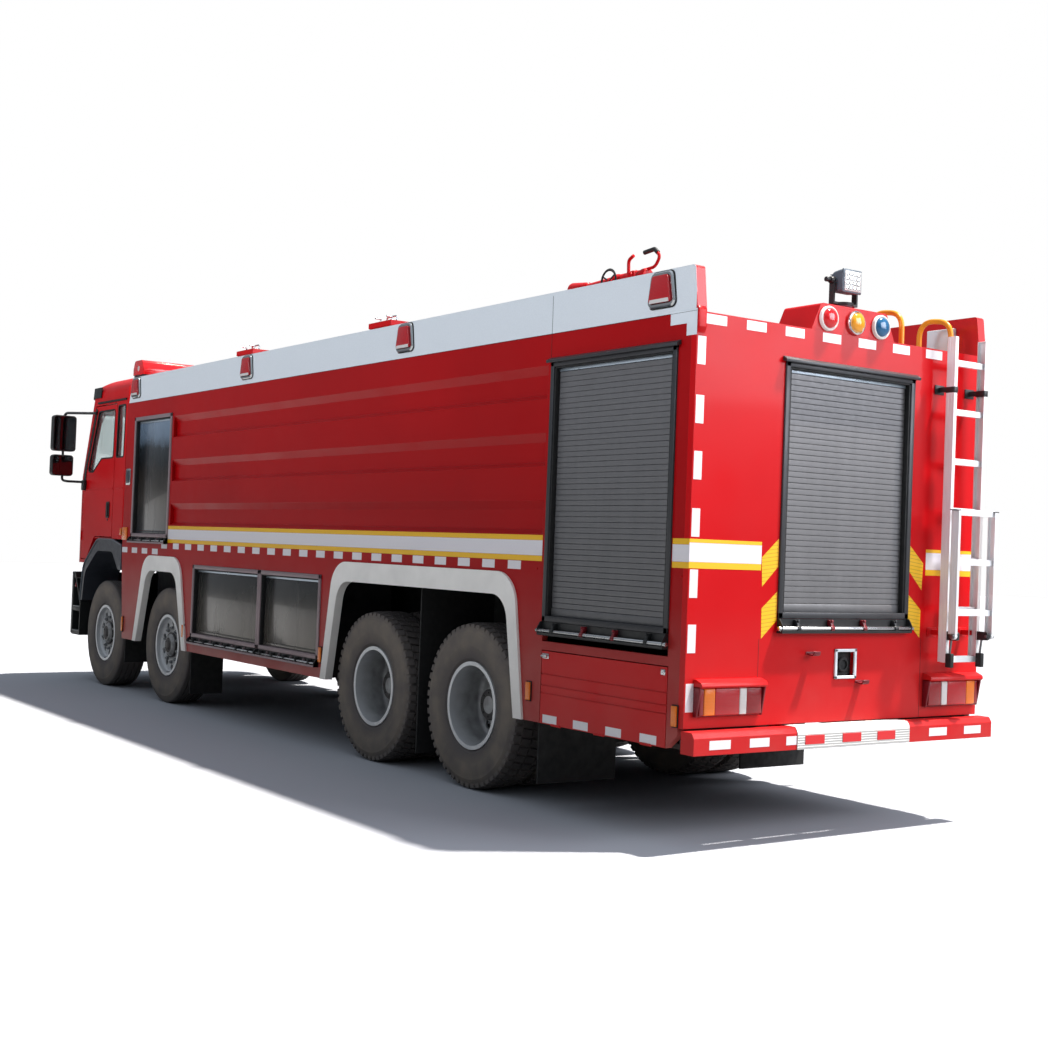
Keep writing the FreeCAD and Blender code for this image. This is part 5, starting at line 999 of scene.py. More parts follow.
NODE_FINISHES = {
    # the side walls take the red with painted shade
    "painted_shade_red": ("side_wall_left", "side_wall_right"),
    "red": (
        "drop_panel_left", "drop_panel_right", "rear_wall", "front_wall",
        "rear_bumper", "cab_shell", "cab_door_left", "cab_door_right", "roof_fittings",
        "hatch_lid_rear", "hatch_lid_front", "monitor_turret", "monitor_barrel",
    ),
    "band": ("parapets",),
    "arch": ("arch_flares",),
    "black": (
        "chassis_frame", "axles_and_springs", "knuckle_1_left", "knuckle_1_right", "knuckle_2_left",
        "knuckle_2_right", "searchlight_yoke",
    ),
    "trim": ("front_bumper",),
    "engine": ("driveline",),
    "tank": ("fuel_and_air_tanks",),
    "underbody": ("body_floor",),
    "rubber": ("mudflaps",),
    "deck": ("roof_deck",),
    "glass": ("cab_glass",),
    "dash": ("dashboard",),
    "fender": ("cab_fenders",),
    "wheel": (
        "rim_1_left", "rim_1_right", "rim_2_left", "rim_2_right", "rims_3_left", "rims_3_right",
        "rims_4_left",
        "rims_4_right",
    ),
}


# ---------------------------------------------------------------- operators
class TruckOperator:
    """What every operator of the truck shares."""

    bl_options = {"REGISTER", "UNDO"}

    @classmethod
    def poll(cls, context):
        """Needs the loaded frame."""
        return bool(frame["nodes"])

    def sizes(self, context):
        """The settable sizes."""
        return context.scene.truck_sizes


class TRUCK_OT_node_finishes(TruckOperator, bpy.types.Operator):
    """Make the finishes and put them on the frame's own nodes."""

    bl_idname = "truck.node_finishes"
    bl_label = "Frame finishes"

    def execute(self, context):
        """Gives each node that stays visible its finish."""
        make_finishes(context.scene.truck_colours)
        for short, nodes in NODE_FINISHES.items():
            for node in nodes:
                mesh = frame["nodes"][node].data
                mesh.materials.clear()
                mesh.materials.append(FINISHES[short])
        return {"FINISHED"}


class TRUCK_OT_tyres(TruckOperator, bpy.types.Operator):
    """Ribbed tyres in front, twin block-tread tyres behind."""

    bl_idname = "truck.tyres"
    bl_label = "Tyres"

    def casing(self, ribbed, reach, depth):
        """The casing as a ring about the origin, with grooves where the tyre is ribbed."""
        base = reach - depth
        wall = [
            (0.1205, 0.2860), (0.1225, 0.3000), (0.1330, 0.3160), (0.1395, 0.3200), (0.1410, 0.3290),
            (0.1475, 0.3560),
            (0.1525, 0.4000), (0.1548, 0.4350), (0.1530, 0.4700), (0.1500, 0.4900), (0.1508, 0.4960),
            (0.1465, 0.5050),
        ]
        if ribbed:
            shoulder = [(0.1420, 0.5300), (0.1330, reach - 0.010), (0.1220, reach - 0.002)]
            tread = []
            for edge in (0.092, 0.036):
                tread += [(edge, reach), (edge - 0.002, base), (edge - 0.010, base), (edge - 0.012, reach)]
            outside = wall + shoulder + tread
        else:
            outside = wall + [(0.1410, 0.5260), (0.1260, base + 0.002), (0.0600, base)]
        profile = outside + [(-across, radius) for across, radius in reversed(outside)]
        return turned(profile, (0, 0, 0), (0, 1, 0), 96)

    def block(self, low, high, half, reach, depth, skew):
        """One tread block between two places across the tyre, standing on the casing."""
        shape = bmesh.new()
        base = reach - depth - 0.004
        rows = []
        for across in (low, high):
            shoulder = abs(across) > 0.12
            shift = skew * (across - low)
            top = reach - 0.011 if shoulder else reach
            deep = base - 0.020 if shoulder else base
            wide = half * (0.86 if shoulder else 1.0)
            rows.append([
                shape.verts.new((x + shift, across, math.sqrt(radius * radius - x * x)))
                for x, radius in ((-wide, deep), (-wide * 0.93, top), (wide * 0.93, top), (wide, deep))
            ])
        for here in range(4):
            after = (here + 1) % 4
            shape.faces.new((rows[0][here], rows[0][after], rows[1][after], rows[1][here]))
        shape.faces.new(rows[0])
        shape.faces.new(rows[1])
        bmesh.ops.recalc_face_normals(shape, faces=shape.faces)
        return shape

    def driven(self, reach, depth, pitches):
        """A block-tread tyre about the origin."""
        half = math.pi * reach / pitches * 0.74
        parts = [self.casing(False, reach, depth)]
        for low, high, start, skew in (
            (0.088, 0.142, 0.0, 0.0), (-0.088, -0.142, 0.0, 0.0), (0.008, 0.078, 0.5, 0.2),
            (-0.008, -0.078, 0.5, 0.2),
        ):
            block = self.block(low, high, half, reach, depth, skew)
            parts.append(ring(block, FINISHES["tyre"], pitches, start=start * math.tau / pitches))
        return joined(parts)

    def execute(self, context):
        """Puts a tyre, or a pair, on each wheel body in place of the frame's plain rings."""
        sizes = self.sizes(context)
        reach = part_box("tyre_1_left")[1][2] / 2
        driven = self.driven(reach, sizes.tread_depth, sizes.tread_pitches)
        ribbed = self.casing(True, reach, sizes.tread_depth * 0.8)
        for side, _ in LEFT_RIGHT:
            for axle in (1, 2, 3, 4):
                twin = axle > 2
                node = f"tyres_{axle}_{side}" if twin else f"tyre_{axle}_{side}"
                low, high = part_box(node)
                width = 0.310
                middles = [high[1] - width / 2, low[1] + width / 2] if twin else [(low[1] + high[1]) / 2]
                centre = WHEELS[f"spin_{axle}_{side}"]
                parts = [
                    moved((driven if twin else ribbed).copy(),
                          (centre.x, middle, centre.z)) for middle in middles
                ]
                body = f"wheels_{axle}_{side}" if twin else f"wheel_{axle}_{side}"
                piece(f"tread_tyre_{axle}_{side}", joined(parts), FINISHES["tyre"], body,
                      (node,), 28)
        driven.free()
        ribbed.free()
        return {"FINISHED"}


class TRUCK_OT_wheel_fittings(TruckOperator, bpy.types.Operator):
    """Wheel nuts, hub covers and valves."""

    bl_idname = "truck.wheel_fittings"
    bl_label = "Wheel fittings"

    def nut(self):
        """A flanged hexagon nut with its stud's end, standing on the XZ plane at the nut circle."""
        pitch_circle = 0.1675
        profile = [(0, 0.0), (0, 0.0215), (0.004, 0.0205), (0.005, 0.0)]
        flange = turned(profile, (0, 0, pitch_circle), (0, 1, 0), 14, closed=False)
        hexagon = [(0.0175 * math.cos(math.tau * k / 6), pitch_circle + 0.0175 * math.sin(math.tau * k / 6))
                   for k in range(6)]
        body = raised(hexagon, 0.003, 0.024, "Y", 0.0015, 1)
        stud = rod((0, 0.02, pitch_circle), (0, 0.034, pitch_circle), 0.0095, 0.0085, 10)
        return joined([flange, body, stud])

    def execute(self, context):
        """Adds a ring of nuts and a hub trim to each wheel."""
        count = self.sizes(context).wheel_nuts
        for side, hand in LEFT_RIGHT:
            for axle in (1, 2, 3, 4):
                twin = axle > 2
                centre = WHEELS[f"spin_{axle}_{side}"]
                body = f"wheels_{axle}_{side}" if twin else f"wheel_{axle}_{side}"
                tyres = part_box(f"tyres_{axle}_{side}" if twin else f"tyre_{axle}_{side}")
                edge = max(abs(corner[1]) for corner in tyres)
                middle = edge - 0.155
                face = middle - 0.1193 if twin else middle + 0.0765
                nuts = ring(self.nut(), FINISHES["zinc"], count)
                moved(nuts, (centre.x, face, centre.z))
                piece(f"wheel_nuts_{axle}_{side}", sided(nuts, hand), FINISHES["zinc"], body)
                at = (centre.x, 0, centre.z)
                if twin:
                    parts = [
                        turned([(face + 0.012, 0.1405), (face + 0.046, 0.1405), (face + 0.050, 0.135),
                                (face + 0.050, 0.112), (face + 0.012, 0.112)], at, (0, 1, 0), 48),
                        turned([(middle - 0.060, 0.1052), (middle - 0.016, 0.1060), (middle - 0.009, 0.098),
                                (middle - 0.009, 0.060), (middle - 0.060, 0.060)], at, (0, 1, 0), 48),
                    ]
                    bolts = [(middle - 0.0095, 0.080, 8)]
                else:
                    cap = middle + 0.122
                    parts = [
                        turned([(cap - 0.004, 0.078), (cap + 0.001, 0.074), (cap + 0.001, 0.050),
                                (cap + 0.008, 0.044),
                                (cap + 0.012, 0.030), (cap + 0.012, 0.0), (cap - 0.006, 0.0),
                                (cap - 0.006, 0.078)],
                               at, (0, 1, 0), 40, closed=False),
                        turned([(middle + 0.080, 0.1210), (middle + 0.094, 0.1235), (middle + 0.100, 0.118),
                                (middle + 0.098, 0.104), (middle + 0.080, 0.104)], at, (0, 1, 0), 48),
                    ]
                    bolts = [(cap + 0.0005, 0.061, 6)]
                for place, radius, number in bolts:
                    bolt = rod((0, 0, radius), (0, 0.007, radius), 0.0068, sides=6)
                    parts.append(moved(ring(bolt, FINISHES["hub"], number), (centre.x, place, centre.z)))
                valve = rod((centre.x, face + 0.01, centre.z - 0.262),
                            (centre.x, face + 0.055, centre.z - 0.266), 0.004)
                parts.append(valve)
                piece(f"hub_trim_{axle}_{side}", sided(joined(parts), hand), FINISHES["hub"], body)
        return {"FINISHED"}


# each side shutter: short name, start, end, base, top and whether its curtain is slatted
SHUTTERS = (
    ("tall", REAR + 0.148, REAR + 1.347, 1.190, 2.815, True),
    ("front", BODY_FRONT - 1.245, BODY_FRONT - 0.250, 1.610, 2.830, False),
    ("locker_rear", -0.857, 0.270, 0.700, 1.370, False),
    ("locker_front", 0.270, 1.727, 0.700, 1.370, False),
)
REAR_SHUTTER = (-0.560, 0.560, 1.290, 2.785)
BAR = 0.036
CURTAIN_FACE = SIDE - 0.030


def to_rear(shape):
    """Swings a shape drawn on the left side round to the rear wall."""
    for vertex in shape.verts:
        across, out, up = vertex.co
        vertex.co = Vector((REAR + SIDE - out, across, up))
    bmesh.ops.recalc_face_normals(shape, faces=shape.faces)
    return shape


class TRUCK_OT_curtains(TruckOperator, bpy.types.Operator):
    """Roller-shutter curtains: slatted or polished."""

    bl_idname = "truck.curtains"
    bl_label = "Shutter curtains"

    def slat(self, start, end, pitch):
        """One slat of a curtain on the left side, its foot at height nought."""
        back, face = CURTAIN_FACE - 0.013, CURTAIN_FACE
        outline = [
            (back, 0), (face - 0.0030, 0.0006), (face - 0.0004, 0.0028), (face, pitch / 2),
            (face - 0.0004, pitch - 0.0022), (face - 0.0030, pitch - 0.0006), (back, pitch),
        ]
        return raised(outline, start, end, "X")

    def slatted(self, start, end, base, top, pitch):
        """A closed curtain: slats, and the bar at its foot."""
        first = base + BAR + 0.050
        count = int((top - BAR - first) / pitch)
        pitch = (top - BAR - 0.030 - first) / count
        slats = row(moved(self.slat(start, end, pitch), (0, 0, first)), FINISHES["slat"], count,
                    (0, 0, pitch))
        foot = slab((start, CURTAIN_FACE - 0.013, base + BAR), (end, CURTAIN_FACE + 0.003, first - 0.001),
                    0.004)
        return joined([slats, foot])

    def top_rail(self, start, end, top):
        """The pale rail at a curtain's head, whose bluish-white finish carries a painted highlight."""
        return slab((start, CURTAIN_FACE - 0.013, top - BAR - 0.028),
                    (end, CURTAIN_FACE + 0.002, top - BAR), 0.003)

    def execute(self, context):
        """Makes the nine curtains in place of the frame's plain sheets."""
        pitch = self.sizes(context).slat_pitch
        slatted, rails = [], []
        panels = {"panel": [], "low_panel": []}
        for name, start, end, base, top, has_slats in SHUTTERS:
            start, end = start + BAR, end - BAR
            if has_slats:
                slatted.append(both_sides(self.slatted(start, end, base, top, pitch)))
            else:
                face = slab((start, CURTAIN_FACE - 0.013, base + BAR + 0.030),
                            (end, CURTAIN_FACE, top - BAR - 0.030), 0.0015)
                foot = slab((start, CURTAIN_FACE - 0.013, base + BAR),
                            (end, CURTAIN_FACE + 0.006, base + BAR + 0.029),
                            0.004)
                panels["panel" if name == "front" else "low_panel"].append(both_sides(joined([face, foot])))
            rails.append(both_sides(self.top_rail(start, end, top)))
        low, high, base, top = REAR_SHUTTER
        slatted.append(to_rear(self.slatted(low + BAR, high - BAR, base, top, pitch)))
        rails.append(to_rear(self.top_rail(low + BAR, high - BAR, top)))
        piece("slatted_curtains", joined(slatted), FINISHES["slat"], BODY,
              ("shutter_curtains",))
        # the polished curtains carry a painted reflection in their finishes
        piece("painted_reflection_front_curtains", joined(panels["panel"]), FINISHES["panel"], BODY)
        piece("painted_reflection_locker_curtains", joined(panels["low_panel"]), FINISHES["low_panel"], BODY)
        piece("curtain_head_rails", joined(rails), FINISHES["rail_top"], BODY)
        return {"FINISHED"}


class TRUCK_OT_shutter_frames(TruckOperator, bpy.types.Operator):
    """Shutter frames, hoods, and the step trays with their tubes and clamps."""

    bl_idname = "truck.shutter_frames"
    bl_label = "Shutter frames and trays"

    def jambs(self, start, end, base, top):
        """A frame of four bars."""
        back, face = CURTAIN_FACE - 0.014, SIDE + 0.012
        parts = [
            slab((start, back, base), (start + BAR, face, top), 0.004),
            slab((end - BAR, back, base), (end, face, top), 0.004),
            slab((start, back, top - BAR), (end, face, top), 0.004),
            slab((start, back, base), (end, face, base + BAR), 0.004),
        ]
        return joined(parts)

    def reveals(self, start, end, base, top):
        """Black brush seals between the frame and the curtain."""
        inner, outer = start + BAR, end - BAR
        return joined([
            slab((inner, CURTAIN_FACE - 0.002, base + BAR), (inner + 0.013, SIDE + 0.004, top - BAR), 0.002),
            slab((outer - 0.013, CURTAIN_FACE - 0.002, base + BAR), (outer, SIDE + 0.004, top - BAR), 0.002),
            slab((inner, CURTAIN_FACE + 0.003, top - BAR - 0.010), (outer, SIDE + 0.004, top - BAR), 0.002),
        ])

    def hood(self, start, end, top):
        """A rain bar over the frame, turned down at its lip, with a screw at each end."""
        outline = [
            (SIDE, top - 0.004), (SIDE + 0.030, top - 0.012), (SIDE + 0.034, top - 0.008),
            (SIDE + 0.034, top + 0.006),
            (SIDE + 0.006, top + 0.022), (SIDE, top + 0.024),
        ]
        parts = [raised(outline, start - 0.022, end + 0.022, "X", 0.0015)]
        for station in (start - 0.008, (start + end) / 2, end + 0.008):
            parts.append(dome((station, SIDE + 0.028, top + 0.003), (0, 1, 0.1), 0.007, 0.008, 3, 12))
        return joined(parts)

    def tray(self, start, end, base, height):
        """An open step tray: back, floor with a turned-up lip, and end cheeks."""
        low = base - height
        reach = SIDE + 0.046
        outline = [
            (SIDE, low), (reach - 0.004, low), (reach, low + 0.006), (reach, low + 0.016),
            (reach - 0.004, low + 0.016),
            (reach - 0.004, low + 0.006), (SIDE + 0.006, low + 0.006), (SIDE + 0.006, base - 0.002),
            (SIDE, base - 0.002),
        ]
        cheek = rounded([
            (SIDE, low), (reach, low, 0.004), (reach, low + height * 0.55, 0.010),
            (SIDE + 0.022, base, 0.010),
            (SIDE, base),
        ], 3)
        parts = [raised(outline, start + 0.006, end - 0.006, "X")]
        parts += [raised(cheek, at, at + 0.006, "X", 0.001, 1) for at in (start, end - 0.006)]
        return joined(parts)

    def clamp(self, at, tube_y, tube_z, base, radius):
        """A bracket from the tray's back that grips the tube."""
        arm = rounded([
            (SIDE + 0.004, base - 0.006), (SIDE + 0.004, base - 0.034), (tube_y - 0.004, tube_z + 0.008),
            (tube_y + 0.010, tube_z + 0.016), (SIDE + 0.030, base - 0.010),
        ], 2)
        parts = [
            raised(arm, at - 0.011, at + 0.011, "X", 0.002),
            rod((at - 0.014, tube_y, tube_z), (at + 0.014, tube_y, tube_z), radius + 0.0055, sides=18,
                bevel=0.002),
            rod((at, SIDE + 0.020, base - 0.016), (at, SIDE + 0.042, base - 0.012), 0.010, 0.008, 12, 0.002),
        ]
        return joined(parts)

    def execute(self, context):
        """Makes all frames and trays in place of the frame's plain bars."""
        radius = self.sizes(context).tube_radius
        jambs, trays, tubes, dark, reds, pale, seals, lips = [], [], [], [], [], [], [], []
        bays = [(*shutter[:5], 1) for shutter in SHUTTERS]
        bays.append(("rear", *REAR_SHUTTER, 0))
        for name, start, end, base, top, paired in bays:
            place = both_sides if paired else to_rear
            large = name in ("tall", "rear")
            if large:
                jambs.append(place(joined([self.jambs(start, end, base, top), self.hood(start, end, top)])))
            else:
                pale.append(place(self.jambs(start, end, base, top)))
            seals.append(place(self.reveals(start, end, base, top)))
            height = 0.085 if large else 0.062
            trays.append(place(self.tray(start, end, base, height)))
            tube_y = SIDE + (0.032 if large else 0.028)
            tube_z = base - height + 0.028
            size = radius if large else radius * 0.62
            over = 0.020 if large else -0.004
            bar = rod((start - over, tube_y, tube_z), (end + over, tube_y, tube_z), size, bevel=0.002)
            tubes.append(place(bar))
            spots = {"tall": 4, "rear": 4, "front": 4, "locker_rear": 5, "locker_front": 6}[name]
            for number in range(spots):
                at = start + (end - start) * (number + 0.5) / spots
                red = large and number in (1, 2)
                (reds if red else dark).append(place(self.clamp(at, tube_y, tube_z, base, size)))
                if not large:
                    fin = [(SIDE, base - height + 0.004), (SIDE + 0.045, base - height + 0.004),
                           (SIDE + 0.020, base - 0.004), (SIDE, base - 0.004)]
                    edge = start + (end - start) * number / spots
                    lips.append(place(raised(fin, edge, edge + 0.005, "X")))
            if not large:
                lips.append(place(slab((start, SIDE + 0.042, base - height),
                                       (end, SIDE + 0.047, base - height + 0.018),
                                       0.002)))
        piece("shutter_jambs_and_hoods", joined(jambs), FINISHES["frame"], BODY,
              ("shutter_frames",))
        piece("pale_jambs", joined(pale), FINISHES["pale_frame"], BODY)
        piece("curtain_seals", joined(seals), FINISHES["gasket"], BODY)
        piece("tray_lips", joined(lips), FINISHES["pale_frame"], BODY)
        piece("step_trays", joined(trays), FINISHES["trim"], BODY)
        piece("step_tubes", joined(tubes), FINISHES["tube"], BODY)
        piece("dark_tube_clamps", joined(dark), FINISHES["trim"], BODY)
        piece("red_tube_clamps", joined(reds), FINISHES["hanger"], BODY)
        return {"FINISHED"}


class TRUCK_OT_tapes(TruckOperator, bpy.types.Operator):
    """Reflective stripes, checks and chevrons."""

    bl_idname = "truck.tapes"
    bl_label = "Reflective tapes"

    def side_strip(self, start, end, low, high, thick):
        """A strip of tape on the left wall."""
        return slab((start, SIDE, low), (end, SIDE + thick, high), thick * 0.4, 1)

    def rear_strip(self, low, high, base, top, thick):
        """A strip of tape on the rear wall."""
        return slab((REAR - thick, low, base), (REAR, high, top), thick * 0.4, 1)

    def execute(self, context):
        """Lays all tapes of the body and the drop panels."""
        thick = self.sizes(context).tape_thick
        white, yellow = [], []
        for start, end in ((REAR + 1.380, REAR + 7.620), (REAR, REAR + 0.140)):
            white.append(self.side_strip(start, end, 1.598, 1.694, thick))
            yellow += [self.side_strip(start, end, low, high, thick) for low,
                       high in ((1.563, 1.597), (1.695, 1.727))]
        checks = self.side_strip(REAR + 1.608, REAR + 1.755, 1.505, 1.560, thick)
        white.append(row(checks, FINISHES["white"], 21, (0.300, 0, 0)))
        front = self.side_strip(BODY_FRONT - 0.155, BODY_FRONT - 0.005, 1.443, 1.498, thick)
        white.append(row(front, FINISHES["white"], 4, (-0.280, 0, 0)))
        white, yellow = [both_sides(joined(white))], [both_sides(joined(yellow))]
        for low, high in ((0.700, SIDE), (-SIDE, -0.720)):
            white.append(self.rear_strip(low, high, 1.600, 1.706, thick))
            yellow += [self.rear_strip(low, high, base, top, thick) for base,
                       top in ((1.564, 1.599), (1.707, 1.727))]
        for low, count in ((1.029, 4), (-0.199, 3)):
            check = self.rear_strip(low, low + 0.155, 2.925, 2.980, thick)
            white.append(row(check, FINISHES["white"], count, (0, -0.307, 0)))
        edge = SIDE - 0.010
        for top in (2.851, 2.524, 2.213, 1.896, 1.558, 1.253, 0.927):
            white.append(both_sides(self.rear_strip(edge - 0.060, edge, top - 0.157, top, thick)))
        piece("white_tapes", joined(white), FINISHES["white"], BODY)
        piece("yellow_tapes", joined(yellow), FINISHES["yellow"], BODY)
        chevrons = []
        for corners in (
            ((0.566, 1.750), (0.697, 1.638), (0.688, 1.471), (0.566, 1.588)),
            ((0.566, 1.444), (0.686, 1.347), (0.683, 1.173), (0.566, 1.276)),
        ):
            chevrons.append(raised(corners, REAR - thick, REAR, "X", thick * 0.4, 1))
        piece("chevron_tapes", both_sides(joined(chevrons)), FINISHES["hatched"], BODY)
        for side, hand in LEFT_RIGHT:
            panel = self.side_strip(REAR + 0.220, REAR + 0.367, 0.562, 0.613, thick)
            lower = row(panel, FINISHES["white"], 4, (0.315, 0, 0))
            piece(f"drop_panel_tapes_{side}", sided(lower, hand), FINISHES["white"], f"drop_{side}")
        return {"FINISHED"}


class TRUCK_OT_parapet_trim(TruckOperator, bpy.types.Operator):
    """Warning lamps along the parapets, the band's corner patch and the seam."""

    bl_idname = "truck.parapet_trim"
    bl_label = "Parapet lamps and trim"

    def trapezoid(self, at, low, grow, corner):
        """The lamp's outline, narrower at its top."""
        base, head, rise = 0.1225 + grow, 0.092 + grow, 0.205 + grow
        return rounded([
            (at - base, low - grow, corner), (at + base, low - grow, corner), (at + head, low + rise, corner),
            (at - head, low + rise, corner),
        ], 5)

    def bezel(self, at, low, face):
        """A moulding round the lens, open in its middle."""
        outer, inner = self.trapezoid(at, low, 0.0, 0.034), self.trapezoid(at, low + 0.001, -0.020, 0.024)
        shape = bmesh.new()
        rings = [
            [shape.verts.new((u, y, v)) for u, v in outline]
            for outline, y in ((outer, SIDE), (outer, face - 0.008),
                               (self.trapezoid(at, low, -0.007, 0.03), face),
                               (inner, face), (inner, SIDE + 0.004))
        ]
        rings.append(rings[0])
        for start, end in zip(rings, rings[1:]):
            if len(start) != len(end):
                raise RuntimeError("the bezel's outlines differ in length")
            for here in range(len(start)):
                after = (here + 1) % len(start)
                shape.faces.new((start[here], start[after], end[after], end[here]))
        bmesh.ops.recalc_face_normals(shape, faces=shape.faces)
        return shape

    def execute(self, context):
        """Adds the lamps on both sides and the painted patch at the rear corners."""
        low = TOP + 0.045
        bezels, seats, lenses, pale = [], [], [], []
        for at in (REAR + 0.300, REAR + 3.170, REAR + 5.900, BODY_FRONT - 0.240):
            bezels.append(self.bezel(at, low, SIDE + 0.020))
            seats.append(raised(self.trapezoid(at, low, 0.006, 0.038), SIDE, SIDE + 0.006, "Y", 0.002, 1))
            lenses.append(raised(self.trapezoid(at, low + 0.002, -0.024, 0.020), SIDE + 0.004, SIDE + 0.032,
                                 "Y", 0.010, 3))
            pale.append(raised([(at - 0.086, low + 0.026), (at + 0.086, low + 0.026),
                                (at + 0.080, low + 0.048),
                                (at - 0.080, low + 0.048)], SIDE + 0.030, SIDE + 0.0335, "Y", 0.001, 1))
        piece("parapet_lamp_bezels", both_sides(joined(bezels)), FINISHES["chrome"], BODY,
              ("lamps",))
        piece("parapet_lamp_gaskets", both_sides(joined(seats)), FINISHES["gasket"], BODY)
        piece("parapet_lamp_lenses", both_sides(joined(lenses)), FINISHES["red_lens"], BODY)
        piece("parapet_lamp_windows", both_sides(joined(pale)), FINISHES["clear_lens"], BODY)
        patch = [
            (REAR, TOP + 0.012), (REAR, 2.856), (REAR + 0.086, 2.856), (REAR + 0.086, 2.925),
            (REAR + 0.225, 2.925),
            (REAR + 0.225, TOP + 0.012),
        ]
        piece("corner_paint_patches", both_sides(raised(patch, SIDE, SIDE + 0.0012, "Y", 0.0004, 1)),
              FINISHES["patch"],
              BODY)
        seam = [slab((REAR + 1.3585, SIDE, 2.842), (REAR + 1.3615, SIDE + 0.0012, PARAPET_TOP - 0.02),
                     0.0004, 1),
                slab((REAR, SIDE, TOP - 0.0015), (BODY_FRONT - 0.03, SIDE + 0.0012, TOP + 0.0015), 0.0004, 1)]
        piece("band_seams", both_sides(joined(seam)), FINISHES["gasket"], BODY)
        gusset = [(REAR + 0.002, 2.862), (REAR + 0.002, TOP + 0.03), (REAR - 0.012, TOP + 0.01),
                  (REAR - 0.012, 2.90)]
        parts = [raised(gusset, SIDE - 0.060, SIDE - 0.002, "Y", 0.004)]
        piece("parapet_gussets", both_sides(joined(parts)), FINISHES["red"], BODY)
        return {"FINISHED"}


class TRUCK_OT_rear_lamps(TruckOperator, bpy.types.Operator):
    """Tail lamps with their hoods."""

    bl_idname = "truck.rear_lamps"
    bl_label = "Tail lamps"

    def lens_block(self, start, end, depth):
        """One coloured chamber of a tail lamp."""
        return slab((REAR - depth, min(start, end), 0.752), (REAR - 0.010, max(start, end), 0.902), 0.005, 3)

    def execute(self, context):
        """Makes both lamps; the right one stands a little further out than the left."""
        backs, hoods, groups = [], [], {"amber_lens": [], "red_lens": [], "deep_lens": [], "clear_lens": []}
        for hand, shift in ((1, 0.0), (-1, 0.045)):
            outer, inner = 1.172 + shift, 0.694 + shift
            low, high = sorted((hand * inner, hand * outer))
            backs.append(slab((REAR - 0.026, low, 0.742), (REAR, high, 0.912), 0.008, 3))
            edges = (0.0, 0.030, 0.112, 0.297, 0.352, 0.470)
            kinds = ("deep_lens", "amber_lens", "red_lens", "clear_lens", "deep_lens")
            for kind, start, end in zip(kinds, edges, edges[1:]):
                depth = 0.044 if kind != "deep_lens" else 0.041
                groups[kind].append(
                    self.lens_block(hand * (outer - 0.004 - start), hand * (outer - 0.003 - end), depth)
                )
            outline = rounded([
                (REAR, 0.905), (REAR - 0.062, 0.905, 0.006), (REAR - 0.072, 0.914, 0.008),
                (REAR - 0.066, 0.934, 0.014),
                (REAR - 0.020, 0.952, 0.020), (REAR, 0.952),
            ], 4)
            hoods.append(raised(outline, low - 0.012, high + 0.012, "Y", 0.006, 3))
            for end in (low - 0.012, high):
                cheek = [(REAR, 0.742), (REAR - 0.030, 0.742), (REAR - 0.060, 0.915), (REAR, 0.915)]
                backs.append(raised(cheek, end, end + 0.012, "Y", 0.003, 2))
        piece("tail_lamp_backs", joined(backs), FINISHES["hanger"], BODY)
        piece("tail_lamp_hoods", joined(hoods), FINISHES["red"], BODY)
        for kind, shapes in groups.items():
            piece(f"tail_{kind}es", joined(shapes), FINISHES[kind], BODY)
        return {"FINISHED"}


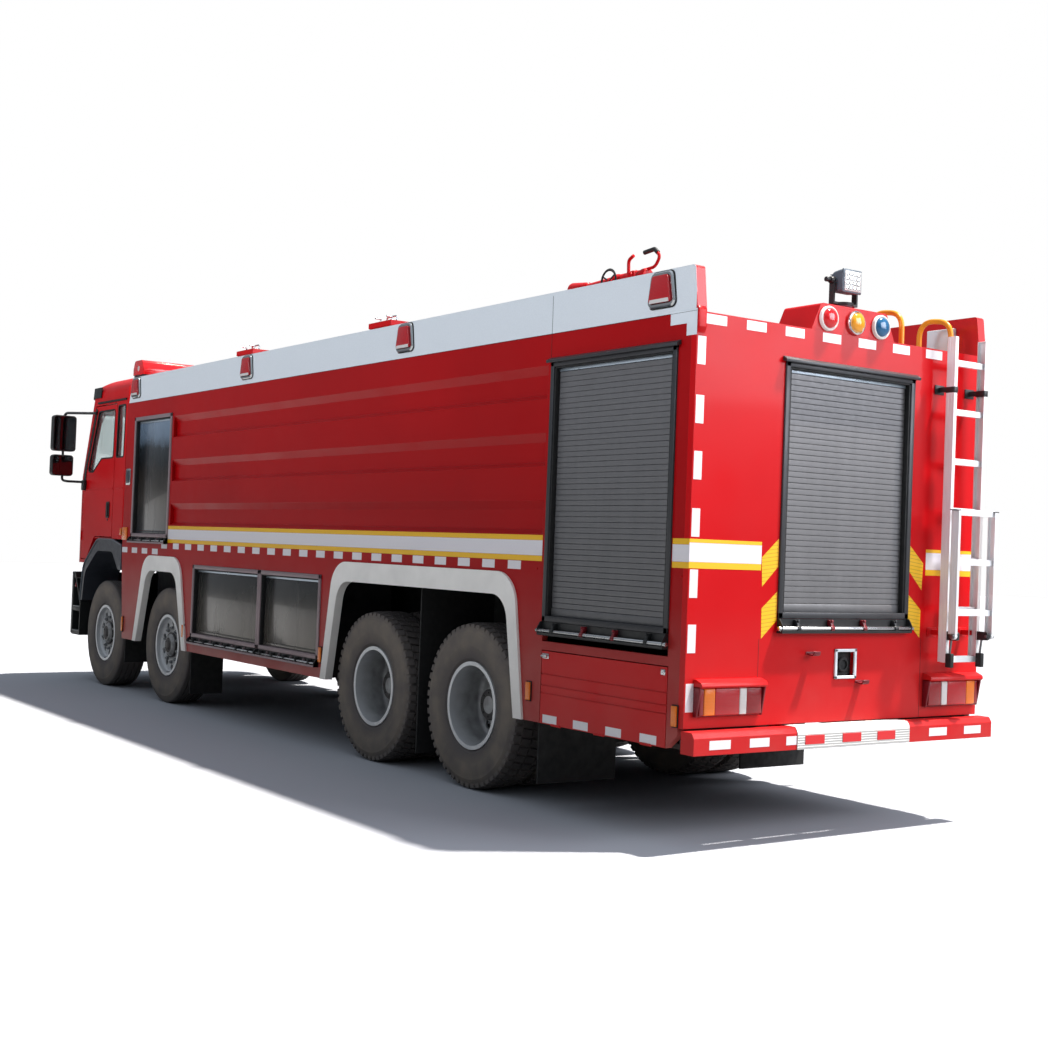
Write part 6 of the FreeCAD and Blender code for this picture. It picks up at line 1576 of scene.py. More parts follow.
class TRUCK_OT_rear_fittings(TruckOperator, bpy.types.Operator):
    """Bumper cover, bumper tapes, recess frame and socket, cable hooks and seams on the rear wall."""

    bl_idname = "truck.rear_fittings"
    bl_label = "Rear fittings"

    def cover(self, half, proud):
        """The ribbed extrusion that wraps the middle of the rear bumper."""
        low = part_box("rear_bumper")[0]
        face, base, top = low[0], low[2], low[2] + 0.125
        outline = [(REAR - 0.010, top - 0.002), (REAR - 0.010, top + proud)]
        along = REAR - 0.022
        while along > face + 0.034:
            outline += [(along, top + proud), (along - 0.003, top + proud + 0.0022),
                        (along - 0.006, top + proud)]
            along -= 0.018
        outline += [(face + 0.018, top + proud), (face + 0.004, top - 0.012), (face - proud, top - 0.030)]
        up = top - 0.036
        while up > base + 0.012:
            outline += [(face - proud, up), (face - proud - 0.0022, up - 0.003), (face - proud, up - 0.006)]
            up -= 0.0145
        outline += [(face - proud, base), (face - 0.0004, base), (face - 0.0004, top - 0.031),
                    (face + 0.016, top - 0.002)]
        return raised(outline, -half, half, "Y")

    def hook(self, across, height):
        """A curled cable hook: a back plate with a lip that turns up."""
        plate = slab((REAR - 0.006, across - 0.034, height - 0.008), (REAR, across + 0.034, height + 0.010),
                     0.003)
        lip = rounded([
            (REAR, height - 0.006), (REAR - 0.058, height - 0.014, 0.016),
            (REAR - 0.066, height + 0.016, 0.004),
            (REAR - 0.060, height + 0.016, 0.002), (REAR - 0.052, height - 0.006, 0.012),
            (REAR, height + 0.002),
        ], 4)
        return joined([plate, raised(lip, across - 0.026, across + 0.026, "Y", 0.002)])

    def execute(self, context):
        """Adds the fittings to the rear wall and bumper."""
        thick = self.sizes(context).tape_thick
        proud = 0.004
        piece("bumper_cover", self.cover(0.480, proud), FINISHES["cover"], BODY,
              smooth=25)
        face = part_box("rear_bumper")[0][0]
        reds = [
            slab((face - proud - 0.0032, middle - 0.079, 0.572), (face - proud, middle + 0.079, 0.624),
                 0.0006, 1)
            for middle in (0.340, 0.030, -0.270)
        ]
        piece("bumper_red_tapes", joined(reds), FINISHES["red_tape"], BODY)
        whites = [
            slab((face - thick, low, 0.574), (face, high, 0.624), thick * 0.4, 1)
            for low, high in ((0.997, 1.155), (0.700, 0.852), (0.484, 0.567), (-0.833, -0.666),
                              (-1.163, -1.000))
        ]
        piece("bumper_white_tapes", joined(whites), FINISHES["white"], BODY)
        bars = []
        for low, high in (((-0.112, 0.932), (0.074, 0.950)), ((-0.112, 1.092), (0.074, 1.110)),
                          ((-0.112, 0.932), (-0.092, 1.110)), ((0.054, 0.932), (0.074, 1.110))):
            bars.append(slab((REAR - 0.010, low[0], low[1]), (REAR + 0.002, high[0], high[1]), 0.003))
        piece("recess_frame", joined(bars), FINISHES["patch"], BODY)
        back = REAR + 0.0295
        inside = [
            slab((back - 0.003, -0.096, 0.946), (back, 0.058, 1.096), 0.001, 1),
            turned([(0, 0), (0, 0.044), (0.014, 0.044), (0.018, 0.040), (0.018, 0.030), (0.008, 0.028),
                    (0.008, 0)],
                   (back - 0.003, -0.019, 1.015), (-1, 0, 0), 32, closed=False),
        ]
        piece("recess_socket", joined(inside), FINISHES["gasket"], BODY)
        hooks = joined([self.hook(0.283, 1.086), self.hook(-0.143, 0.911)])
        piece("cable_hooks", hooks, FINISHES["hanger"], BODY)
        seams = [
            slab((REAR - 0.0008, -0.700, 0.680), (REAR, -0.6975, 1.170), 0.0002, 1),
            slab((REAR - 0.0008, 0.6975, 0.955), (REAR, 0.700, 1.170), 0.0002, 1),
        ]
        piece("rear_wall_seams", joined(seams), FINISHES["gasket"], BODY)
        return {"FINISHED"}


class TRUCK_OT_roof_lamps(TruckOperator, bpy.types.Operator):
    """Round warning lamps, lamp boxes behind the parapets and the searchlight's head."""

    bl_idname = "truck.roof_lamps"
    bl_label = "Roof lamps"

    def head(self):
        """The searchlight's finned casting, its axis along X, round its own middle."""
        half, rise = 0.080, 0.071
        rings = [(0.048, 0.62), (0.044, 0.80), (0.020, 0.92), (-0.030, 1.0), (-0.058, 1.0)]
        shape = bmesh.new()
        loops = []
        for along, share in rings:
            outline = rounded([
                (-half * share, -rise * share, 0.022), (half * share, -rise * share, 0.022),
                (half * share, rise * share, 0.022), (-half * share, rise * share, 0.022),
            ], 5)
            loops.append([shape.verts.new((along, y, z)) for y, z in outline])
        for first, second in zip(loops, loops[1:]):
            for here in range(len(first)):
                after = (here + 1) % len(first)
                shape.faces.new((first[here], first[after], second[after], second[here]))
        shape.faces.new(loops[0])
        shape.faces.new(loops[-1])
        bmesh.ops.recalc_face_normals(shape, faces=shape.faces)
        return shape

    def execute(self, context):
        """Adds the lamps; the searchlight's head tips with its own body."""
        for kind, across in (("red", 0.225), ("amber", -0.008), ("blue", -0.229)):
            at = (REAR, across, 3.066)
            trim = turned([(-0.002, 0.074), (0.012, 0.074), (0.020, 0.070), (0.022, 0.064), (0.016, 0.060),
                           (0.014, 0.056), (-0.002, 0.056)], at, (-1, 0, 0), 48)
            finish = "chrome" if kind == "amber" else "arch"
            piece(f"{kind}_lamp_bezel", trim, FINISHES[finish], BODY)
            lamp = dome((REAR - 0.010, across, 3.066), (-1, 0, 0), 0.057, 0.034, 8, 40)
            piece(f"{kind}_lamp_dome", lamp, FINISHES[f"{kind}_dome"], BODY, smooth=60)
        boxes = []
        for at in (REAR + 0.300, REAR + 3.170, REAR + 5.900, BODY_FRONT - 0.240):
            boxes.append(slab((at - 0.110, SIDE - 0.100, TOP + 0.040),
                              (at + 0.110, SIDE - 0.070, TOP + 0.200), 0.006, 3))
        piece("parapet_lamp_boxes", both_sides(joined(boxes)), FINISHES["patch"], BODY)
        centre = Vector(JOINTS["searchlight_tilt"]["pos_m"])
        parts = [moved(self.head(), centre)]
        for number in range(6):
            lift = -0.050 + 0.020 * number
            fin = slab((0.020, -0.055, lift - 0.002), (0.064, 0.055, lift + 0.002), 0.001, 1)
            parts.append(moved(fin, centre))
        for side in (1, -1):
            parts.append(rod(centre + Vector((0, side * 0.078, 0)), centre + Vector((0, side * 0.104, 0)),
                             0.0155, bevel=0.002))
        parts.append(moved(slab((-0.071, -0.082, -0.073), (-0.056, 0.082, 0.073), 0.010, 3), centre))
        piece("searchlight_casting", joined(parts), FINISHES["lamp_grey"], "searchlight_tip",
              ("searchlight_head",))
        knob = joined([
            rod(centre + Vector((0.0, 0.100, 0.004)), centre + Vector((0.0, 0.124, 0.004)), 0.024, 0.020,
                20, 0.003),
            rod(centre + Vector((0.0, 0.122, 0.004)), centre + Vector((0.0, 0.158, 0.004)), 0.013, 0.016,
                20, 0.003),
        ])
        piece("searchlight_knob", knob, FINISHES["trim"], "searchlight_tip")
        glass = moved(slab((-0.0760, -0.070, -0.061), (-0.0700, 0.070, 0.061), 0.004, 3), centre)
        piece("searchlight_cover", glass, FINISHES["clear_lens"], "searchlight_tip")
        cell = turned([(-0.0010, 0.0), (-0.0010, 0.0125), (0.0022, 0.0125), (0.0032, 0.0095), (0.0032, 0.0)],
                      (0, 0, 0), (-1, 0, 0), 12, closed=False)
        moved(cell, centre + Vector((-0.0762, -0.048, -0.042)))
        line = row(cell, FINISHES["chrome"], 4, (0, 0.032, 0))
        grid = row(line, FINISHES["chrome"], 4, (0, 0, 0.028))
        piece("searchlight_cells", grid, FINISHES["chrome"], "searchlight_tip")
        base = Vector(JOINTS["searchlight_pan"]["pos_m"])
        collar = turned([(-0.018, 0.0), (-0.018, 0.052), (-0.012, 0.056), (-0.002, 0.056), (-0.002, 0.0)],
                        base, (0, 0, 1),
                        36, closed=False)
        piece("searchlight_collar", collar, FINISHES["lamp_grey"], BODY)
        return {"FINISHED"}


class TRUCK_OT_monitor(TruckOperator, bpy.types.Operator):
    """Foam monitor's barrel with its handle, and the hatch clamps."""

    bl_idname = "truck.monitor"
    bl_label = "Roof monitor"

    def execute(self, context):
        """Replaces the barrel and adds fittings to the turret and the lids."""
        pivot = Vector(JOINTS["monitor_tilt"]["pos_m"])
        back = pivot.x - 0.090
        profile = [
            (0.0, 0.0), (0.0, 0.050), (0.008, 0.058), (0.020, 0.062), (0.040, 0.062), (0.046, 0.056),
            (0.130, 0.056),
            (0.138, 0.064), (0.156, 0.064), (0.164, 0.056), (0.320, 0.054), (0.330, 0.060), (0.346, 0.060),
            (0.352, 0.050),
            (0.680, 0.034), (0.690, 0.045), (0.710, 0.047), (0.870, 0.062), (0.880, 0.060), (0.880, 0.052),
            (0.740, 0.036),
            (0.735, 0.0),
        ]
        barrel = turned(profile, (back, 0, pivot.z), (1, 0, 0), 40, closed=False)
        pin = rod((pivot.x, -0.104, pivot.z), (pivot.x, 0.104, pivot.z), 0.0155, bevel=0.003)
        caps = [rod((pivot.x, side * 0.092, pivot.z), (pivot.x, side * 0.106, pivot.z), 0.030, 0.026, 24,
                    0.003)
                for side in (1, -1)]
        hub = Vector((pivot.x + 0.260, 0.082, pivot.z))
        wheel = turned([(-0.010, 0.082), (0.0, 0.092), (0.010, 0.082), (0.0, 0.072)], hub, (0, 1, 0), 36)
        spokes = [rod(hub, hub + Vector((0.078 * math.cos(turn), 0, 0.078 * math.sin(turn))), 0.006)
                  for turn in (0.5, 2.6, 4.7)]
        shaft = rod((hub.x, 0.05, hub.z), (hub.x, 0.092, hub.z), 0.014, bevel=0.002)
        lift = [(back + 0.060, 0.0, pivot.z + 0.050), (back - 0.070, 0.0, pivot.z + 0.060),
                (back - 0.125, 0.0, pivot.z + 0.130), (back - 0.060, 0.0, pivot.z + 0.188),
                (back + 0.050, 0.0, pivot.z + 0.176)]
        lever = swept(bent(lift, 0.070, 8), 0.0115, 14)
        knee = swept(bent([(back + 0.200, 0.02, pivot.z + 0.045), (back + 0.205, 0.02, pivot.z + 0.140),
                           (back + 0.150, 0.02, pivot.z + 0.166)], 0.04, 6), 0.0125, 14)
        piece("monitor_tube", joined([barrel, pin, shaft, lever, knee] + caps), FINISHES["red"],
              "monitor_rise",
              ("monitor_barrel",), 40)
        grip = swept(bent([(back - 0.096, 0.0, pivot.z + 0.156), (back - 0.060, 0.0, pivot.z + 0.187),
                           (back + 0.052, 0.0, pivot.z + 0.1765)], 0.03, 6), 0.0165, 16)
        piece("monitor_grip", joined([grip, wheel] + spokes), FINISHES["trim"], "monitor_rise",
              (), 50)
        base = Vector(JOINTS["monitor_pan"]["pos_m"])
        bolt = rod((0, -0.004, 0.075), (0, 0.010, 0.075), 0.009, sides=6)
        bolts = ring(bolt, FINISHES["zinc"], 8)
        bmesh.ops.transform(bolts, matrix=Matrix.Rotation(math.radians(90), 4, "X"), verts=bolts.verts)
        moved(bolts, (base.x, 0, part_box("monitor_turret")[0][2] + 0.039))
        piece("turret_bolts", bolts, FINISHES["zinc"], "monitor_turn")
        foot = rod((0, -0.002, 0.128), (0, 0.014, 0.128), 0.012, sides=6)
        feet = ring(foot, FINISHES["zinc"], 8)
        bmesh.ops.transform(feet, matrix=Matrix.Rotation(math.radians(90), 4, "X"), verts=feet.verts)
        moved(feet, (base.x, 0, DECK + 0.036))
        piece("riser_bolts", feet, FINISHES["zinc"], BODY)
        for end in ("rear", "front"):
            low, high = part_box(f"hatch_lid_{end}")
            clamps = []
            for share in (0.25, 0.75):
                at = low[0] + (high[0] - low[0]) * share
                path = [(at, high[1] - 0.060, high[2] + 0.001), (at, high[1] - 0.060, high[2] + 0.030),
                        (at, high[1] - 0.010, high[2] + 0.030)]
                clamps.append(swept(bent(path, 0.016), 0.007, 12))
                clamps.append(dome((at, high[1] - 0.060, high[2]), (0, 0, 1), 0.020, 0.010, 4, 20))
            handle = [(low[0] + 0.10, high[1] - 0.11, high[2]),
                      (low[0] + 0.10, high[1] - 0.11, high[2] + 0.045),
                      (high[0] - 0.10, high[1] - 0.11, high[2] + 0.045),
                      (high[0] - 0.10, high[1] - 0.11, high[2])]
            clamps.append(swept(bent(handle, 0.02), 0.007, 12))
            piece(f"hatch_handles_{end}", joined(clamps), FINISHES["tube"], f"hatch_{end}")
        return {"FINISHED"}


class TRUCK_OT_hoops(TruckOperator, bpy.types.Operator):
    """Orange hand hoops of round tube on the roof."""

    bl_idname = "truck.hoops"
    bl_label = "Hand hoops"

    def execute(self, context):
        """Bends two tubes and puts a foot under each end."""
        radius = 0.017
        parts = []
        for across in (-0.510, -0.980):
            start, end, top = REAR + 0.057 + radius, REAR + 0.347 - radius, TOP + 0.255 - radius
            path = bent([(start, across, DECK), (start, across, top - 0.030), (end, across, top),
                         (end, across, DECK)],
                        0.110, 10)
            parts.append(swept(path, radius, 20))
            for station in (start, end):
                parts.append(slab((station - 0.032, across - 0.032, DECK),
                                  (station + 0.032, across + 0.032, DECK + 0.008),
                                  0.003))
        piece("hand_hoops", joined(parts), FINISHES["hoop"], BODY, ("roof_hoops",), 50)
        return {"FINISHED"}


class TRUCK_OT_ladder(TruckOperator, bpy.types.Operator):
    """Rear ladder of channel rails and ribbed flat rungs, with its folding lower section."""

    bl_idname = "truck.ladder"
    bl_label = "Ladder"

    def rail(self, across, side, width, front, back, low, high, wall=0.004):
        """A channel rail open towards the ladder's middle, with two shallow grooves in its web."""
        outer = across + side * width
        outline = [
            (front, across), (front, outer), (front - 0.018, outer), (front - 0.020, outer - side * 0.0015),
            (front - 0.022, outer), (back + 0.022, outer), (back + 0.020, outer - side * 0.0015),
            (back + 0.018, outer),
            (back, outer), (back, across), (back + wall, across), (back + wall, outer - side * wall),
            (front - wall, outer - side * wall), (front - wall, across),
        ]
        return raised(outline, low, high, "Z")

    def rung(self, middle, half, at, height, depth=0.030, tall=0.037):
        """A flat rung with anti-slip ribs along its top."""
        low, high = height - tall / 2, height + tall / 2
        outline = [(at - depth / 2, low), (at + depth / 2, low), (at + depth / 2, high)]
        along = at + depth / 2 - 0.003
        while along > at - depth / 2 + 0.006:
            outline += [(along, high), (along - 0.0015, high + 0.0022), (along - 0.003, high)]
            along -= 0.006
        outline.append((at - depth / 2, high))
        return raised(outline, middle - half, middle + half, "Y")

    def execute(self, context):
        """Makes the fixed section and the section that folds."""
        middle = sum(point[1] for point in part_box("ladder_upper")) / 2
        pivot = Vector(JOINTS["ladder_fold_hinge"]["pos_m"])
        front, back = REAR - 0.068, REAR - 0.130
        foot, top = 1.030, TOP + 0.070
        rails, rungs, brackets, reds, feet, pins = [], [], [], [], [], []
        for side in (1, -1):
            inner, outer = middle + side * 0.132, middle + side * 0.160
            rails.append(self.rail(inner, side, 0.028, front, back, foot, top))
            rails.append(raised([(front, inner), (front, outer), (back, outer), (back, inner)], top,
                                top + 0.004, "Z", 0.001, 1))
            for height in (1.209, 2.735):
                strip = slab((front - 0.010, min(inner, outer) + 0.004, height - 0.016),
                             (REAR, max(inner, outer) - 0.004, height + 0.016), 0.003)
                (reds if height < 2 else brackets).append(strip)
                pad = slab((REAR - 0.006, min(inner, outer) - 0.030, height - 0.030),
                           (REAR, max(inner, outer) + 0.030, height + 0.030), 0.003)
                (reds if height < 2 else brackets).append(pad)
            clip = slab((back - 0.006, min(inner, outer) - 0.003, 2.712),
                        (front + 0.006, max(inner, outer) + 0.003, 2.750),
                        0.004)
            brackets.append(clip)
            block = rounded([
                (back + 0.010, pivot.z - 0.028), (pivot.x - 0.012, pivot.z - 0.026, 0.014),
                (pivot.x - 0.012, pivot.z + 0.026, 0.014), (back + 0.010, pivot.z + 0.028),
            ], 4)
            brackets.append(raised(block, min(inner, outer) + 0.003, max(inner, outer) - 0.003, "Y", 0.002))
            pins.append(rod((pivot.x, inner, pivot.z), (pivot.x, middle + side * 0.194, pivot.z), 0.0095,
                            bevel=0.001))
            pins.append(rod((pivot.x, middle + side * 0.1885, pivot.z),
                            (pivot.x, middle + side * 0.200, pivot.z), 0.017,
                            sides=6, bevel=0.002))
            feet.append(slab((back - 0.040, min(inner, outer) - 0.004, 0.998),
                             (back + 0.004, max(inner, outer) + 0.002, 1.086),
                             0.006, 3))
            pins.append(rod((back - 0.030, middle + side * 0.146, pivot.z - 0.020),
                            (back - 0.018, middle + side * 0.146, 1.080), 0.007))
        for number in range(7):
            rungs.append(self.rung(middle, 0.157, (front + back) / 2, 1.031 + 0.014 + 0.3095 * number))
        piece("ladder_rails", joined(rails), FINISHES["ladder"], BODY,
              ("ladder_upper",), 25)
        piece("ladder_rungs", joined(rungs), FINISHES["rung"], BODY, (), 25)
        piece("ladder_brackets", joined(brackets), FINISHES["trim"], BODY)
        piece("ladder_stays", joined(reds), FINISHES["red"], BODY)
        piece("ladder_end_stops", joined(feet), FINISHES["gasket"], BODY)
        piece("ladder_pins", joined(pins), FINISHES["steel"], BODY)
        lower, steps, ends = [], [], []
        head = pivot.z + 0.780
        for side in (1, -1):
            inner = middle + side * 0.166
            lower.append(self.rail(inner, side, 0.021, pivot.x + 0.036, pivot.x - 0.019, pivot.z + 0.014,
                                   head))
            low, high = sorted((inner, inner + side * 0.021))
            lower.append(turned([(low - middle, 0.0105), (low - middle, 0.019), (high - middle, 0.019),
                                 (high - middle, 0.0105)], (pivot.x, middle, pivot.z), (0, 1, 0), 28))
            ends.append(slab((pivot.x - 0.019, low - 0.002 - (0.016 if side < 0 else 0), head),
                             (pivot.x + 0.038, high + 0.002 + (0.016 if side > 0 else 0), head + 0.006),
                             0.002))
        for height in (1.345, 1.659, 1.968):
            steps.append(self.rung(middle, 0.184, pivot.x + 0.008, height - 0.004, 0.026))
        piece("folding_rails", joined(lower), FINISHES["ladder"], "ladder_fold",
              ("ladder_lower",), 25)
        piece("folding_rungs", joined(steps), FINISHES["rung"], "ladder_fold", (), 25)
        piece("folding_caps", joined(ends), FINISHES["trim"], "ladder_fold")
        return {"FINISHED"}


class TRUCK_OT_side_fittings(TruckOperator, bpy.types.Operator):
    """Side marker lamps, latches and panel screws along the body."""

    bl_idname = "truck.side_fittings"
    bl_label = "Side fittings"

    def execute(self, context):
        """Adds the fittings to both sides and the latches to the drop panels."""
        lenses, seats = [], []
        for station, low, high in ((0.065, 0.685, 0.800), (1.463, 0.685, 0.800), (4.305, 0.680, 0.800),
                                   (7.100, 0.680, 0.800)):
            at = REAR + station
            seats.append(slab((at - 0.027, SIDE, low - 0.006), (at + 0.027, SIDE + 0.008, high + 0.006),
                              0.003))
            lenses.append(slab((at - 0.022, SIDE + 0.004, low), (at + 0.022, SIDE + 0.020, high), 0.006, 3))
        at = BODY_FRONT - 0.115
        seats.append(slab((at - 0.020, SIDE, 0.624), (at + 0.020, SIDE + 0.008, 0.786), 0.003))
        lenses.append(slab((at - 0.016, SIDE + 0.004, 0.630), (at + 0.016, SIDE + 0.018, 0.780), 0.005, 3))
        piece("side_marker_lenses", both_sides(joined(lenses)), FINISHES["amber_lens"], BODY)
        piece("side_marker_seats", both_sides(joined(seats)), FINISHES["gasket"], BODY)
        start, end = BODY_FRONT - 0.170, BODY_FRONT - 0.040
        latch = rounded([(start, 2.140, 0.02), (end, 2.140, 0.02), (end, 2.310, 0.02),
                         (start, 2.310, 0.02)], 4)
        start, end = start + 0.020, end - 0.020
        middle = rounded([(start, 2.160, 0.012), (end, 2.160, 0.012), (end, 2.290, 0.012),
                          (start, 2.290, 0.012)], 4)
        corner = slab((BODY_FRONT - 0.140, SIDE, 1.572), (BODY_FRONT - 0.004, SIDE + 0.012, 1.703), 0.004)
        piece("column_markers", both_sides(corner), FINISHES["amber_lens"], BODY)
        piece("column_latch_bezels", both_sides(raised(latch, SIDE, SIDE + 0.008, "Y", 0.003)),
              FINISHES["chrome"], BODY)
        piece("column_latch_centres", both_sides(raised(middle, SIDE + 0.006, SIDE + 0.011, "Y", 0.002)),
              FINISHES["fender"], BODY)
        for side, hand in LEFT_RIGHT:
            low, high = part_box(f"drop_panel_{side}")
            sleeve = joined([
                rod((high[0] - 0.070, SIDE + 0.012, high[2] - 0.030),
                    (high[0] - 0.014, SIDE + 0.012, high[2] - 0.030), 0.010,
                    bevel=0.002),
                slab((high[0] - 0.076, SIDE, high[2] - 0.046),
                     (high[0] - 0.008, SIDE + 0.006, high[2] - 0.014), 0.002),
                slab((low[0] + 0.014, SIDE, high[2] - 0.046),
                     (low[0] + 0.052, SIDE + 0.005, high[2] - 0.014), 0.002),
                turned([(0.004, 0.012), (0.010, 0.012), (0.010, 0.006), (0.004, 0.006)],
                       (low[0] + 0.033, SIDE, high[2] - 0.030), (0, 1, 0), 20),
            ])
            piece(f"drop_latches_{side}", sided(sleeve, hand), FINISHES["chrome"], f"drop_{side}")
        bolts = rod((0, SIDE, 0), (0, SIDE + 0.005, 0), 0.006, sides=12, bevel=0.001)
        edge = FINISHES["red"]
        upper = row(moved(bolts, (REAR + 1.43, 0, 1.515)), edge, 2, (-1.375, 0, 0))
        piece("panel_screws", both_sides(upper), edge, BODY)
        return {"FINISHED"}


def wall_at(height):
    """How far out the cab's side stands at a height."""
    return CAB_SIDE - 0.0106 * max(0.0, height - 2.35)


DOOR_WINDOW = (
    (CAB_FRONT - 0.545, 2.300, 0.04), (CAB_FRONT - 0.820, 2.955, 0.04), (CAB_FRONT - 1.328, 2.955, 0.04),
    (CAB_FRONT - 1.328, 2.440, 0.04), (CAB_FRONT - 0.970, 2.440, 0.06), (CAB_FRONT - 0.720, 2.300, 0.06),
)
QUARTER_WINDOW = (
    (CAB_FRONT - 1.638, 2.440, 0.025), (CAB_FRONT - 1.420, 2.440, 0.025), (CAB_FRONT - 1.420, 2.990, 0.025),
    (CAB_FRONT - 1.638, 2.990, 0.025),
)


class TRUCK_OT_cab_windows(TruckOperator, bpy.types.Operator):
    """Door panes, window gaskets, pillar trim and wipers."""

    bl_idname = "truck.cab_windows"
    bl_label = "Cab windows"

    def gasket(self, outline):
        """A rubber section pressed round an opening in the cab's side."""
        shape = ribbon(rounded(outline, 5), 0.014, -0.014, 0.004, "Y", closed=True)
        for vertex in shape.verts:
            vertex.co.y += wall_at(vertex.co.z)
        return shape

    def across_front(self, height, reach, count=24):
        """Places along the cab's front at a height, found on its skin."""
        skin = surface("cab_shell")
        return [
            skin.ray_cast(Vector((CAB_FRONT + 2, across, height)), Vector((-1, 0, 0)))[0]
            for across in (reach * (2 * step / count - 1) for step in range(count + 1))
        ]

    def wiper(self, across, lean):
        """An arm and a blade lying on the windscreen."""
        skin = surface("cab_glass")
        path = []
        for share in (0.0, 0.25, 0.5, 0.75, 1.0):
            start = Vector((CAB_FRONT + 2, across + lean * share, 2.215 + 0.52 * share))
            path.append(skin.ray_cast(start, Vector((-1, 0, 0)))[0] + Vector((0.016, 0, 0)))
        blade = []
        for share in (-0.5, -0.25, 0.0, 0.25, 0.5):
            start = Vector((CAB_FRONT + 2, across + lean * 0.85 + 0.05 * share, 2.62 + 0.52 * share))
            blade.append(skin.ray_cast(start, Vector((-1, 0, 0)))[0] + Vector((0.008, 0, 0)))
        return joined([swept(path, 0.006, 8), swept(blade, 0.008, 8),
                       rod(path[0], path[0] + Vector((0.02, 0, -0.02)),
                                                                          0.018, bevel=0.003)])

    def execute(self, context):
        """Makes the panes that ride on the doors and the trim round every window."""
        grown = [(x + (0.02 if x > CAB_FRONT - 1.0 else -0.02), z + (0.02 if z > 2.6 else -0.02))
                 for x, z, _ in DOOR_WINDOW]
        for side, hand in LEFT_RIGHT:
            pane = raised(grown, 1.214, 1.219)
            piece(f"door_pane_{side}", sided(pane, hand), FINISHES["glass"], f"door_{side}")
            strip = ribbon(divided([(CAB_FRONT - 0.452, 2.19), (CAB_FRONT - 0.480, 2.31),
                                    (CAB_FRONT - 0.757, 2.985)],
                                   0.05), 0.058, -0.004, 0.006, "Y")
            strip = draped(strip, surface("cab_door_left", "cab_shell"), "Y", 1)
            rubber = joined([self.gasket(DOOR_WINDOW), strip])
            piece(f"door_gaskets_{side}", sided(rubber, hand), FINISHES["gasket"], f"door_{side}")
        parts = [both_sides(self.gasket(QUARTER_WINDOW))]
        for height in (2.172, 2.978):
            places = self.across_front(height, 1.085)
            parts.append(swept([place + Vector((-0.002, 0, 0)) for place in places], 0.013, 8))
        for hand in (1, -1):
            skin = surface("cab_shell")
            path = [
                skin.ray_cast(Vector((CAB_FRONT + 2, hand * 1.085, 2.172 + 0.0806 * step)),
                              Vector((-1, 0, 0)))[0]
                for step in range(11)
            ]
            parts.append(swept(path, 0.013, 8))
        parts += [self.wiper(-0.75, 0.42), self.wiper(0.15, 0.42)]
        piece("cab_window_gaskets", joined(parts), FINISHES["gasket"], CAB)
        return {"FINISHED"}


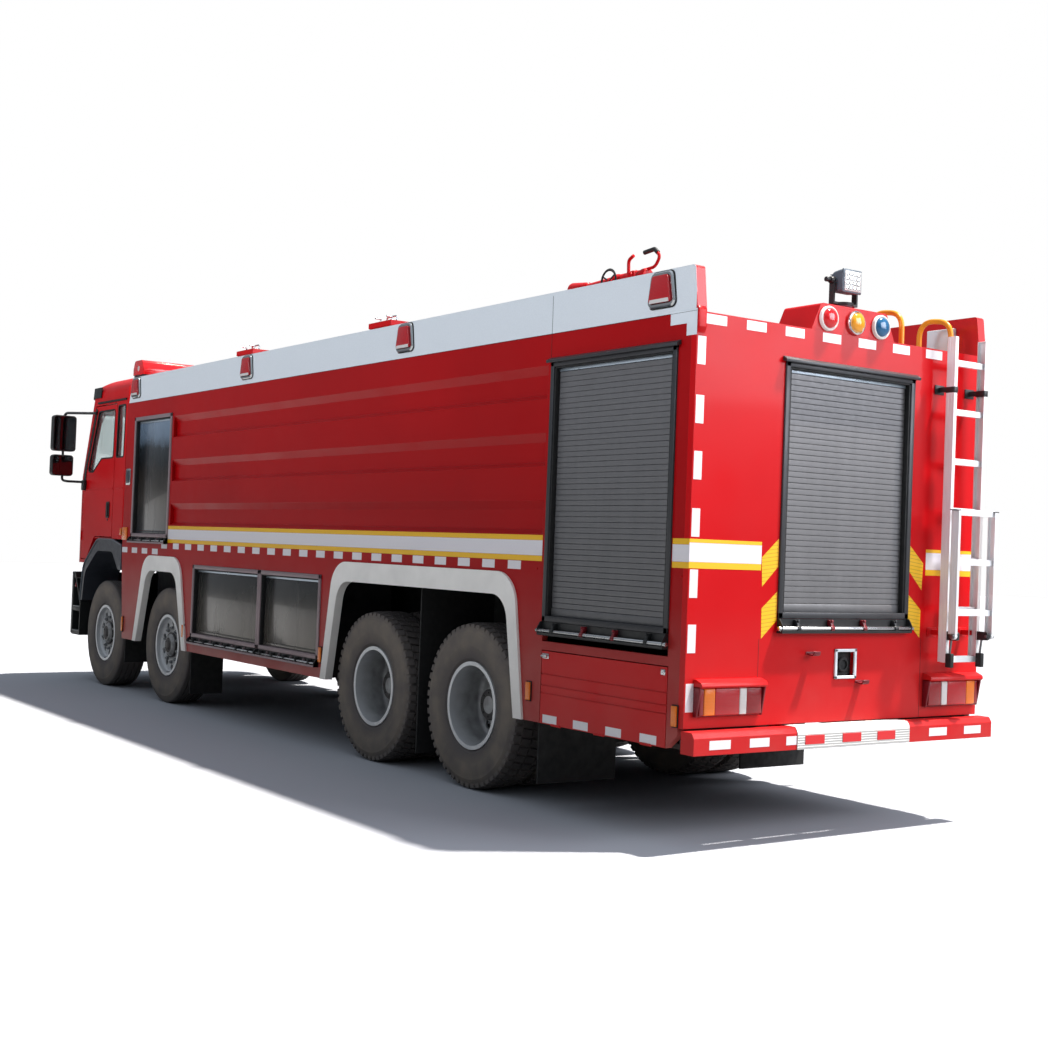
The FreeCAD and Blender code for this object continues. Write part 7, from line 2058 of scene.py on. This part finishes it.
class TRUCK_OT_cab_trim(TruckOperator, bpy.types.Operator):
    """Drip rails, visor, handles, swages, fender edges with a painted highlight, and side markers of the cab.
    """

    bl_idname = "truck.cab_trim"
    bl_label = "Cab trim"

    def handle(self):
        """A recessed upright door handle: dished seat, frame and grip."""
        start, end = CAB_FRONT - 1.278, CAB_FRONT - 1.192
        outline = rounded([(start, 1.800, 0.02), (end, 1.800, 0.02), (end, 1.966, 0.02),
                           (start, 1.966, 0.02)], 5)
        middle = (start + end) / 2
        return joined([
            raised(outline, CAB_SIDE - 0.004, CAB_SIDE + 0.003, "Y", 0.002),
            ribbon(outline, 0.010, CAB_SIDE, CAB_SIDE + 0.009, "Y", closed=True),
            slab((middle - 0.014, CAB_SIDE + 0.002, 1.812), (middle + 0.014, CAB_SIDE + 0.016, 1.954),
                 0.006, 3),
            rod((middle, CAB_SIDE, 1.778), (middle, CAB_SIDE + 0.006, 1.778), 0.012, bevel=0.002),
        ])

    def swage(self, start, end, skin):
        """A pressed crease below the windows."""
        ridge = ribbon(divided([(start, 2.112), (end, 2.112)], 0.06), 0.012, -0.004, 0.006, "Y")
        return draped(ridge, skin, "Y", 1)

    def visor(self):
        """A black sun visor on stays above the windscreen."""
        skin = surface("cab_shell")
        path = []
        for step in range(33):
            turn = math.pi / 2 * 0.93 * (step / 16 - 1)
            start = Vector((4.35 + 3 * math.cos(turn), 3 * math.sin(turn), 3.13))
            hit = skin.ray_cast(start, Vector((-math.cos(turn), -math.sin(turn), 0)))[0]
            path.append((hit.x + 0.070 * math.cos(turn), hit.y + 0.010 * math.sin(turn)))
        plate = ribbon(path, 0.007, 3.105, 3.218, "Z")
        for vertex in plate.verts:
            vertex.co.x += 0.24 * (3.14 - vertex.co.z)
        stays = [
            rod((hit_x - 0.09, across, 3.17), (hit_x, across, 3.14), 0.008)
            for hit_x, across in (path[6], path[13], path[19], path[26])
        ]
        return joined([plate, *stays])

    def execute(self, context):
        """Makes the trim of the cab and of its two doors."""
        shell = surface("cab_shell")
        rail = ribbon(divided([(CAB_FRONT - 1.66, 3.048), (CAB_FRONT - 0.80, 3.048)], 0.08), 0.020, -0.004,
                      0.016, "Y")
        piece("drip_rails", both_sides(draped(rail, shell, "Y", 1)), FINISHES["gasket"], CAB)
        piece("sun_visor", self.visor(), FINISHES["trim"], CAB)
        piece("cab_swages", both_sides(self.swage(CAB_FRONT - 1.66, CAB_FRONT - 1.385, shell)),
              FINISHES["red"], CAB)
        marker = slab((BODY_FRONT + 0.052, CAB_SIDE - 0.002, 1.620),
                      (BODY_FRONT + 0.092, CAB_SIDE + 0.014, 1.690), 0.004)
        piece("cab_side_markers", both_sides(marker), FINISHES["amber_lens"], CAB)
        door = surface("cab_door_left")
        for side, hand in LEFT_RIGHT:
            ridge = self.swage(CAB_FRONT - 1.355, CAB_FRONT - 0.50, door)
            piece(f"door_swages_{side}", sided(ridge, hand), FINISHES["red"], f"door_{side}")
            piece(f"door_handles_{side}", sided(self.handle(), hand), FINISHES["trim"], f"door_{side}")
        # a bead along each fender's edge, made pale grey: the paleness is a painted highlight on the dark
        # fender
        arch = rounded([
            (3.66, 1.255), (3.66, 1.515, 0.02), (3.948, 1.571, 0.12), (4.408, 1.571, 0.26),
            (4.838, 1.275, 0.20),
            (4.910, 0.885),
        ], 6)
        edge = ribbon(divided(arch, 0.05), 0.012, 1.240, 1.256, "Y")
        piece("painted_highlight_fender_edges", both_sides(edge), FINISHES["lamp_grey"], CAB)
        return {"FINISHED"}


class TRUCK_OT_cab_front(TruckOperator, bpy.types.Operator):
    """Grille panel, bumper grille, headlamps, fog lamps and the cab steps."""

    bl_idname = "truck.cab_front"
    bl_label = "Cab front"

    def headlamp(self):
        """A headlamp unit in its bumper pocket: bowl, two rings and an indicator."""
        parts = {"clear_lens": [], "chrome": [], "amber_lens": [], "trim": []}
        parts["trim"].append(slab((FRONT - 0.062, 0.703, 0.853), (FRONT - 0.040, 1.007, 1.027), 0.004))
        for across in (0.790, 0.900):
            bowl = [(0.0, 0.010), (0.0, 0.050), (0.026, 0.056), (0.026, 0.050), (0.008, 0.030),
                    (0.004, 0.010)]
            parts["chrome"].append(turned(bowl, (FRONT - 0.040, across, 0.940), (1, 0, 0), 32))
            parts["clear_lens"].append(dome((FRONT - 0.018, across, 0.940), (1, 0, 0), 0.050, 0.008, 4, 32))
        parts["amber_lens"].append(slab((FRONT - 0.040, 0.966, 0.866), (FRONT - 0.012, 0.998, 1.014), 0.006,
                                        3))
        return parts

    def bars(self, low, high, half, face, pitch, finish):
        """Rows of grille bars."""
        bar = slab((face - 0.030, -half, low + pitch * 0.25), (face, half, low + pitch * 0.6), 0.004)
        return row(bar, finish, round((high - low) / pitch), (0, 0, pitch))

    def step_lining(self):
        """Liners of the two step wells beside the bumper."""
        parts = []
        for low, high in ((0.530, 0.760), (0.800, 1.125)):
            parts += [
                slab((4.961, 1.006, low + 0.001), (5.179, 1.010, high - 0.001), 0.001, 1),
                slab((5.175, 1.006, low + 0.001), (5.179, 1.229, high - 0.001), 0.001, 1),
                slab((4.961, 1.006, high - 0.005), (5.179, 1.229, high - 0.001), 0.001, 1),
            ]
        outline = [(4.942, 0.505), (5.196, 0.505), (5.196, 1.180), (5.142, 1.180), (4.942, 0.850)]
        frame_strip = ribbon(outline, 0.020, 1.226, 1.233, "Y", closed=True)
        posts = [slab((5.182, 1.226, 0.505), (5.196, 1.234, 1.180), 0.002), slab((4.942, 1.226, 0.762),
                                                                                (5.190, 1.234, 0.798), 0.002)]
        return joined(parts + [frame_strip] + posts)

    def execute(self, context):
        """Makes the front end's fittings."""
        groups = {"clear_lens": [], "chrome": [], "amber_lens": [], "trim": []}
        for kind, shapes in self.headlamp().items():
            groups[kind] += [both_sides(shape) for shape in shapes]
        for kind, shapes in groups.items():
            piece(f"headlamp_{kind}", joined(shapes), FINISHES[kind], BODY)
        trim = FINISHES["trim"]
        piece("bumper_grille", joined([
            slab((FRONT - 0.058, -0.419, 0.701), (FRONT - 0.050, 0.419, 1.009), 0.002),
            self.bars(0.705, 1.005, 0.416, FRONT - 0.012, 0.050, trim),
        ]), trim, BODY)
        skin = surface("cab_shell")
        panel = rounded([(-0.86, 1.40, 0.05), (0.86, 1.40, 0.05), (0.80, 1.98, 0.08), (-0.80, 1.98, 0.08)], 6)
        seam = draped(ribbon(divided(panel, 0.05, closed=True), 0.010, -0.003, 0.002, "X", closed=True),
                      skin, "X", 1)
        slots = []
        for step in range(5):
            level = 1.50 + 0.075 * step
            half = 0.62 - 0.01 * step
            line = ribbon(divided([(-half, level), (half, level)], 0.06), 0.034, -0.004, 0.012, "X")
            slots.append(draped(line, skin, "X", 1))
        piece("front_panel_grille", joined([seam, *slots]), FINISHES["trim"], CAB)
        piece("step_linings", both_sides(self.step_lining()), FINISHES["trim"], BODY)
        treads = [
            slab((4.950, 1.012, low), (5.176, 1.236, low + 0.010), 0.003) for low in (0.531, 0.801)
        ]
        treads.append(slab((5.150, 1.040, 1.180), (5.196, 1.228, 1.184), 0.001))
        piece("cab_step_treads", both_sides(joined(treads)), FINISHES["deck"], BODY)
        corner = dome((5.150, 1.205, 1.040), (0.6, 1, 0), 0.030, 0.020, 5, 24)
        bases = [rod((FRONT - 0.030, at, 0.620), (FRONT - 0.008, at, 0.620), 0.046,
                     bevel=0.004) for at in (0.60, -0.60)]
        piece("bumper_corner_lamps", both_sides(corner), FINISHES["deep_lens"], BODY)
        piece("fog_lamps", joined(bases), FINISHES["clear_lens"], BODY)
        return {"FINISHED"}


class TRUCK_OT_mirrors(TruckOperator, bpy.types.Operator):
    """The doors' mirrors, in place of the frame's plain heads."""

    bl_idname = "truck.mirrors"
    bl_label = "Mirrors"

    def head(self, low, high, bulge):
        """A mirror housing between two corners, rounded to the front, with its rim."""
        outline = rounded([
            (low[1], low[2], 0.035), (high[1], low[2], 0.035), (high[1], high[2], 0.035),
            (low[1], high[2], 0.035),
        ], 6)
        rim = raised(outline, low[0], low[0] + 0.028, "X", 0.004)
        shell = raised(outline, low[0] + 0.020, high[0], "X", bulge, 4)
        return joined([rim, shell])

    def face(self, low, high, inset=0.010):
        """The silvered glass inside the rim."""
        outline = rounded([
            (low[1] + inset, low[2] + inset, 0.028), (high[1] - inset, low[2] + inset, 0.028),
            (high[1] - inset, high[2] - inset, 0.028), (low[1] + inset, high[2] - inset, 0.028),
        ], 6)
        return raised(outline, low[0] - 0.002, low[0] + 0.004, "X")

    def execute(self, context):
        """Makes both mirrors of each door with their bent arms."""
        boxes = (
            (Vector((4.918, 1.362, 2.520)), Vector((5.004, 1.617, 2.914))),
            (Vector((4.918, 1.382, 2.248)), Vector((5.004, 1.617, 2.479))),
        )
        for side, hand in LEFT_RIGHT:
            heads = [self.head(low, high, 0.030) for low, high in boxes]
            upper = bent([
                (4.640, 1.232, 2.944), (4.740, 1.300, 2.944), (4.940, 1.470, 2.944), (4.956, 1.488, 2.915),
                (4.956, 1.488, 2.880),
            ], 0.05)
            lower = bent([(4.895, 1.262, 2.190), (4.930, 1.440, 2.190), (4.958, 1.487, 2.200),
                          (4.958, 1.487, 2.262)], 0.04)
            heads += [
                swept(upper, 0.0145, 16), swept(lower, 0.0135, 16),
                rod((4.960, 1.489, 2.46), (4.960, 1.489, 2.54), 0.013),
                slab((4.860, 1.238, 2.098), (4.926, 1.284, 2.212), 0.012, 3),
                slab((4.604, 1.236, 2.931), (4.664, 1.262, 2.959), 0.006, 3),
            ]
            name = f"mirror_{side}"
            piece(f"mirror_shells_{side}", sided(joined(heads), hand), FINISHES["trim"], f"door_{side}",
                  replaces=(name,))
            faces = joined([self.face(low, high) for low, high in boxes])
            piece(f"mirror_faces_{side}", sided(faces, hand), FINISHES["mirror"], f"door_{side}",
                  replaces=(name,))
        return {"FINISHED"}


class TRUCK_OT_lightbar(TruckOperator, bpy.types.Operator):
    """Beacon bar across the cab's roof, in place of the frame's plain bar."""

    bl_idname = "truck.lightbar"
    bl_label = "Lightbar"

    def hood(self, start, end, inset=0.0):
        """A moulded hood between two stations, rounded like a low arch."""
        outline = rounded([
            (4.048 + inset, 3.362), (4.352 - inset, 3.362), (4.352 - inset, 3.430, 0.03),
            (4.314 - inset, 3.519 - inset, 0.05), (4.086 + inset, 3.519 - inset, 0.05),
            (4.048 + inset, 3.430, 0.03),
        ], 5)
        return raised(outline, start, end, "Y", 0.008, 3)

    def execute(self, context):
        """Makes the hoods, the clear lenses, the base and the feet."""
        bar = ("lightbar",)
        piece("lightbar_hoods", both_sides(self.hood(0.235, 0.948)), FINISHES["red_dome"], CAB,
              bar)
        alley = dome((4.200, 0.942, 3.430), (0, 1, 0), 0.032, 0.012, 4, 24)
        clear = joined([both_sides(alley), self.hood(-0.235, 0.235, 0.006)])
        piece("lightbar_clear_lenses", clear, FINISHES["clear_lens"], CAB, bar)
        base = [slab((4.052, -0.940, 3.330), (4.348, 0.940, 3.366), 0.008, 3)]
        for hand in (1, -1):
            base.append(slab((4.100, hand * 0.63 - 0.06, 3.288), (4.300, hand * 0.63 + 0.06, 3.334), 0.006))
        piece("lightbar_base", joined(base), FINISHES["trim"], CAB, bar)
        return {"FINISHED"}


class TRUCK_OT_seats(TruckOperator, bpy.types.Operator):
    """Padded driver's and passenger's seats."""

    bl_idname = "truck.seats"
    bl_label = "Padded seats"

    def pad(self, outline, across, half):
        """A soft closed pad with an even skin, ready to be blown up."""
        shape = raised(outline, across - half, across + half, "Y", 0.020, 3)
        mesh = bpy.data.meshes.new("pad")
        shape.to_mesh(mesh)
        shape.free()
        made = bpy.data.objects.new("pad", mesh)
        bpy.context.scene.collection.objects.link(made)
        remesh = made.modifiers.new("skin", "REMESH")
        remesh.mode = "VOXEL"
        remesh.voxel_size = 0.008
        return made

    def settled(self, made, most):
        """Blows the pad up like stuffed cloth, limits how far it swells, and returns its shape."""
        bpy.context.view_layer.update()
        depsgraph = bpy.context.evaluated_depsgraph_get()
        mesh = bpy.data.meshes.new_from_object(made.evaluated_get(depsgraph), depsgraph=depsgraph)
        made.modifiers.clear()
        made.data = mesh
        start = [vertex.co.copy() for vertex in mesh.vertices]
        cloth = made.modifiers.new("cloth", "CLOTH")
        cloth.settings.use_pressure = True
        cloth.settings.uniform_pressure_force = 4.0
        cloth.settings.effector_weights.gravity = 0.0
        cloth.settings.quality = 5
        for number in range(1, 21):
            bpy.context.scene.frame_set(number)
        depsgraph = bpy.context.evaluated_depsgraph_get()
        blown = made.evaluated_get(depsgraph).to_mesh()
        for place, vertex, soft in zip(start, mesh.vertices, blown.vertices):
            shift = soft.co - place
            if shift.length > most:
                shift *= most / shift.length
            vertex.co = place + shift
        made.evaluated_get(depsgraph).to_mesh_clear()
        made.modifiers.clear()
        made.modifiers.new("smooth", "SUBSURF").levels = 1
        bpy.context.view_layer.update()
        depsgraph = bpy.context.evaluated_depsgraph_get()
        smooth = bpy.data.meshes.new_from_object(made.evaluated_get(depsgraph), depsgraph=depsgraph)
        shape = bmesh.new()
        shape.from_mesh(smooth)
        bpy.data.objects.remove(made)
        bpy.data.meshes.remove(smooth)
        return shape

    def execute(self, context):
        """Makes cushion, back and head rest of one seat, copies them for the other, and adds the piping."""
        cushion = [(4.072, 1.836), (4.528, 1.836), (4.528, 1.948), (4.072, 1.930)]
        back = [(4.066, 1.976), (4.130, 1.978), (4.050, 2.562), (3.976, 2.562)]
        rest = [(3.990, 2.606), (4.036, 2.606), (4.018, 2.758), (3.974, 2.758)]
        pads = [
            self.settled(self.pad(outline, 0.56, half), most)
            for outline, half, most in ((cushion, 0.212, 0.022), (back, 0.212, 0.022), (rest, 0.122, 0.022))
        ]
        pads += [moved(pad.copy(), (0, -1.12, 0)) for pad in pads]
        piping = []
        for across in (0.56, -0.56):
            for hand in (1, -1):
                line = [(4.100, across + hand * 0.105, 1.950), (4.500, across + hand * 0.105, 1.966)]
                piping.append(swept(divided_in_space(line, 8), 0.004, 8))
            piping.append(rod((4.010, across - 0.05, 2.56), (4.008, across - 0.05, 2.62), 0.007))
            piping.append(rod((4.010, across + 0.05, 2.56), (4.008, across + 0.05, 2.62), 0.007))
        seats = piece("seat_pads", joined(pads), FINISHES["cloth"], CAB, ("cab_seats",),
                      smooth=180)
        piece("seat_piping", joined(piping), FINISHES["gasket"], CAB)
        return {"FINISHED"}


class TRUCK_OT_stage(TruckOperator, bpy.types.Operator):
    """Floor, lamps, world and camera."""

    bl_idname = "truck.stage"
    bl_label = "Stage"

    def lamp(self, name, kind, place, target, energy, tint, **settings):
        """A lamp that faces a target."""
        data = bpy.data.lights.new(name, kind)
        data.energy = energy
        data.color = linear(tint)
        for key, value in settings.items():
            setattr(data, key, value)
        made = bpy.data.objects.new(name, data)
        made.location = place
        made.rotation_euler = (Vector(target) - Vector(place)).to_track_quat("-Z", "Y").to_euler()
        bpy.context.scene.collection.objects.link(made)

    def floor(self):
        """A pale floor that the camera sees as white wherever no shadow falls on it."""
        shape = raised([(-60, -60), (60, -60), (60, 60), (-60, 60)], -0.02, 0.0, "Z")
        mesh = bpy.data.meshes.new("studio_floor")
        shape.to_mesh(mesh)
        shape.free()
        made = bpy.data.objects.new("studio_floor", mesh)
        bpy.context.scene.collection.objects.link(made)
        material = bpy.data.materials.new("pale_studio_floor")
        material.use_nodes = True
        tree = material.node_tree
        shader = tree.nodes["Principled BSDF"]
        shader.inputs["Roughness"].default_value = 0.9
        shader.inputs["Specular IOR Level"].default_value = 0.0
        seen = add(tree, "ShaderNodeLightPath").outputs["Is Camera Ray"]
        tone = add(
            tree, "ShaderNodeMix", {"Factor": seen, 6: paint("#8A8C8E"), 7: paint("#B0B3B9")},
            data_type="RGBA"
        )
        tree.links.new(tone.outputs[2], shader.inputs["Base Color"])
        mesh.materials.append(material)
        return tree, shader

    def world(self):
        """Even sky light, and a white background where the camera, gloss or glass sees it."""
        world = bpy.data.worlds.new("studio_world")
        bpy.context.scene.world = world
        world.use_nodes = True
        tree = world.node_tree
        tree.nodes.clear()
        rays = add(tree, "ShaderNodeLightPath").outputs
        seen = add(
            tree, "ShaderNodeMath", {0: rays["Is Camera Ray"], 1: rays["Is Transmission Ray"]},
            operation="MAXIMUM"
        )
        height = add(tree, "ShaderNodeSeparateXYZ", {0: add(tree, "ShaderNodeTexCoord").outputs["Generated"]})
        rising = add(
            tree, "ShaderNodeMapRange",
            {"Value": height.outputs["Z"], "From Min": 0.0, "From Max": 0.9, "To Min": 0.10, "To Max": 0.80},
        )
        sky = add(tree, "ShaderNodeBackground", {"Color": paint("#D9E2EE"), "Strength": rising.outputs[0]})
        white = add(tree, "ShaderNodeBackground", {"Color": (1, 1, 1, 1), "Strength": 1.0})
        gloss = add(tree, "ShaderNodeMath", {0: rays["Is Glossy Ray"], 1: 0.06}, operation="MULTIPLY")
        share = add(tree, "ShaderNodeMath", {0: seen.outputs[0], 1: gloss.outputs[0]}, operation="MAXIMUM")
        mixed = add(tree, "ShaderNodeMixShader",
                    {0: share.outputs[0], 1: sky.outputs[0], 2: white.outputs[0]})
        add(tree, "ShaderNodeOutputWorld", {0: mixed.outputs[0]})

    def camera(self):
        """A camera behind the truck's left corner, looking along its side."""
        data = bpy.data.cameras.new("studio_camera")
        data.sensor_width = 36.0
        data.lens = 50.71
        data.clip_end = 400.0
        made = bpy.data.objects.new("studio_camera", data)
        right = Vector((-0.57506, -0.81725, 0.03765))
        up = Vector((0.00820, 0.04026, 0.99916))
        back = Vector((-0.81807, 0.57488, -0.01645))
        matrix = Matrix((right, up, back)).transposed().to_4x4()
        matrix.translation = (-11.3243, 6.6713, 1.6394)
        made.matrix_world = matrix
        bpy.context.scene.collection.objects.link(made)
        bpy.context.scene.camera = made

    def execute(self, context):
        """Builds the stage round the truck."""
        self.floor()
        self.world()
        self.camera()
        self.lamp(
            "high_sun", "SUN", (-3.0, -6.0, 16.0), (0, 0, 0), 8.0, "#FFF8F0", angle=math.radians(2)
        )
        self.lamp(
            "rear_fill", "AREA", (-13.0, -5.5, 6.0), (-4.0, 0, 1.8), 900.0, "#F4F6FF", shape="RECTANGLE",
            size=7.0,
            size_y=5.0,
        )
        self.lamp(
            "side_fill", "AREA", (-0.8, 9.0, 5.0), (-0.8, 1.25, 3.15), 44.0, "#F0F4FF", shape="RECTANGLE",
            size=16.0,
            size_y=1.6, spread=math.radians(24),
        )
        context.scene.view_settings.view_transform = "Standard"
        return {"FINISHED"}


OPERATORS = (
    TRUCK_OT_node_finishes,
    TRUCK_OT_tyres,
    TRUCK_OT_wheel_fittings,
    TRUCK_OT_curtains,
    TRUCK_OT_shutter_frames,
    TRUCK_OT_tapes,
    TRUCK_OT_parapet_trim,
    TRUCK_OT_rear_lamps,
    TRUCK_OT_rear_fittings,
    TRUCK_OT_roof_lamps,
    TRUCK_OT_monitor,
    TRUCK_OT_hoops,
    TRUCK_OT_ladder,
    TRUCK_OT_side_fittings,
    TRUCK_OT_cab_windows,
    TRUCK_OT_cab_trim,
    TRUCK_OT_cab_front,
    TRUCK_OT_mirrors,
    TRUCK_OT_lightbar,
    TRUCK_OT_seats,
    TRUCK_OT_stage,
)


class TRUCK_PT_tools(bpy.types.Panel):
    """Lists the truck's operators and settings."""

    bl_idname = "TRUCK_PT_tools"
    bl_label = "Fire truck"
    bl_space_type = "VIEW_3D"
    bl_region_type = "UI"
    bl_category = "Fire truck"

    def draw(self, context):
        """Draws the settings and one button for each operator."""
        for settings in (context.scene.truck_colours, context.scene.truck_sizes):
            box = self.layout.box()
            for key in settings.__annotations__:
                box.prop(settings, key)
        for operator in OPERATORS:
            self.layout.operator(operator.bl_idname)


CLASSES = (TruckColours, TruckSizes, *OPERATORS, TRUCK_PT_tools)


def register():
    """Registers the classes and the scene's settings."""
    for item in CLASSES:
        bpy.utils.register_class(item)
    bpy.types.Scene.truck_colours = bpy.props.PointerProperty(type=TruckColours)
    bpy.types.Scene.truck_sizes = bpy.props.PointerProperty(type=TruckSizes)


def unregister():
    """Removes the scene's settings and the classes."""
    del bpy.types.Scene.truck_colours
    del bpy.types.Scene.truck_sizes
    for item in reversed(CLASSES):
        bpy.utils.unregister_class(item)


def main():
    """Makes the whole truck."""
    register()
    for operator in OPERATORS:
        group, name = operator.bl_idname.split(".")
        getattr(getattr(bpy.ops, group), name)()


if __name__ == "__main__":
    main()
